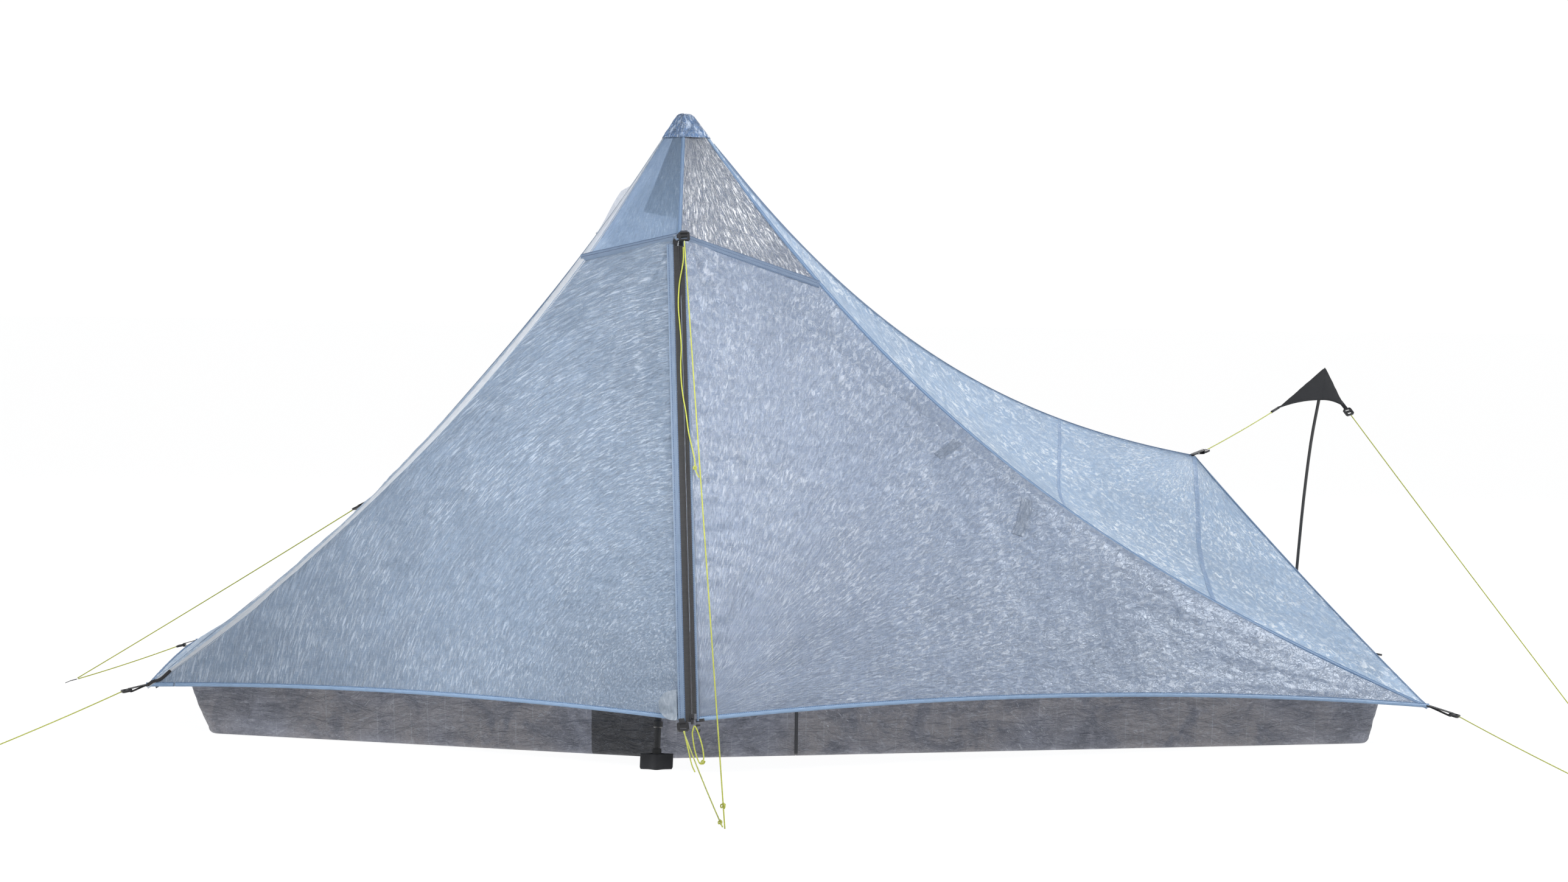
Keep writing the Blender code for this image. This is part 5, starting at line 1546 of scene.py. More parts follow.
@dataclass
class Knot:
    """An overhand knot in a cord."""

    name: str
    centre: Point
    along: Point
    size: float = 0.0031

    def build(self, body: Body) -> Piece:
        """Tie the knot and hang it on a body.

        Args:
            body: The body it rides on.

        Returns:
            The knot.
        """
        turns = np.linspace(0.0, TURN, 54)
        wide = (np.sin(turns) + 1.35 * np.sin(2.0 * turns)) * 0.46
        tall = (np.cos(turns) - 1.35 * np.cos(2.0 * turns)) * 0.46
        shape = np.stack([0.62 * np.sin(3.0 * turns), wide, tall], axis=-1)
        side = unit(np.cross(self.along, at(0.31, -0.72, 0.62)))
        other = np.cross(self.along, side)
        basis = np.stack([self.along * 1.5, side, other])
        line = self.centre + shape @ basis * self.size
        return ride(tube(self.name, line, CORD * 0.46, Wardrobe.CORD, 8), body)


@dataclass
class CordRun:
    """One free cord: its route, where it starts and what it ends in."""

    name: str
    line: np.ndarray
    end: End
    lay: Lay
    body: Body = Body.CANOPY
    knots: Sequence[Knot] = field(default_factory=list)
    replaces: bool = True

    def build(self) -> Piece:
        """Returns:
            The cord.
        """
        steps = max(2, round(0.9 * length_of(self.line) / len(self.line) / 0.006))
        line = smooth_route(self.line, min(steps, 8))
        obj = tube(self.name + "_braid", line, CORD / 2.0, Wardrobe.CORD)
        tied = [knot.build(self.body) for knot in self.knots]
        ride(obj, self.body, *([self.name] if self.replaces else []))
        length_of(line)
        return obj


@dataclass
class Rigging:
    """All cords of the tent."""

    tail_stations: tuple[tuple[float, float], ...] = (
        (0.027, 0.0064), (0.056, 0.0054), (0.094, -0.0018), (0.124, -0.0048), (0.151, -0.0053), (0.189, -0.0031),
        (0.222, -0.0021), (0.254, -0.0039), (0.286, -0.0037), (0.318, -0.0009), (0.347, 0.0033), (0.384, 0.0071),
        (0.410, 0.0119), (0.436, 0.0167), (0.456, 0.0180), (0.470, 0.0239),
    )
    hook_route: tuple[tuple[float, float, float], ...] = (
        (-0.1812, -0.5592, 0.1052), (-0.1833, -0.5612, 0.0980), (-0.1842, -0.5630, 0.0900),
        (-0.1800, -0.5680, 0.0640), (-0.1725, -0.5700, 0.0430), (-0.1670, -0.5710, 0.0400),
        (-0.1640, -0.5700, 0.0500), (-0.1668, -0.5670, 0.0700), (-0.1720, -0.5645, 0.0870),
        (-0.1765, -0.5645, 0.0990), (-0.1800, -0.5622, 0.1050),
    )

    door_tail_route: tuple[tuple[float, float, float], ...] = (
        (-0.1985, -0.5708, 0.0975), (-0.1962, -0.5722, 0.0850), (-0.1925, -0.5728, 0.0705),
        (-0.1886, -0.5732, 0.0535), (-0.1840, -0.5736, 0.0365), (-0.1789, -0.5738, 0.0255),
    )

    def front(self) -> list[CordRun]:
        """Return the front cord, its tail, the door cord, its tail and the hook's loop.

        Returns:
            The cords.
        """
        start = TOP_LOCK_AT + TOP_LOCK_ALONG * (LOCK_LENGTH / 2.0 + 0.0008)
        main = taut(start, FRONT_STAKE, 30)
        tail = smooth_route([zip_point(along, side, 0.0062) for along, side in self.tail_stations], 4)
        foot = FRONT_STAKE + at(-0.0040, 0.0060, 0.0020)
        tilt = math.sqrt(1.0 - float(np.dot(unit(foot - DOOR_LOCK_AT), DOOR_LOCK_ALONG)) ** 2)
        door_start = DOOR_LOCK_AT + DOOR_LOCK_ALONG * (LOCK_LENGTH / 2.0 + 0.0003 + tilt * CORD / 2.0)
        door = taut(door_start, foot, 22, 0.004)
        loop, short = smooth_route(self.hook_route, 5), smooth_route(self.door_tail_route, 5)
        ahead = unit(FRONT_STAKE - start)
        tail_knot = Knot("tail_knot", tail[-6], unit(tail[-5] - tail[-7]))
        loop_knot = Knot("loop_knot", loop[27], unit(loop[28] - loop[26]))
        return [
            CordRun("front_cord", main, End.KNOT, Lay.TAUT, knots=[Knot("front_knot", main[-2], ahead, 0.0040)]),
            CordRun("door_cord", door, End.KNOT, Lay.TAUT, knots=[Knot("door_knot", door[-2], ahead)]),
            CordRun("door_tail", short, End.BARE, Lay.HANGING, replaces=False),
            CordRun("front_tail", tail, End.KNOT, Lay.HANGING, Body.RIGHT_DOOR, [tail_knot]),
            CordRun("hook_loop", loop, End.OBJECT, Lay.HANGING, Body.RIGHT_DOOR, [loop_knot]),
        ]

    def looped(self, name: str, start: Point, stake: Point, count: int = 18) -> CordRun:
        """Return a cord with a loop round its stake and a knot before the loop.

        Args:
            name: The cord's side.
            start: Where it leaves its lock.
            stake: Where it ends.
            count: Points on its straight part.

        Returns:
            The cord.
        """
        line = loop_path(start, stake, count)
        tied = Knot(name.split("_")[-1] + "_knot", line[count - 1], unit(line[count - 2] - line[count - 4]))
        return CordRun(name + "_cord", line, End.KNOT, Lay.TAUT, knots=[tied])

    def corners(self) -> list[CordRun]:
        """Return the cords of the corners and guy-outs.

        Returns:
            The cords.
        """
        tab = REAR_STAKE + at(0.0265, 0.0, 0.0085)
        rear = taut(lock_mouth("rear_left", tab), tab + at(0.0, 0.003, 0.0), 18)
        guy = taut(lock_mouth("guy_left", tab), tab + at(0.0, -0.003, 0.0025), 26)
        start = lock_mouth("guy_right", CAP_LEFT)
        cap = taut(start, CAP_LEFT + unit(start - CAP_LEFT) * 0.0035, 20)
        tied = (("rear_left_cord", rear), ("guy_left_cord", guy), ("guy_right_cord", cap))
        return [
            self.looped("front_left", lock_mouth("front_left", LEFT_STAKE), LEFT_STAKE),
            self.looped("front_right", lock_mouth("front_right", RIGHT_STAKE), RIGHT_STAKE),
            *(CordRun(name, line, End.OBJECT, Lay.TAUT) for name, line in tied),
            self.looped("lift", LIFT_LOCK_AT + LIFT_LOCK_ALONG * (LOCK_LENGTH / 2.0 + 0.0008), LIFT_STAKE, 26),
        ]

    def build(self) -> None:
        """Lay every cord."""
        for run in self.front() + self.corners():
            run.build()


# Surfaces between edge curves


SEAM_AT = 0.17


def warped(curve: Curve, at_seam: float) -> Curve:
    """Return a ridge whose parameter SEAM_AT falls on the peak seam.

    Args:
        curve: The ridge.
        at_seam: The seam's place on it, from 0 to 1.

    Returns:
        The new curve.
    """

    def ridge(s: np.ndarray) -> np.ndarray:
        """Return the points at places along it.

        Args:
            s: Places from 0 to 1.

        Returns:
            Their points.
        """
        share = np.asarray(s, dtype=float)
        upper = share * (at_seam / SEAM_AT)
        lower = at_seam + (share - SEAM_AT) * ((1.0 - at_seam) / (1.0 - SEAM_AT))
        return curve(np.where(share <= SEAM_AT, upper, lower))

    return ridge


LEFT_RIDGE = warped(RIDGE_FRONT_LEFT, SEAM_LEFT_AT)
RIGHT_RIDGE = warped(RIDGE_FRONT_RIGHT, SEAM_RIGHT_AT)
REAR_EDGES = (
    still(PEAK),
    HEM_REAR,
    joined(RIDGE_GUY_LEFT, REAR_EDGE_LEFT, REAR_SPLIT),
    joined(RIDGE_GUY_RIGHT, REAR_EDGE_RIGHT, REAR_SPLIT),
)
REAR_DENT = 0.030


def spot(edges: Edges, u: np.ndarray, v: np.ndarray) -> np.ndarray:
    """Return points of a Coons patch, one for each pair of parameters.

    Args:
        edges: Its four edges: top, foot, left and right.
        u: Places down, from 0 to 1.
        v: Places across, from 0 to 1.

    Returns:
        One point a pair.
    """
    top, bottom, left, right = edges
    u, v = np.broadcast_arrays(np.asarray(u, dtype=float), np.asarray(v, dtype=float))
    down, over = u[..., None], v[..., None]
    across = top(v) * (1 - down) + bottom(v) * down
    along = left(u) * (1 - over) + right(u) * over
    upper = top(0.0) * (1 - over) + top(1.0) * over
    lower = bottom(0.0) * (1 - over) + bottom(1.0) * over
    return across + along - (upper * (1 - down) + lower * down)


def mean_normal(edges: Edges, heart: Point = HEART) -> Point:
    """Return a patch's mean normal, pointing away from the heart.

    Args:
        edges: Its four edges.
        heart: A point on the inner side.

    Returns:
        A unit vector.
    """
    across = spot(edges, 0.5, 1.0) - spot(edges, 0.5, 0.0)
    down = spot(edges, 1.0, 0.5) - spot(edges, 0.0, 0.5)
    normal = unit(np.cross(across, down))
    return normal if np.dot(normal, spot(edges, 0.5, 0.5) - heart) > 0 else -normal


def panel(
    edges: Edges, rows: np.ndarray, columns: np.ndarray, dent: float = 0.0, slot: int = 0, heart: Point = HEART
) -> Patch:
    """Return a patch between four edges, its middle drawn inwards by the dent.

    Args:
        edges: Its four edges.
        rows: Parameters down.
        columns: Parameters across.
        dent: How far its middle sinks.
        slot: Its finish's number.
        heart: A point on the inner side.

    Returns:
        The patch.
    """
    points = spot(edges, rows[:, None], columns[None, :])
    depth = dent * np.sin(np.pi * rows)[:, None] * np.sin(np.pi * columns)[None, :]
    points = points - mean_normal(edges, heart) * depth[..., None]
    return Patch(points, flat_cut(points), slot)


def rear_point(u: np.ndarray, v: np.ndarray) -> np.ndarray:
    """Return points of the back panel."""
    depth = REAR_DENT * np.sin(np.pi * np.asarray(u)) * np.sin(np.pi * np.asarray(v))
    return spot(REAR_EDGES, u, v) - mean_normal(REAR_EDGES) * depth[..., None]


# Canopy


@dataclass
class Canopy:
    """The fixed canopy: one welded sheet, its seams, edges and tip."""

    pitch: float = 0.0155
    cells: int = 56
    tape: float = 0.0042
    lift: float = 0.0009
    crumple: float = 0.0016
    border: float = 0.0150
    seam: float = 0.0036
    tip_ease: float = 0.0050
    tip_crumple: float = 0.0009
    roof_joins: tuple[tuple[str, tuple[float, ...], float], ...] = (
        ("roof_join_corner", (1.0, 0.899, 0.815, 0.750, 0.698), 0.0056),
        ("roof_join_middle", (0.712, 0.643, 0.584, 0.5355, 0.495), 0.0040),
    )

    def rows(self) -> np.ndarray:
        """Return the rows that all panels below the peak share."""
        return stops((ROW_START, VENT_TOP_AT, SEAM_AT, VENT_LOW_AT, 1.0), 1.62, self.pitch)

    def wrinkle(self, patch: Patch, u: np.ndarray, v: np.ndarray, seed: float, amount: float = 1.0) -> None:
        """Crumple a patch softly, its seams staying where they are.

        Args:
            patch: The patch.
            u: Its parameters down.
            v: Its parameters across.
            seed: Picks the noise.
            amount: The crumples' strength.
        """
        points = patch.points
        wide = ripple(points, (6.0, 6.0, 6.0), seed)
        fine = ripple(points, (17.0, 17.0, 17.0), seed + 3.0)
        crisp = np.abs(ripple(points, (34.0, 34.0, 34.0), seed + 5.0))
        depth = self.crumple * amount * (1.3 * wide + 0.8 * fine + 0.5 * crisp)
        patch.push(depth * border(u, v, 0.06))

    def peaks(self, rows: np.ndarray) -> list[Patch]:
        """Return the two panels above the zipper, folded by the pull at its top.

        Args:
            rows: The rows they share with the strips.

        Returns:
            The left and the right panel.
        """
        upper = rows[rows <= SEAM_AT + 1e-9] / SEAM_AT
        over = np.linspace(0.0, 1.0, 45)
        upper = np.sort(np.concatenate([upper, (upper[1:] + upper[:-1]) / 2.0]))
        left = panel(
            (still(PEAK), straight(SEAM_LEFT, ZIP_TOP), stretch(LEFT_RIDGE, 0.0, SEAM_AT), straight(PEAK, ZIP_TOP)),
            upper, over, slot=1,
        )
        right = panel(
            (still(PEAK), straight(ZIP_TOP, SEAM_RIGHT), straight(PEAK, ZIP_TOP), stretch(RIGHT_RIDGE, 0.0, SEAM_AT)),
            upper, over, slot=2,
        )
        for patch, corner, seed, amount in ((left, SEAM_LEFT, 1.0, 0.8), (right, SEAM_RIGHT, 2.0, 2.2)):
            self.wrinkle(patch, upper, over, seed, amount)
            inside = border(upper, over, 0.08)
            folds = fan(patch.points, PEAK, (ZIP_TOP + corner) / 2.0, 5.0, 0.0011 * amount, 0.30, seed)
            folds += fan(patch.points, ZIP_TOP, (PEAK + corner) / 2.0, 4.0, 0.0008 * amount, 0.14, seed + 1.0)
            patch.flow = flow_from(patch.points, PEAK, (ZIP_TOP + corner) / 2.0, turn=0.30)
            patch.push(folds * inside)
        return [left, right]

    def patches(self) -> list[Patch]:
        """Return all panels of the sheet.

        Returns:
            The panels, those of the peak first.
        """
        rows, ends = self.rows(), np.linspace(0.0, 1.0, self.cells + 1)
        low = REAR_SPLIT + (1.0 - REAR_SPLIT) * ends[1:]
        back_rows = np.concatenate([rows * REAR_SPLIT, low])
        back_columns = stops((0.0, 1.0 / 6.0, 1.0 / 3.0, 1.0), 1.9, self.pitch)
        roof_left = panel(
            (still(PEAK), lambda v: EDGE_LEFT(1.0 - np.asarray(v)), LEFT_RIDGE, RIDGE_GUY_LEFT), rows, ends, 0.012
        )
        roof_right = panel((still(PEAK), EDGE_RIGHT, RIDGE_GUY_RIGHT, RIGHT_RIDGE), rows, ends, 0.010)
        end_left = panel((still(GUY_LEFT), HEM_END_LEFT, EDGE_LEFT, REAR_EDGE_LEFT), ends, ends, 0.006)
        end_right = panel((still(GUY_RIGHT), HEM_END_RIGHT, EDGE_RIGHT, REAR_EDGE_RIGHT), ends, ends, 0.006)
        back = panel(REAR_EDGES, back_rows, back_columns, REAR_DENT, slot=3)
        top, foot = (int(np.argmin(np.abs(rows - mark))) for mark in (VENT_TOP_AT, VENT_LOW_AT))
        left, right = (int(np.argmin(np.abs(back_columns - mark))) for mark in (1.0 / 6.0, 1.0 / 3.0))
        back.open_rows, back.open_columns = (top, foot), (left, right)
        sides = (
            (roof_left, rows, ends, 11.0, GUY_LEFT, FRONT_LEFT), (roof_right, rows, ends, 12.0, GUY_RIGHT, FRONT_RIGHT),
            (end_left, ends, ends, 13.0, GUY_LEFT, FRONT_LEFT), (end_right, ends, ends, 14.0, GUY_RIGHT, FRONT_RIGHT),
            (back, back_rows, back_columns, 15.0, PEAK, REAR_LEFT),
        )
        for patch, u, v, seed, centre, corner in sides:
            self.wrinkle(patch, u, v, seed, 1.4)
            patch.flow = flow_from(patch.points, centre, patch.points[-1, len(v) // 2], turn=0.17)
            middle = patch.points.mean(axis=(0, 1))
            folds = fan(patch.points, PEAK, middle, 6.0, 0.0016, 0.35, seed)
            folds += fan(patch.points, centre, middle, 9.0, 0.0026, 0.26, seed + 1.0)
            folds += fan(patch.points, corner, middle, 12.0, 0.0028, 0.30, seed + 2.0)
            patch.push(folds * border(u, v))
        return self.peaks(rows) + [roof_left, roof_right, end_left, end_right, back]

    def cover(
        self, name: str, curve: Curve, inner: tuple[Point, Point], span: tuple[float, float], width: float
    ) -> Piece:
        """Return the tape over a seam between two facets.

        Args:
            name: The tape's name.
            curve: The seam.
            inner: A point inside each facet.
            span: First and last parameter.
            width: Half its width.

        Returns:
            The tape.
        """
        share = np.linspace(*span, 150)
        line = curve(share)
        wide = (width * (0.35 + 0.65 * ease(share, 0.02, 0.09)))[:, None]
        sides = [facing(line, point) for point in inner]
        ridge = unit(sides[0][1] + sides[1][1])
        places, halves = (1.0, 0.55, 0.16), []
        for towards, out in sides:
            lifts = (out * 0.6, out, out * 0.7 + ridge * 0.5)
            halves.append([line + towards * wide * place + lift * self.lift for place, lift in zip(places, lifts)])
        across = float(wide.max()) * np.array([-1.0, -0.55, -0.16, 0.16, 0.55, 1.0])
        return self.lay(name, np.stack(halves[0] + halves[1][::-1], axis=1), across, Wardrobe.SEAM)

    def ridge_lit_strip(self, name: str, curve: Curve, inner: Point, span: tuple[float, float]) -> Piece:
        """Return the pale strip along the front ridge, painted light where the roof facet is seen edge-on.

        Args:
            name: The border's name.
            curve: The ridge.
            inner: A point inside the facet that it lies on.
            span: First and last parameter.

        Returns:
            The border.
        """
        share = np.linspace(*span, 170)
        line = curve(share)
        towards, out = facing(line, inner)
        wide = self.border * ease(share, 0.0, 0.20) * (1.0 - 0.55 * ease(share, 0.75, 1.0))
        across = np.array([-0.06, 0.0, 0.25, 0.55, 0.84, 0.90, 1.0])
        lifts = np.array([0.0004, 0.0016, 0.0024, 0.0026, 0.0026, 0.0020, 0.0014])
        grid = lifted(line, towards * wide[:, None], out, across, lifts)
        return self.lay(name, grid, across * self.border, Wardrobe.RIDGE_LIT)

    def lay(self, name: str, grid: np.ndarray, across: np.ndarray, finish: Finish) -> Piece:
        """Return a tape on the canopy from its grid of points."""
        return ride(ribbon(name, grid, run_of(grid[:, 0]), across, finish))

    def joins(self, roof: Patch, rows: np.ndarray, columns: np.ndarray) -> list[Piece]:
        """Return the tapes over the two joins of the right roof facet.

        Args:
            roof: The facet with its folds.
            rows: Its parameters down from the peak.
            columns: Its parameters across, from the guy-out ridge to the front ridge.

        Returns:
            The tapes.
        """
        across, places, pieces = np.linspace(0.005, 0.995, 70), np.array([-1.0, -0.3, 0.3, 1.0]), []
        small = 0.01
        for name, marks, half in self.roof_joins:
            down = np.polyval(np.polyfit(np.linspace(0.0, 1.0, len(marks)), marks, 2), across)
            low, high = (on_patch(roof, rows, columns, down - back, across) for back in (0.0, small))
            share = half * small / np.linalg.norm(high - low, axis=-1)
            lines = [on_patch(roof, rows, columns, down + place * share, across) for place in places]
            grid = np.stack(lines, axis=1)
            along = tangents(grid[:, 1])[:, None]
            out = unit(np.cross(along, grid[:, 3:] - grid[:, :1]))
            out = np.where(np.sum(out * (grid - HEART), axis=-1, keepdims=True) > 0, out, -out)
            grid = grid + out * np.array([0.0009, 0.0013, 0.0013, 0.0009])[None, :, None]
            pieces.append(self.lay(name, grid, places * half, Wardrobe.JOIN))
        return pieces

    def tapes(self) -> list[Piece]:
        """Return the tapes over the ridges and edges, and the hems.

        Returns:
            The tapes.
        """
        back = rear_point(0.5, 0.5)
        roof_left, roof_right = (PEAK + GUY_LEFT + FRONT_LEFT) / 3.0, (PEAK + GUY_RIGHT + FRONT_RIGHT) / 3.0
        front_left, front_right = (PEAK + ZIP_FOOT + FRONT_LEFT) / 3.0, (PEAK + ZIP_FOOT + FRONT_RIGHT) / 3.0
        end_left = (GUY_LEFT + FRONT_LEFT + REAR_LEFT) / 3.0
        end_right = (GUY_RIGHT + FRONT_RIGHT + REAR_RIGHT) / 3.0
        tape, wide = self.tape, self.tape * 1.5
        covers = (
            ("ridge_tape_front_right", RIDGE_FRONT_RIGHT, (front_right, roof_right), (0.03, 0.998), tape),
            ("ridge_tape_guy_left", RIDGE_GUY_LEFT, (roof_left, back), (0.05, 0.998), tape),
            ("ridge_tape_guy_right", RIDGE_GUY_RIGHT, (roof_right, back), (0.05, 0.998), tape),
            ("edge_tape_left", EDGE_LEFT, (roof_left, end_left), (0.004, 0.998), wide),
            ("edge_tape_right", EDGE_RIGHT, (roof_right, end_right), (0.004, 0.998), wide),
            ("edge_tape_rear_left", REAR_EDGE_LEFT, (end_left, back), (0.004, 0.998), tape),
            ("edge_tape_rear_right", REAR_EDGE_RIGHT, (end_right, back), (0.004, 0.998), tape),
            ("seam_above_zip", straight(PEAK, ZIP_TOP), (SEAM_LEFT, SEAM_RIGHT), (0.18, 0.985), self.seam),
        )
        hems = (
            ("hem_end_left", HEM_END_LEFT, GUY_LEFT), ("hem_end_right", HEM_END_RIGHT, GUY_RIGHT),
            ("hem_rear", HEM_REAR, (GUY_LEFT + GUY_RIGHT) / 2.0),
        )
        pieces = [self.ridge_lit_strip("ridge_lit_strip_left", RIDGE_FRONT_LEFT, front_left, (0.03, 0.998))]
        pieces += [self.cover(*row) for row in covers]
        return pieces + [ride(hem_strip(*row, Wardrobe.EDGE)) for row in hems]

    def yoke(self) -> list[Piece]:
        """Return the doubled bands where the doors hang from the peak panels.

        Returns:
            The two bands.
        """
        pieces = []
        bands = (("yoke_left", SEAM_LEFT, 5.0, Wardrobe.YOKE_LEFT), ("yoke_right", SEAM_RIGHT, 6.0, Wardrobe.YOKE))
        for name, corner, seed, finish in bands:
            line = straight(ZIP_TOP, corner)(np.linspace(0.0, 1.0, 90))
            along = unit(corner - ZIP_TOP)
            towards = unit(ZIP_LINE - along * np.dot(ZIP_LINE, along))
            out = np.cross(along, towards)
            out = out if out[1] < 0 else -out
            across = np.array([-0.0036, -0.0020, 0.0000, 0.0040, 0.0090, 0.0112])
            lifts = np.array([0.0016, 0.0024, 0.0028, 0.0028, 0.0026, 0.0020])
            grid = lifted(line, towards, out, across, lifts)
            grid = grid + out * (0.0005 * ripple(grid, (70.0, 70.0, 70.0), seed))[..., None]
            pieces.append(self.lay(name, grid, across, finish))
        return pieces

    def tip(self) -> Piece:
        """Return the rounded, crinkled reinforcement over the tip.

        Returns:
            The cap.
        """
        ridges = (
            RIDGE_FRONT_LEFT, straight(PEAK, ZIP_TOP), RIDGE_FRONT_RIGHT, RIDGE_GUY_RIGHT,
            lambda s: rear_point(s, 0.5), RIDGE_GUY_LEFT,
        )
        shares = np.linspace(0.0, 0.9, 2000)
        crown = ((0.0192, 0.02), (0.0192, 0.25), (0.0195, 0.50), (0.0200, 0.70), (0.0207, 0.83), (0.0220, 0.93))
        skirt = (0.0240, 0.0275, 0.0315, 0.0355, 0.0395, 0.0435, 0.0475, 0.0515, 0.0555, 0.0598, 0.0640)
        heights = [ridge(shares)[:, 2] for ridge in ridges]
        rings = []
        for drop, scale in (*crown, *((drop, 1.0) for drop in skirt)):
            corners = np.array(
                [ridge(shares[int(np.argmax(high <= PEAK[2] - drop))]) for ridge, high in zip(ridges, heights)]
            )
            turns = np.linspace(0.0, 6.0, 121)
            index = np.minimum(turns.astype(int), 5)
            share = (turns - index)[:, None]
            ring = corners[index] * (1 - share) + corners[(index + 1) % 6] * share
            middle = at(PEAK[0], PEAK[1], PEAK[2] - drop)
            rings.append(middle + (ring - middle) * scale)
        grid = np.array(rings) + at(0.0, -0.0012, self.tip_ease)
        centre = at(PEAK[0], PEAK[1], PEAK[2] - 0.045)
        outward = unit((grid - centre) * at(1.0, 1.0, 0.3))
        crumple = 0.0011 * ripple(grid, (75.0, 75.0, 60.0), 21.0) + 0.0007 * ripple(grid, (170.0, 170.0, 120.0), 22.0)
        grid = grid + outward * np.minimum(crumple, self.tip_crumple)[..., None]
        flat = cells(np.linspace(0.0, 0.06, len(grid)), np.linspace(0.0, 0.26, grid.shape[1]))[..., ::-1]
        piece = sew("tip_reinforcement", [Patch(grid, flat)], [Wardrobe.TIP_CLOTH], centre)
        return ride(piece, Body.CANOPY, "peak_cone")

    def build(self) -> None:
        """Build the canopy and hang it on its body."""
        finishes = [Wardrobe.ROOF_CLOTH, Wardrobe.PEAK_LEFT_CLOTH, Wardrobe.PEAK_RIGHT_CLOTH, Wardrobe.REAR_CLOTH]
        patches = self.patches()
        sheet = sew("canopy_sheet", patches, finishes)
        ride(
            sheet, Body.CANOPY, "peak_panel_left", "peak_panel_right", "roof_panel_left", "roof_panel_right",
            "end_wall_left", "end_wall_right", "rear_panel",
        )
        joins = self.joins(patches[3], self.rows(), np.linspace(0.0, 1.0, self.cells + 1))
        sewn = self.tapes() + self.yoke() + joins + [self.tip()]


def hem_strip(
    name: str, curve: Curve, inner: Point, finish: Finish, span: tuple[float, float] = (0.0, 1.0)
) -> Piece:
    """Return a folded hem along an edge.

    Args:
        name: The hem's name.
        curve: The edge.
        inner: A point of the cloth above it.
        finish: Its finish.
        span: First and last parameter.

    Returns:
        The hem, not yet riding on a body.
    """
    line = curve(np.linspace(*span, max(24, round(160 * (span[1] - span[0])))))
    towards, out = facing(line, inner)
    across = np.array([0.0, 0.0, 0.35, 0.70, 1.0, 0.98, 0.5, 0.0]) * HEM_WIDTH
    lifts = np.array([-0.0006, 0.0014, 0.0021, 0.0021, 0.0016, 0.0002, -0.0010, -0.0006])
    grid = lifted(line, towards, out, across, lifts)
    grid = grid + out[:, None] * (0.0004 * ripple(grid, (60.0, 60.0, 60.0), 31.0))[..., None]
    return ribbon(name, grid, run_of(line), across, finish)


# Front sheets


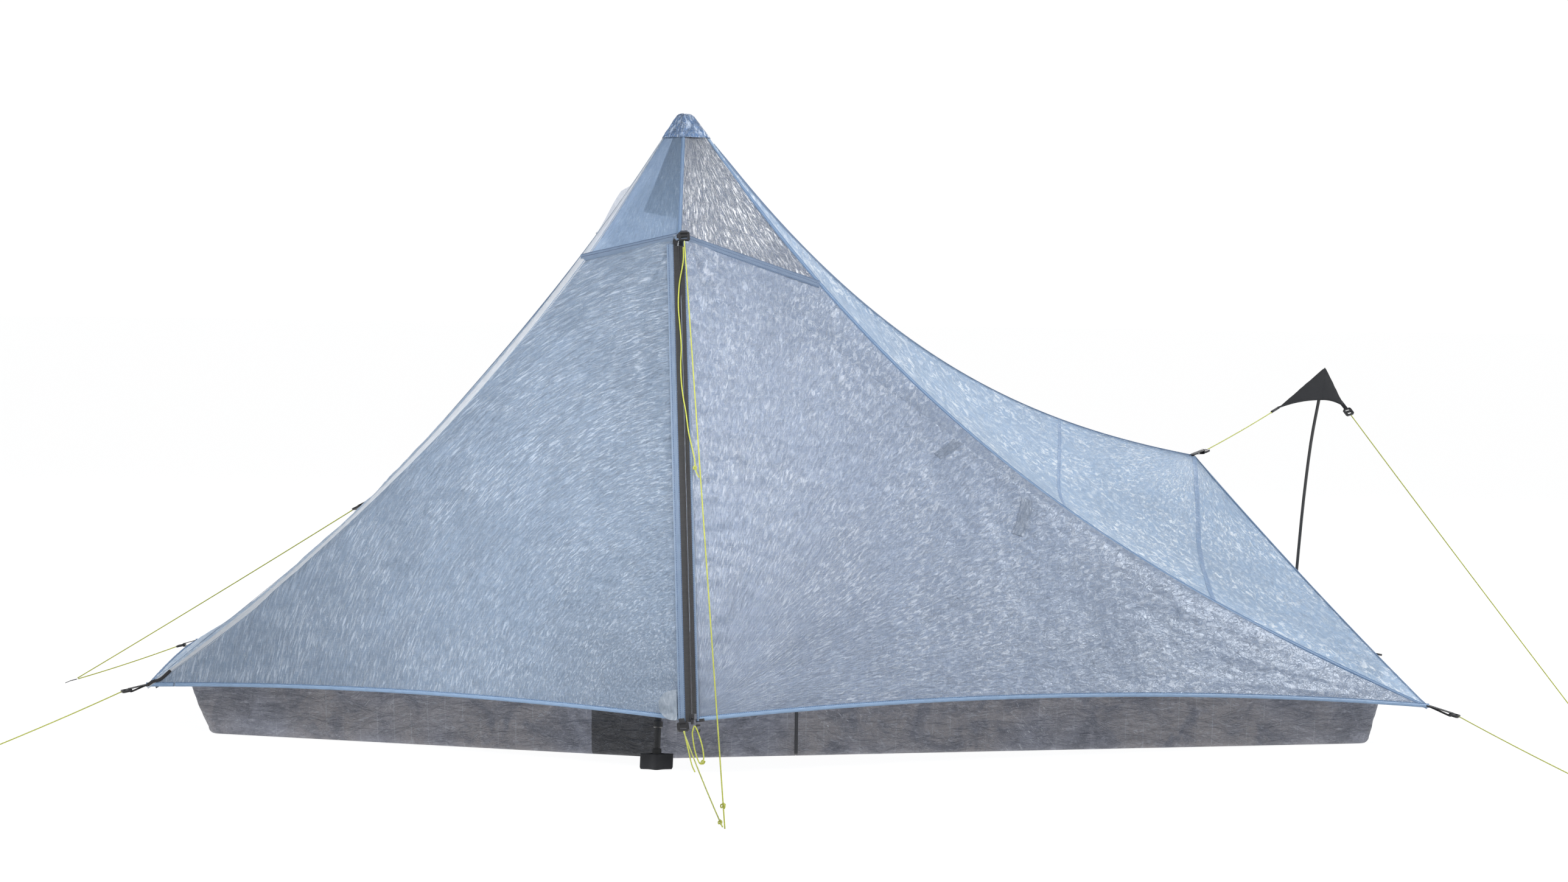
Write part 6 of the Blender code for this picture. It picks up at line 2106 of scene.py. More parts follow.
@dataclass
class Front:
    """One front sheet: the strip along the ridge and the storm door, in one."""

    side: float
    cloth: Finish
    name: str
    body: Body
    replaced: tuple[str, str]
    seam: Point
    hinge_foot: Point
    strength: float = 1.0
    seed: float = 0.0
    edge: float = 0.0084
    binding: float = 0.0040
    overlap: float = 0.0004
    dent: float = 0.008
    strip_columns: int = 17
    door_columns: int = 128
    pitch: float = 0.0062

    def outlines(self) -> tuple[Edges, Edges]:
        """Return the edges of the strip and of the door.

        Returns:
            Four edges for each.
        """
        if self.side < 0:
            hem = stretch(HEM_LEFT, LEFT_HINGE_AT, 1.0 - self.edge / float(np.linalg.norm(ZIP_FOOT - FRONT_LEFT)))
            gore = (
                straight(self.seam, ZIP_TOP), stretch(HEM_LEFT, 0.0, LEFT_HINGE_AT), stretch(LEFT_RIDGE, SEAM_AT, 1.0),
                straight(ZIP_TOP, self.hinge_foot),
            )
            lip = straight(zip_point(0.0, -self.edge, 0.0), hem(1.0))
            return gore, (still(ZIP_TOP), hem, straight(ZIP_TOP, self.hinge_foot), lip)
        hem = stretch(HEM_RIGHT, self.edge / float(np.linalg.norm(FRONT_RIGHT - ZIP_FOOT)), RIGHT_HINGE_AT)
        gore = (
            straight(ZIP_TOP, self.seam), stretch(HEM_RIGHT, RIGHT_HINGE_AT, 1.0), straight(ZIP_TOP, self.hinge_foot),
            stretch(RIGHT_RIDGE, SEAM_AT, 1.0),
        )
        lip = straight(zip_point(0.0, self.edge, 0.0), hem(0.0))
        return gore, (still(ZIP_TOP), hem, lip, straight(ZIP_TOP, self.hinge_foot))

    def creased(self, points: np.ndarray) -> np.ndarray:
        """Return how far points stand out: crumples, ripples and folds.

        Args:
            points: Points on the sheet.

        Returns:
            One depth a point.
        """
        along = (points - ZIP_TOP) @ ZIP_LINE
        aside = np.abs((points - ZIP_TOP) @ ZIP_SIDE)
        inside = ease(aside, 0.010, 0.040)
        seed = self.seed
        calm = 1.0 - 0.80 * np.exp(-np.linalg.norm(points - FRONT_RIGHT, axis=-1) / 0.55)
        soft = 0.0026 * ripple(points, (5.0, 5.0, 4.0), seed) + 0.0016 * ripple(points, (13.0, 13.0, 11.0), seed + 1.0)
        near = np.exp(-aside / 0.30)
        crisp = (0.0008 + 0.0012 * near) * (1.0 - 2.0 * np.abs(ripple(points, (24.0, 24.0, 30.0), seed + 2.0)))
        fine = 0.0007 * (1.0 - 2.0 * np.abs(ripple(points, (50.0, 50.0, 60.0), seed + 4.0)))
        wander = ripple(points, (7.0, 7.0, 9.0), seed + 3.0)
        ripples = 0.0019 * np.sin(TURN * along / 0.041 + 4.0 * wander) * np.exp(-aside / 0.085)
        ripples = ripples * ease(aside, 0.006, 0.022)
        hinge = (self.hinge_foot + ZIP_FOOT) / 2.0
        folds = fan(points, ZIP_TOP, hinge, 6.0, 0.0016, 0.28, seed + 5.0)
        foot_depth = 0.0030 if self.side > 0 else 0.0008
        folds += fan(points, ZIP_FOOT, (ZIP_TOP + self.hinge_foot) / 2.0, 5.0, foot_depth, 0.26, seed + 6.0)
        hinge_depth = 0.0005 if self.side > 0 else 0.0014
        folds += fan(points, self.hinge_foot, (ZIP_TOP + ZIP_FOOT) / 2.0, 9.0, hinge_depth, 0.30, seed + 7.0)
        if self.side > 0:
            folds += fan(points, FRONT_RIGHT, (ZIP_TOP + ZIP_FOOT) / 2.0, 24.0, 0.0009, 0.40, seed + 8.0)
        return self.strength * (inside * (calm * (soft + crisp + fine) + folds) + ripples)

    def rows(self) -> np.ndarray:
        """Return the parameters down the sheet."""
        return stops((0.0, 1.0), 1.15, self.pitch)

    def columns(self) -> np.ndarray:
        """Return the parameters across the door."""
        return np.linspace(0.0, 1.0, self.door_columns)

    def patches(self) -> tuple[Patch, Patch]:
        """Return strip and door with their creases.

        Returns:
            The strip and the door.
        """
        gore_edges, door_edges = self.outlines()
        rows, over = self.rows(), self.columns()
        strip = np.linspace(0.0, 1.0, self.strip_columns)
        gore, door = panel(gore_edges, rows, strip), panel(door_edges, rows, over, self.dent)
        outward = mean_normal(door_edges)
        free = strip if self.side < 0 else strip[::-1]
        held = (ease(rows, 0.0, 0.02) * (1.0 - ease(rows, 0.972, 0.990)))[:, None]
        for patch, weight in ((gore, held * ease(free, 0.15, 0.95)), (door, held * np.ones(len(over)))):
            patch.flow = flow_from(patch.points, ZIP_FOOT, (ZIP_TOP + self.hinge_foot) / 2.0, self.side > 0)
            patch.points = patch.points + outward * (self.creased(patch.points) * weight)[..., None]
        return gore, door

    def build(self) -> Piece:
        """Returns:
            The sheet.
        """
        sheet = sew(self.name, list(self.patches()), [self.cloth])
        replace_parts(sheet, *self.replaced)
        hinge = unit(self.hinge_foot - ZIP_TOP)
        across = unit((ZIP_FOOT - ZIP_TOP) - hinge * np.dot(ZIP_FOOT - ZIP_TOP, hinge))
        middle = (self.hinge_foot + ZIP_TOP) / 2.0
        start, end = tuple(middle - across * 0.002), tuple(middle + across * 0.008)
        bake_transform(sheet)
        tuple(start)
        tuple(end)
        LOG.info("%s bends along its hinge line", self.name)
        self.trims()
        return sheet

    def trims(self) -> list[Piece]:
        """Return the hem of strip and door and the binding by the zipper.

        Returns:
            The trims.
        """
        gore_edges, door_edges = self.outlines()
        fixed = hem_strip(self.name + "_strip_hem", gore_edges[1], ZIP_TOP, Wardrobe.HEM)
        swinging = hem_strip(self.name + "_door_hem", door_edges[1], ZIP_TOP, Wardrobe.HEM, (0.004, 1.0))
        first, wide = self.edge - self.overlap, self.binding
        line = zip_point(np.linspace(0.020, ZIP_LENGTH - 0.001, 220)[:, None], 0.0, 0.0)
        across = np.array([first, first + 0.3 * wide, first + 0.7 * wide, first + wide])
        lifts = np.array([0.0016, 0.0024, 0.0023, 0.0014])
        grid = lifted(line, ZIP_SIDE, ZIP_OUT, self.side * across, lifts)
        grid = grid + ZIP_OUT * (0.0006 * ripple(grid, (50.0, 50.0, 60.0), self.seed + 9.0))[..., None]
        run = np.linspace(0.0, ZIP_LENGTH, len(line))
        binding = ribbon(self.name + "_binding", grid, run, across - first, Wardrobe.BINDING)
        return [ride(fixed), ride(swinging, self.body), ride(binding, self.body)]


@dataclass
class DoorDetails:
    """Patch, painted tie-back shadows and short webs at the zipper."""

    patch_radius: float = 0.0275
    patch_reach: float = 0.0045
    patch_lift: float = 0.0024
    shadow_half: float = 0.0065
    shadow_length: float = 0.05
    shadow_lift: float = 0.0014

    def disc(self) -> None:
        """Sew the round patch on the left door, cut off by the zipper's tape."""
        edges = LEFT_FRONT.outlines()[1]
        outward = mean_normal(edges)
        centre = zip_point(ZIP_LENGTH - 0.0305, -0.0295, 0.0)
        rows, turns = np.linspace(0.02, 1.0, 14), np.linspace(0.0, TURN, 61)
        radius = self.patch_radius * rows[:, None]
        sideways = np.minimum(np.cos(turns)[None, :] * radius, self.patch_reach)
        upwards = np.broadcast_to(np.sin(turns)[None, :] * radius, sideways.shape)
        grid = centre + ZIP_SIDE * sideways[..., None] - ZIP_LINE * upwards[..., None]
        grid = grid + outward * (LEFT_FRONT.creased(grid) + self.patch_lift)[..., None]
        flat = np.stack([sideways, upwards], axis=-1)
        ride(sew("door_patch", [Patch(grid, flat)], [Wardrobe.PATCH]), Body.LEFT_DOOR)

    def tie_shadow(self, name: str, marks: tuple[float, ...], side: tuple[float, float]) -> None:
        """Lay a dark strip on the right door, the painted shadow of a tie-back hanging behind it.

        Args:
            name: The strip's name.
            marks: First and last parameter down the door, first and last across it.
            side: Half the strip's width in both parameters.
        """
        door = RIGHT_FRONT.patches()[1]
        grid = cells(np.linspace(0.0, 1.0, 16), np.linspace(-1.0, 1.0, 7))
        along, over = grid[..., 0], grid[..., 1]
        down = marks[0] + (marks[1] - marks[0]) * along + side[0] * over
        across = marks[2] + (marks[3] - marks[2]) * along + side[1] * over
        points = on_patch(door, RIGHT_FRONT.rows(), RIGHT_FRONT.columns(), down.ravel(), across.ravel())
        flat = grid[..., ::-1] * (self.shadow_half, self.shadow_length)
        grid = points.reshape(16, 7, 3) + mean_normal(RIGHT_FRONT.outlines()[1]) * self.shadow_lift
        ride(sew(name, [Patch(grid, flat)], [Wardrobe.TIE_SHADOW]), Body.RIGHT_DOOR)

    def tacks(self) -> None:
        """Make the short black webs and bar tacks round the zipper."""
        side = at(1.0, 0.0, 0.0)
        top = zip_point(0.004, 0.0, 0.0020)
        strap("zip_top_tack", [top - side * 0.0050, top + side * 0.0050], -ZIP_LINE, 0.0080)
        web_at = ZIP_TOP + at(-0.0060, -0.0012, -0.0090)
        strap("zip_top_web", [web_at, web_at + ZIP_LINE * 0.012 - side * 0.0040], ZIP_SIDE, 0.0100)
        low = HEM_RIGHT(np.array([0.0045, 0.0150])) + ZIP_OUT * 0.0030 - ZIP_LINE * 0.0008
        strap("right_hem_web", low, ZIP_LINE, 0.0055, 0.0009, Body.RIGHT_DOOR)
        foot = zip_point(ZIP_LENGTH - 0.0060, -0.0190, 0.0030)
        route = [foot, foot + at(0.0010, -0.0035, -0.0040), DOOR_LOCK_AT - DOOR_LOCK_ALONG * 0.0040]
        strap("left_lock_web", route, side, 0.0105)

    def build(self) -> None:
        """Add every detail."""
        self.disc()
        # Painted shadows of the two tie-backs.
        self.tie_shadow("tie_shadow_upper", (0.4360, 0.4720, 0.9980, 0.8440), (0.0062, 0.0))
        self.tie_shadow("tie_shadow_lower", (0.5620, 0.6440, 0.9650, 0.8120), (0.0036, 0.0100))
        self.tacks()


LEFT_FRONT = Front(
    -1.0, Wardrobe.LEFT_CLOTH, "left_front_sheet", Body.LEFT_DOOR, ("left_door", "front_gore_left"), SEAM_LEFT,
    LEFT_HINGE_FOOT, 0.85, 41.0, 0.0122, 0.0125,
)
RIGHT_FRONT = Front(
    1.0, Wardrobe.RIGHT_CLOTH, "right_front_sheet", Body.RIGHT_DOOR, ("right_door", "front_gore_right"), SEAM_RIGHT,
    RIGHT_HINGE_FOOT, 1.2, 57.0,
)


# Zipper


@dataclass
class Zipper:
    """Coils and selvage of the tapes; tapes, slider and pull keep their solids."""

    pitch: float = 0.0026
    reach: float = 0.0011
    wire: float = 0.00045
    top: float = 0.024
    gap: float = 0.0004
    lift: float = 0.0023
    swing: float = 0.00075

    def coil(self, side: float, body: Body, notch: float) -> None:
        """Wind one coil along its tape.

        Args:
            side: Minus 1 for left, 1 for right.
            body: The body it rides on.
            notch: How far above the zipper's foot it ends.
        """
        turns = (ZIP_LENGTH - notch - self.top) / self.pitch
        steps = np.linspace(0.0, turns, int(turns * 7))
        angle = TURN * steps
        along = self.top + steps * self.pitch
        across = side * (self.gap + self.reach * (1.0 - 0.9 * np.cos(angle)))
        out = self.lift + self.swing * np.sin(angle)
        line = zip_point(along[:, None], across[:, None], out[:, None])
        name = "zip_coil_left" if side < 0 else "zip_coil_right"
        ride(tube(name, line, self.wire, Wardrobe.COIL, 5), body)

    def selvage(self) -> None:
        """Weave the wider outer edge of the left tape, which the door leaves open."""
        line = zip_point(np.linspace(0.0200, ZIP_LENGTH - 0.0005, 160)[:, None], 0.0, 0.0)
        across = np.array([-0.0081, -0.0100, -0.0118, -0.0128])
        grid = lifted(line, ZIP_SIDE, ZIP_OUT, across, np.array([0.0010, 0.0012, 0.0011, 0.0004]))
        run = np.linspace(0.0, ZIP_LENGTH, len(line))
        ride(ribbon("zip_tape_selvage", grid, run, across, Wardrobe.ZIP), Body.LEFT_DOOR)

    def build(self) -> None:
        """Weave the selvage and wind both coils."""
        self.selvage()
        self.coil(-1.0, Body.LEFT_DOOR, 0.0)
        self.coil(1.0, Body.RIGHT_DOOR, 0.0150)


# Floor


@dataclass
class TubHalf:
    """One half of the tub floor, with wrinkled walls."""

    name: str
    side: float
    length: float = 2.286
    width: float = 0.711
    bulge: float = 0.268
    bulge_x: float = -0.222
    seam_x: float = 0.007
    fold: float = 0.014
    corner: float = 0.030
    high: float = 0.195
    low: float = 0.128
    lean: float = 0.008
    flare: float = 0.010
    tuck: float = 0.012
    pitch: float = 0.0085
    ground: float = 0.0009
    spine_y: float = 0.30
    spine_reach: float = 0.93
    dark_span: tuple[float, float] = (-0.376, -0.252)

    def outline(self) -> tuple[np.ndarray, np.ndarray]:
        """Return plan points and outward directions from front to back seam.

        Returns:
            The points and one direction for each.
        """
        half = self.length / 2.0
        seam_y = -self.bulge * (half - self.seam_x) / (half - self.bulge_x)
        foot = self.side * (half - self.tuck)
        corners = [at(foot, 0.0, 0.0), at(foot, self.width, 0.0)]
        radii = [self.corner, self.corner]
        if self.side < 0:
            corners.insert(0, at(self.bulge_x, -self.bulge, 0.0))
            radii.insert(0, 0.02)
        seam = self.seam_x + self.side * 0.0004
        path = [at(seam, seam_y, 0.0)] + corners + [at(seam, self.width, 0.0)]
        points = [path[0]]
        for index, radius in enumerate(radii):
            before, corner, after = path[index : index + 3]
            arrive, leave = unit(corner - before), unit(after - corner)
            reach = radius * math.tan(math.acos(float(np.dot(arrive, leave))) / 2.0)
            for s in np.linspace(0.0, 1.0, 9):
                first, last = corner - arrive * reach, corner + leave * reach
                points.append(first * (1 - s) ** 2 + corner * 2 * s * (1 - s) + last * s**2)
        points.append(path[-1])
        line = np.array(points)
        run = run_of(line)
        steps = np.linspace(0.0, run[-1], round(run[-1] / self.pitch))
        line = np.stack([np.interp(steps, run, line[:, axis]) for axis in range(3)], axis=-1)
        ahead = unit(np.gradient(line, axis=0))
        normals = np.stack([ahead[:, 1], -ahead[:, 0], np.zeros(len(line))], axis=-1) * self.side
        normals[0], normals[-1] = unit(at(0.0, normals[0][1], 0.0)), at(0.0, 1.0, 0.0)
        return line, unit(normals)

    def heights(self, line: np.ndarray) -> np.ndarray:
        """Return the wall's height at each plan point.

        Args:
            line: Points along the wall.

        Returns:
            One height a point.
        """
        share = np.clip(-line[:, 1] / self.bulge, 0.0, None)
        front = self.low + (self.high - self.low) * share
        return np.where(line[:, 1] > self.width - 0.001, self.low, front)

    def patches(self) -> list[Patch]:
        """Return the floor's and the wall's patch.

        Returns:
            The floor and the wall.
        """
        line, normals = self.outline()
        count = len(line)
        spine = np.stack(
            [np.clip(line[:, 0] * 0.985, -self.spine_reach, self.spine_reach), np.full(count, self.spine_y),
             np.zeros(count)], axis=-1,
        )
        seam = self.seam_x + self.side * 0.0004
        spine[:, 0] = np.maximum(spine[:, 0], seam) if self.side > 0 else np.minimum(spine[:, 0], seam)
        rim = line - normals * self.fold
        rows = np.linspace(0.0, 1.0, 22)
        flat = spine[None] + (rim - spine)[None] * rows[:, None, None]
        wave = 0.5 + 0.5 * ripple(flat, (9.0, 9.0, 9.0), 3.0) + 0.4 * ripple(flat, (24.0, 24.0, 24.0), 4.0)
        flat[..., 2] = self.ground + 0.0012 * np.clip(wave, 0.0, 1.6) * (1.0 - rows[:, None]) ** 0.5
        turns = np.linspace(0.0, np.pi / 2.0, 7)[1:]
        arc = [(-self.fold * (1.0 - math.sin(t)), self.fold * (1.0 - math.cos(t))) for t in turns]
        lifts = np.linspace(0.0, 1.0, 24)[1:]
        tall = self.heights(line)
        rings = [rim + UP * self.ground]
        for out, height in arc:
            rings.append(line + normals * out + UP * max(height, self.ground))
        for lift in lifts:
            height = self.fold + (tall - self.fold) * lift
            spread = self.tuck * (1.0 - (1.0 - lift) ** 2.4) + self.flare * lift
            out = self.lean * lift + spread * np.abs(normals[:, :1]) ** 2
            rings.append(line + normals * out + UP * height[:, None])
        wall = np.array(rings)
        level = np.concatenate([np.zeros(7), lifts])
        slack = (np.sin(np.pi * level) ** 0.7) * (level > 0)
        swell = 0.0042 * ripple(wall, (7.0, 7.0, 10.0), 6.0) + 0.0022 * ripple(wall, (20.0, 20.0, 26.0), 7.0)
        swell += 0.0013 * (1.0 - 2.0 * np.abs(ripple(wall, (34.0, 34.0, 44.0), 8.0)))
        ends = ease(np.minimum(np.arange(count), np.arange(count)[::-1]) * self.pitch, 0.0, 0.05)
        wall = wall + normals[None] * (swell * slack[:, None] * ends[None, :])[..., None]
        run = np.arange(count) * self.pitch
        up = np.concatenate([np.linspace(0.0, 0.022, 7), 0.022 + (0.17 * lifts)])
        return [Patch(flat, flat[..., :2].copy()), Patch(wall, cells(up, run)[..., ::-1])]

    def build(self) -> Piece:
        """Returns:
            The cloth.
        """
        sheet = sew(self.name + "_cloth", self.patches(), [Wardrobe.TUB, Wardrobe.TUB_DARK], at(0.0, 0.3, 0.5))
        if self.side < 0:
            # Faces of the left wall within a stretch of x take the near-black finish: darker there.
            for face in sheet.data.polygons:
                x, y, z = face.center
                if self.dark_span[0] < x < self.dark_span[1] and y < -0.10 and z > 0.002:
                    face.material_index = 1
        ride(sheet, Body.CANOPY, self.name)
        return sheet


@dataclass
class Tub:
    """Both halves of the floor with the tape over their cross seam."""

    left = TubHalf("tub_left", -1.0, flare=0.022, tuck=0.012)
    right = TubHalf("tub_right", 1.0, flare=0.014, tuck=0.004)

    def seam(self) -> None:
        """Tape the cross seam up the front wall and over the floor."""
        half = self.right
        line, normals = half.outline()
        start, out, tall = line[0], normals[0], float(half.heights(line)[0])
        x = half.seam_x
        route = [at(x, start[1] + out[1] * half.lean, tall - 0.002)]
        for lift in np.linspace(0.8, 0.1, 6):
            route.append(at(x, start[1] + out[1] * half.lean * lift, half.fold + (tall - half.fold) * lift))
        route += [at(x, start[1] + 0.0008, 0.010), at(x, start[1] + 0.004, 0.0045), at(x, start[1] + 0.013, 0.0026)]
        route += [at(x, y, 0.0030) for y in np.linspace(start[1] + 0.05, 0.69, 8)]
        points = np.array(route)
        points[:8, 1] -= 0.0012
        strap("tub_seam_tape", points, at(1.0, 0.0, 0.0), 0.0062, 0.0006, Body.CANOPY, Wardrobe.SEAM_DARK)

    def build(self) -> None:
        """Lay both halves and tape their seam."""
        self.left.build()
        self.right.build()
        self.seam()


# Netting and vent


NET_TOP_LEFT = at(-0.2290, -0.1180, 1.0950)
NET_TOP_RIGHT = at(-0.2110, -0.1180, 1.0950)
NET_LOW_LEFT = at(-0.2290, -0.2680, 0.1975)
NET_LOW_RIGHT = at(-0.2110, -0.2680, 0.1965)
NET_LEFT_CORNER = at(-1.0900, -0.0180, 0.1340)
NET_RIGHT_CORNER = at(1.0700, -0.0160, 0.1340)
NET_HINGE_FOOT = at(0.7200, -0.0990, 0.1555)


def inside_ridge(ridge: Curve, first: float, last: float, corner: Point) -> Curve:
    """Return a curve just inside a ridge that ends at a corner of the tub.

    Args:
        ridge: The ridge.
        first: Where it starts.
        last: Where it ends.
        corner: The net's corner.

    Returns:
        The curve.
    """
    offset = at(0.0, 0.018, -0.030)
    end = ridge(last) + offset

    def curve(s: np.ndarray) -> np.ndarray:
        """Return the points at places from 0 to 1."""
        share = np.asarray(s, dtype=float)
        return ridge(first + (last - first) * share) + offset + (corner - end) * share[..., None] ** 4

    return curve


@dataclass
class Netting:
    """The insect nets behind the doors."""

    sag: float = 0.006
    ripple: float = 0.0022

    def net(self, name: str, node: str, edges: Edges, heart: Point, body: Body, start: float = 0.0) -> None:
        """Hang one net.

        Args:
            name: Its name.
            node: The solid it replaces.
            edges: Its four edges.
            heart: A point on the inner side.
            body: The body it rides on.
            start: Its first row's parameter.
        """
        rows, columns = np.linspace(start, 1.0, 46), np.linspace(0.0, 1.0, 32)
        patch = panel(edges, rows, columns, self.sag, heart=heart)
        patch.push(self.ripple * ripple(patch.points, (6.0, 6.0, 6.0), 71.0) * border(rows, columns, 0.12), heart)
        sheet = sew(name, [patch], [Wardrobe.NET], heart)
        ride(sheet, body, node)

    def build(self) -> None:
        """Hang all three nets."""
        left = inside_ridge(RIDGE_FRONT_LEFT, 0.075, 0.86, NET_LEFT_CORNER)
        right = inside_ridge(RIDGE_FRONT_RIGHT, 0.085, 0.86, NET_RIGHT_CORNER)
        top = NET_TOP_RIGHT + at(0.004, 0.0, 0.0)
        left_edges = (
            straight(left(0.0), NET_TOP_LEFT), straight(NET_LEFT_CORNER, NET_LOW_LEFT), left,
            straight(NET_TOP_LEFT, NET_LOW_LEFT),
        )
        strip_edges = (
            straight(top, right(0.0)), straight(NET_HINGE_FOOT, NET_RIGHT_CORNER), straight(top, NET_HINGE_FOOT), right
        )
        door_edges = (
            still(NET_TOP_RIGHT), straight(NET_LOW_RIGHT, NET_HINGE_FOOT), straight(NET_TOP_RIGHT, NET_LOW_RIGHT),
            straight(NET_TOP_RIGHT, NET_HINGE_FOOT),
        )
        self.net("net_left_cloth", "net_front_left", left_edges, at(-0.4, 0.4, 0.3), Body.CANOPY)
        self.net("net_strip_cloth", "net_gore_right", strip_edges, at(0.4, 0.4, 0.2), Body.CANOPY)
        self.net("net_door_cloth", "net_door", door_edges, at(0.1, 0.4, 0.2), Body.NET_DOOR, 0.03)


@dataclass
class Vent:
    """The vent below the tip: mesh, fluted awning and its stiff brim."""

    flutes: float = 7.0
    flute_depth: float = 0.0020
    crumple: float = 0.0009
    rib: float = 0.0016
    bulge: float = 0.0105

    def screen(self) -> None:
        """Set the mesh behind the opening."""
        top, low, left, right = 0.0259, 0.1157, 1.0 / 6.0 - 0.025, 1.0 / 3.0 + 0.025
        rows, columns = np.linspace(top, low, 26), np.linspace(left, right, 22)
        points = rear_point(rows[:, None], columns[None, :]) + at(0.0, -0.0015, -0.0015)
        sheet = sew("vent_screen", [Patch(points, flat_cut(points))], [Wardrobe.VENT])
        ride(sheet, Body.CANOPY, "vent_mesh")

    def awning(self) -> None:
        """Sew the fluted awning over the opening, with a rib in its brim."""
        lift, inner = at(-0.0016, 0.0030, 0.0034), at(0.0, 0.0045, 0.0045)

        def left(s: np.ndarray) -> np.ndarray:
            """Return the points at places along it.

            Args:
                s: Places from 0 to 1.

            Returns:
                Their points.
            """
            share = np.asarray(s, dtype=float)
            stand = ease(share, 0.48, 0.54) * (1.0 - ease(share, 0.56, 1.0))
            jut = at(-1.0, 0.0, 0.0) * (self.bulge * stand)[..., None]
            return RIDGE_GUY_LEFT(0.060 + 0.200 * share) + lift + jut

        def right(s: np.ndarray) -> np.ndarray:
            """Return the points at places from 0 to 1."""
            share = np.asarray(s, dtype=float)
            return rear_point(0.035 + 0.125 * share, 0.40 + 0.20 * share) + inner

        brim = hanging(left(1.0), right(1.0), -0.006, 0.0, (0.0, 0.055, 0.0))
        edges = (straight(left(0.0), right(0.0)), brim, left, right)
        rows, columns = np.linspace(0.0, 1.0, 40), np.linspace(0.0, 1.0, 90)
        patch = panel(edges, rows, columns)
        fluting = np.sin(TURN * self.flutes * columns)[None, :] * (rows[:, None] ** 1.5)
        patch.push(self.flute_depth * fluting * np.sin(np.pi * columns)[None, :] ** 0.3)
        patch.push(self.crumple * ripple(patch.points, (30.0, 30.0, 30.0), 91.0) * border(rows, columns, 0.03))
        sheet = sew("vent_awning", [patch], [Wardrobe.HOOD_CLOTH])
        ride(sheet, Body.CANOPY, "vent_hood")
        rib = ride(tube("vent_rib", patch.points[-1], self.rib, Wardrobe.RIB, 8))

    def build(self) -> None:
        """Build mesh and awning."""
        self.screen()
        self.awning()


# Webs, pocket and cap


@dataclass
class Webs:
    """Webs that hold the cord locks, and the short webs inside."""

    width: float = 0.0125
    lock_thick: float = 0.0042
    tab_width: float = 0.012
    tie_width: float = 0.009

    def loop(self, key: str) -> None:
        """Lead one web from the canopy round its lock's bar and back.

        Args:
            key: The web's name.
        """
        tip, lock_at = FITTINGS[key]
        axis = unit(lock_at - tip)
        start = tip + axis * 0.0025
        along = unit(lock_at - start)
        across = unit(np.cross(UP, along))
        normal = np.cross(along, across)
        rise = self.lock_thick / 2.0 + 0.0004 + WEB_THICK / 2.0
        lift = normal * (0.001 + WEB_THICK + 0.0010)
        near = normal * (WEB_THICK / 2.0 + 0.0002)
        turn = float(np.linalg.norm(lock_at - start)) - LOCK_LENGTH / 2.0 + 0.0036
        meet = turn - 0.0052
        back = -along * 0.012
        route = [start + lift + near + back, start + lift + near, start + along * meet + normal * rise]
        for angle in np.linspace(0.0, np.pi, 9):
            reach = turn + (0.0004 + WEB_THICK) * math.sin(angle)
            route.append(start + along * reach + normal * (rise * math.cos(angle)))
        route += [start + along * meet - normal * rise, start + lift - near, start + lift - near + back]
        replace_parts(strap(key + "_strap", route, across, self.width), key + "_web")

    def tab(self) -> None:
        """Lay the tab that two cords share at the rear left stake."""
        route = [REAR_STAKE + at(0.024, 0.0, 0.008), REAR_STAKE + at(0.012, 0.0, 0.005), REAR_STAKE]
        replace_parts(strap("rear_stake_tab", route, at(0.0, 1.0, 0.0), self.tab_width), "stake_tab")

    def tie(self, name: str, node: str, share: float) -> None:
        """Hang one tie-back by the right ridge.

        Args:
            name: Its name.
            node: The solid it replaces.
            share: Its place on the ridge.
        """
        ridge = RIDGE_FRONT_RIGHT(share) + at(-0.002, 0.004, -0.014)
        route = [ridge, ridge + at(-0.010, -0.003, -0.022), ridge + at(-0.016, -0.004, -0.050)]
        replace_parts(strap(name, route, unit(at(1.0, 0.2, 0.0)), self.tie_width), node)

    def build(self) -> None:
        """Build all webs."""
        for key in FITTINGS:
            self.loop(key)
        self.tab()
        self.tie("upper_tie", "tieback_upper", 0.372)
        self.tie("lower_tie", "tieback_lower", 0.455)
        steps = ((0.012, 0.030, -0.004), (0.055, 0.050, 0.020), (0.105, 0.070, 0.036))
        inside = [FRONT_LEFT + at(*step) for step in steps]
        strap("corner_strap", inside, at(0.2, -0.5, 1.0), 0.0090)
        start, slope = FRONT_LEFT + at(0.0, -0.0045, 0.0), at(0.050, -0.0143, 0.0325)
        route = [start + slope * s + UP * (0.004 * math.sin(9.0 * s)) for s in (0.05, 0.3, 0.6, 1.0)]
        strap("corner_web", route, at(-0.3, -0.2, 1.0), 0.0062)
        inward = unit(GUY_RIGHT - CAP_LEFT)
        route = [CAP_LEFT - inward * 0.010 + UP * 0.001, CAP_LEFT + inward * 0.027]
        strap("cap_left_web", route, at(0.0, -0.3, 1.0), 0.0052, 0.0034)
        route = [CAP_RIGHT - LIFT_LOCK_ALONG * 0.014 + at(-0.003, -0.002, 0.003), CAP_RIGHT + LIFT_LOCK_ALONG * 0.0065]
        strap("cap_right_web", route, at(0.5, -0.2, 1.0), 0.0085, 0.0016)


POLE_FOOT = at(-0.251, -0.385, 0.0018)
POLE_TIP = at(-0.215, -0.140, 1.170)
POLE_AXIS = unit(POLE_TIP - POLE_FOOT)


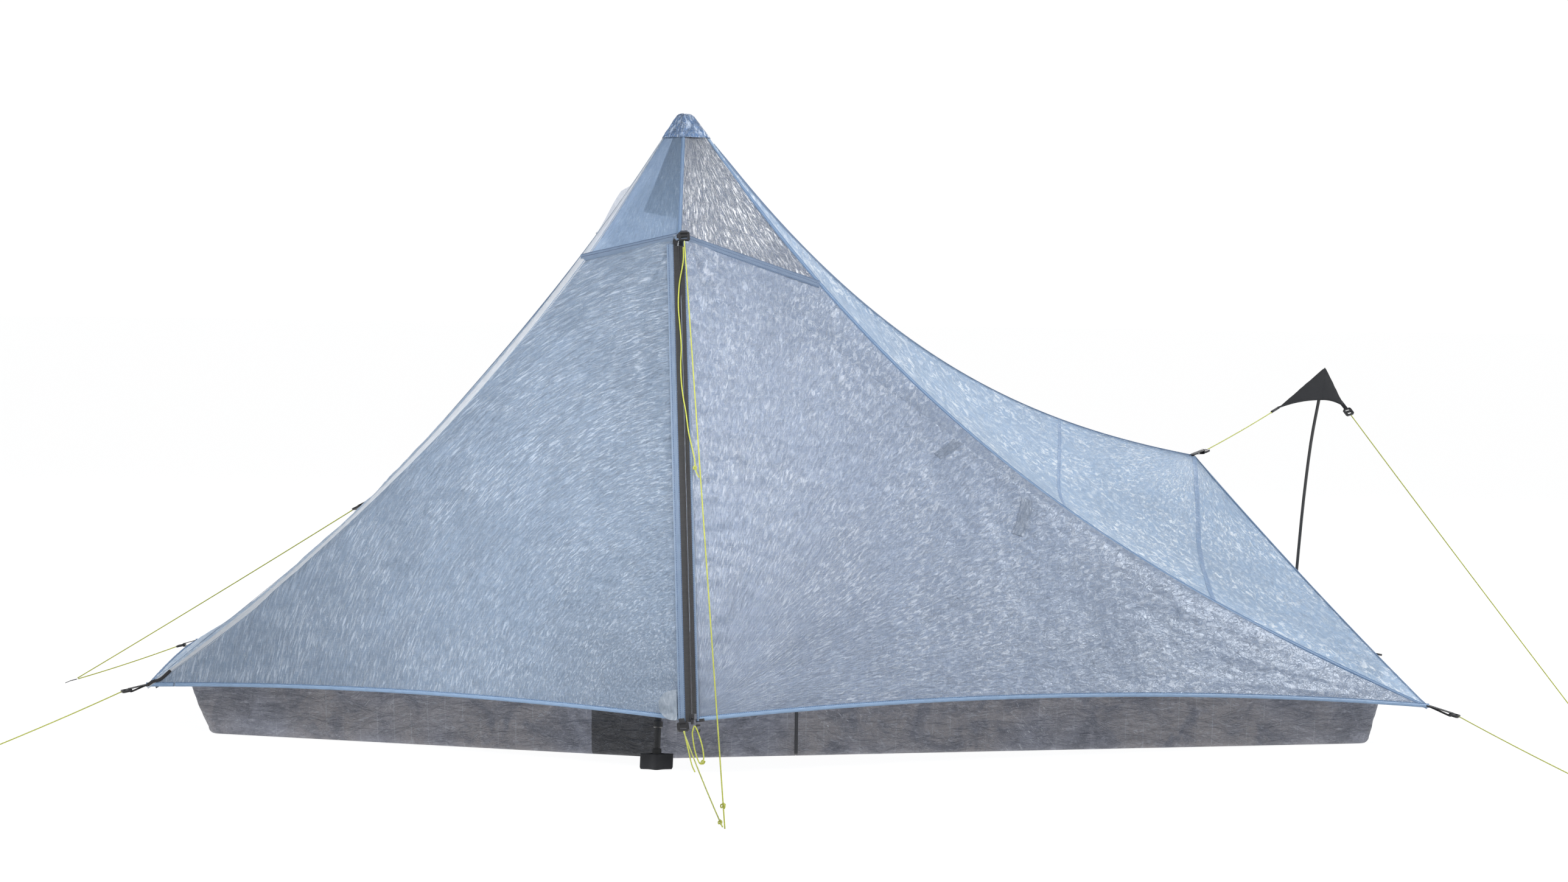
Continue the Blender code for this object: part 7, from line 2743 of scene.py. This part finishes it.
@dataclass
class FootPocket:
    """Cloth pocket that the pole's foot stands in."""

    width: float = 0.060
    height: float = 0.028
    thick: float = 0.0011
    lip: float = 0.0026
    belly: float = 0.0098
    belly_width: float = 0.0105

    def ring(self, height: float, spread: float, inset: float) -> np.ndarray:
        """Return the pocket's outline at a height.

        Args:
            height: Its height.
            spread: Its width as a share.
            inset: How far inside.

        Returns:
            Its points.
        """
        lean = POLE_AXIS * (height / POLE_AXIS[2])
        turns = np.linspace(0.0, TURN, 97)
        x, front = np.cos(turns), np.sin(turns)
        reach = self.lip + self.belly * np.exp(-((x * 0.030 / self.belly_width) ** 2))
        reach = reach * np.sqrt(np.clip(1.0 - x**6, 0.0, 1.0)) - inset
        wide = x * (spread * self.width / 2.0 - inset)
        points = np.stack([wide, -np.sign(front) * reach, np.full(97, height)], axis=-1)
        return points + at(POLE_FOOT[0] + lean[0], POLE_FOOT[1] + lean[1], 0.0)

    def build(self) -> None:
        """Build the pocket with a rolled mouth and soft dents."""
        levels = np.linspace(0.0006, self.height, 16)
        spread = 0.94 + 0.06 * ease(levels, 0.0, 0.004)
        outer = [self.ring(height, wide, 0.0) for height, wide in zip(levels, spread)]
        inner = [self.ring(height, 1.0, self.thick) for height in levels[::-1][:8]]
        rings = np.array(outer + inner)
        sway = 0.0006 * ripple(rings, (90.0, 90.0, 110.0), 61.0)
        rings[..., 1] += np.sign(rings[..., 1] - POLE_FOOT[1]) * sway
        flat = cells(np.linspace(0.0, 0.05, len(rings)), np.linspace(0.0, 0.13, 97))[..., ::-1]
        heart = at(POLE_FOOT[0], POLE_FOOT[1], 0.014)
        ride(sew("pocket_cloth", [Patch(rings, flat)], [Wardrobe.WEB], heart), Body.CANOPY, "foot_pocket")


@dataclass
class LiftCap:
    """Cloth cap over the lift pole's tip, drawn out into two tabs."""

    count: int = 96

    def edge(self) -> np.ndarray:
        """Return the cap's lower edge.

        Returns:
            Its points.
        """
        corners = np.array([CAP_LEFT, CAP_FRONT, CAP_RIGHT, CAP_BACK])
        turn = np.linspace(0.0, 4.0, self.count + 1)
        index = np.minimum(turn.astype(int), 3)
        s = (turn - index)[:, None]
        return corners[index] * (1 - s) + corners[(index + 1) % 4] * s + UP * (0.020 * s * (1 - s))

    def build(self) -> None:
        """Build the cap with creases from its tip to both tabs."""
        edge = self.edge()
        levels = np.linspace(0.05, 1.0, 26)
        rings = CAP_PEAK + (edge - CAP_PEAK)[None] * levels[:, None, None]
        tip = CAP_PEAK + (edge - CAP_PEAK)[None] * np.array([0.001, 0.03])[:, None, None] - UP * 0.0010
        rings = np.concatenate([tip, rings])
        middle = (CAP_LEFT + CAP_FRONT + CAP_RIGHT + CAP_BACK) / 4.0
        outward = unit((rings - middle) * at(0.4, 1.0, 0.4))
        level = np.concatenate([[0.0, 0.03], levels])
        folds = 0.0010 * ripple(rings, (50.0, 90.0, 90.0), 81.0) * np.sin(np.pi * level)[:, None]
        rings = rings + outward * folds[..., None]
        hem = rings[-1:] - outward[-1:] * 0.0007
        rings = np.concatenate([rings, hem + UP * 0.004])
        flat = cells(np.linspace(0.0, 0.1, len(rings)), np.linspace(0.0, 0.40, self.count + 1))[..., ::-1]
        ride(sew("cap_cloth", [Patch(rings, flat)], [Wardrobe.WEB], middle), Body.CANOPY, "lift_cap")


# Rigid pieces


HARDWARE: dict[Finish, tuple[str, ...]] = {
    Wardrobe.NYLON: (
        "left_door_lock", "right_door_hook", "zip_top_lock", "front_left_lock", "front_right_lock", "rear_left_lock",
        "guy_left_lock", "guy_right_lock", "lift_lock", "rear_right_fitting", "pole_clamp", "pole_lever",
    ),
    Wardrobe.ALLOY: ("zip_slider", "zip_pull"),
    Wardrobe.ZIP: ("zip_tape_left", "zip_tape_right"),
    Wardrobe.POLE: ("pole_upper", "pole_lower"),
    Wardrobe.LIFT: ("lift_pole",),
    Wardrobe.RUBBER: ("pole_foot",),
    Wardrobe.WEB: ("peak_cup",),
}


def finish_hardware() -> None:
    """Give the rigid pieces their finishes."""
    for finish, names in HARDWARE.items():
        for name in names:
            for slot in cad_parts[name].material_slots:
                slot.material = finish.material()
            LOG.info("%s finished with %s", name, finish.name)


def main() -> None:
    """Build the studio and every piece of the tent."""
    logging.basicConfig(level=logging.INFO, format="%(message)s")
    Studio().build()
    assemblies = (
        Rigging(), Canopy(), LEFT_FRONT, RIGHT_FRONT, DoorDetails(), Zipper(), Tub(), Netting(), Vent(), Webs(),
        FootPocket(), LiftCap(),
    )
    for assembly in assemblies:
        assembly.build()
        LOG.info("%s built", type(assembly).__name__)
    finish_hardware()


if __name__ == "__main__":
    main()
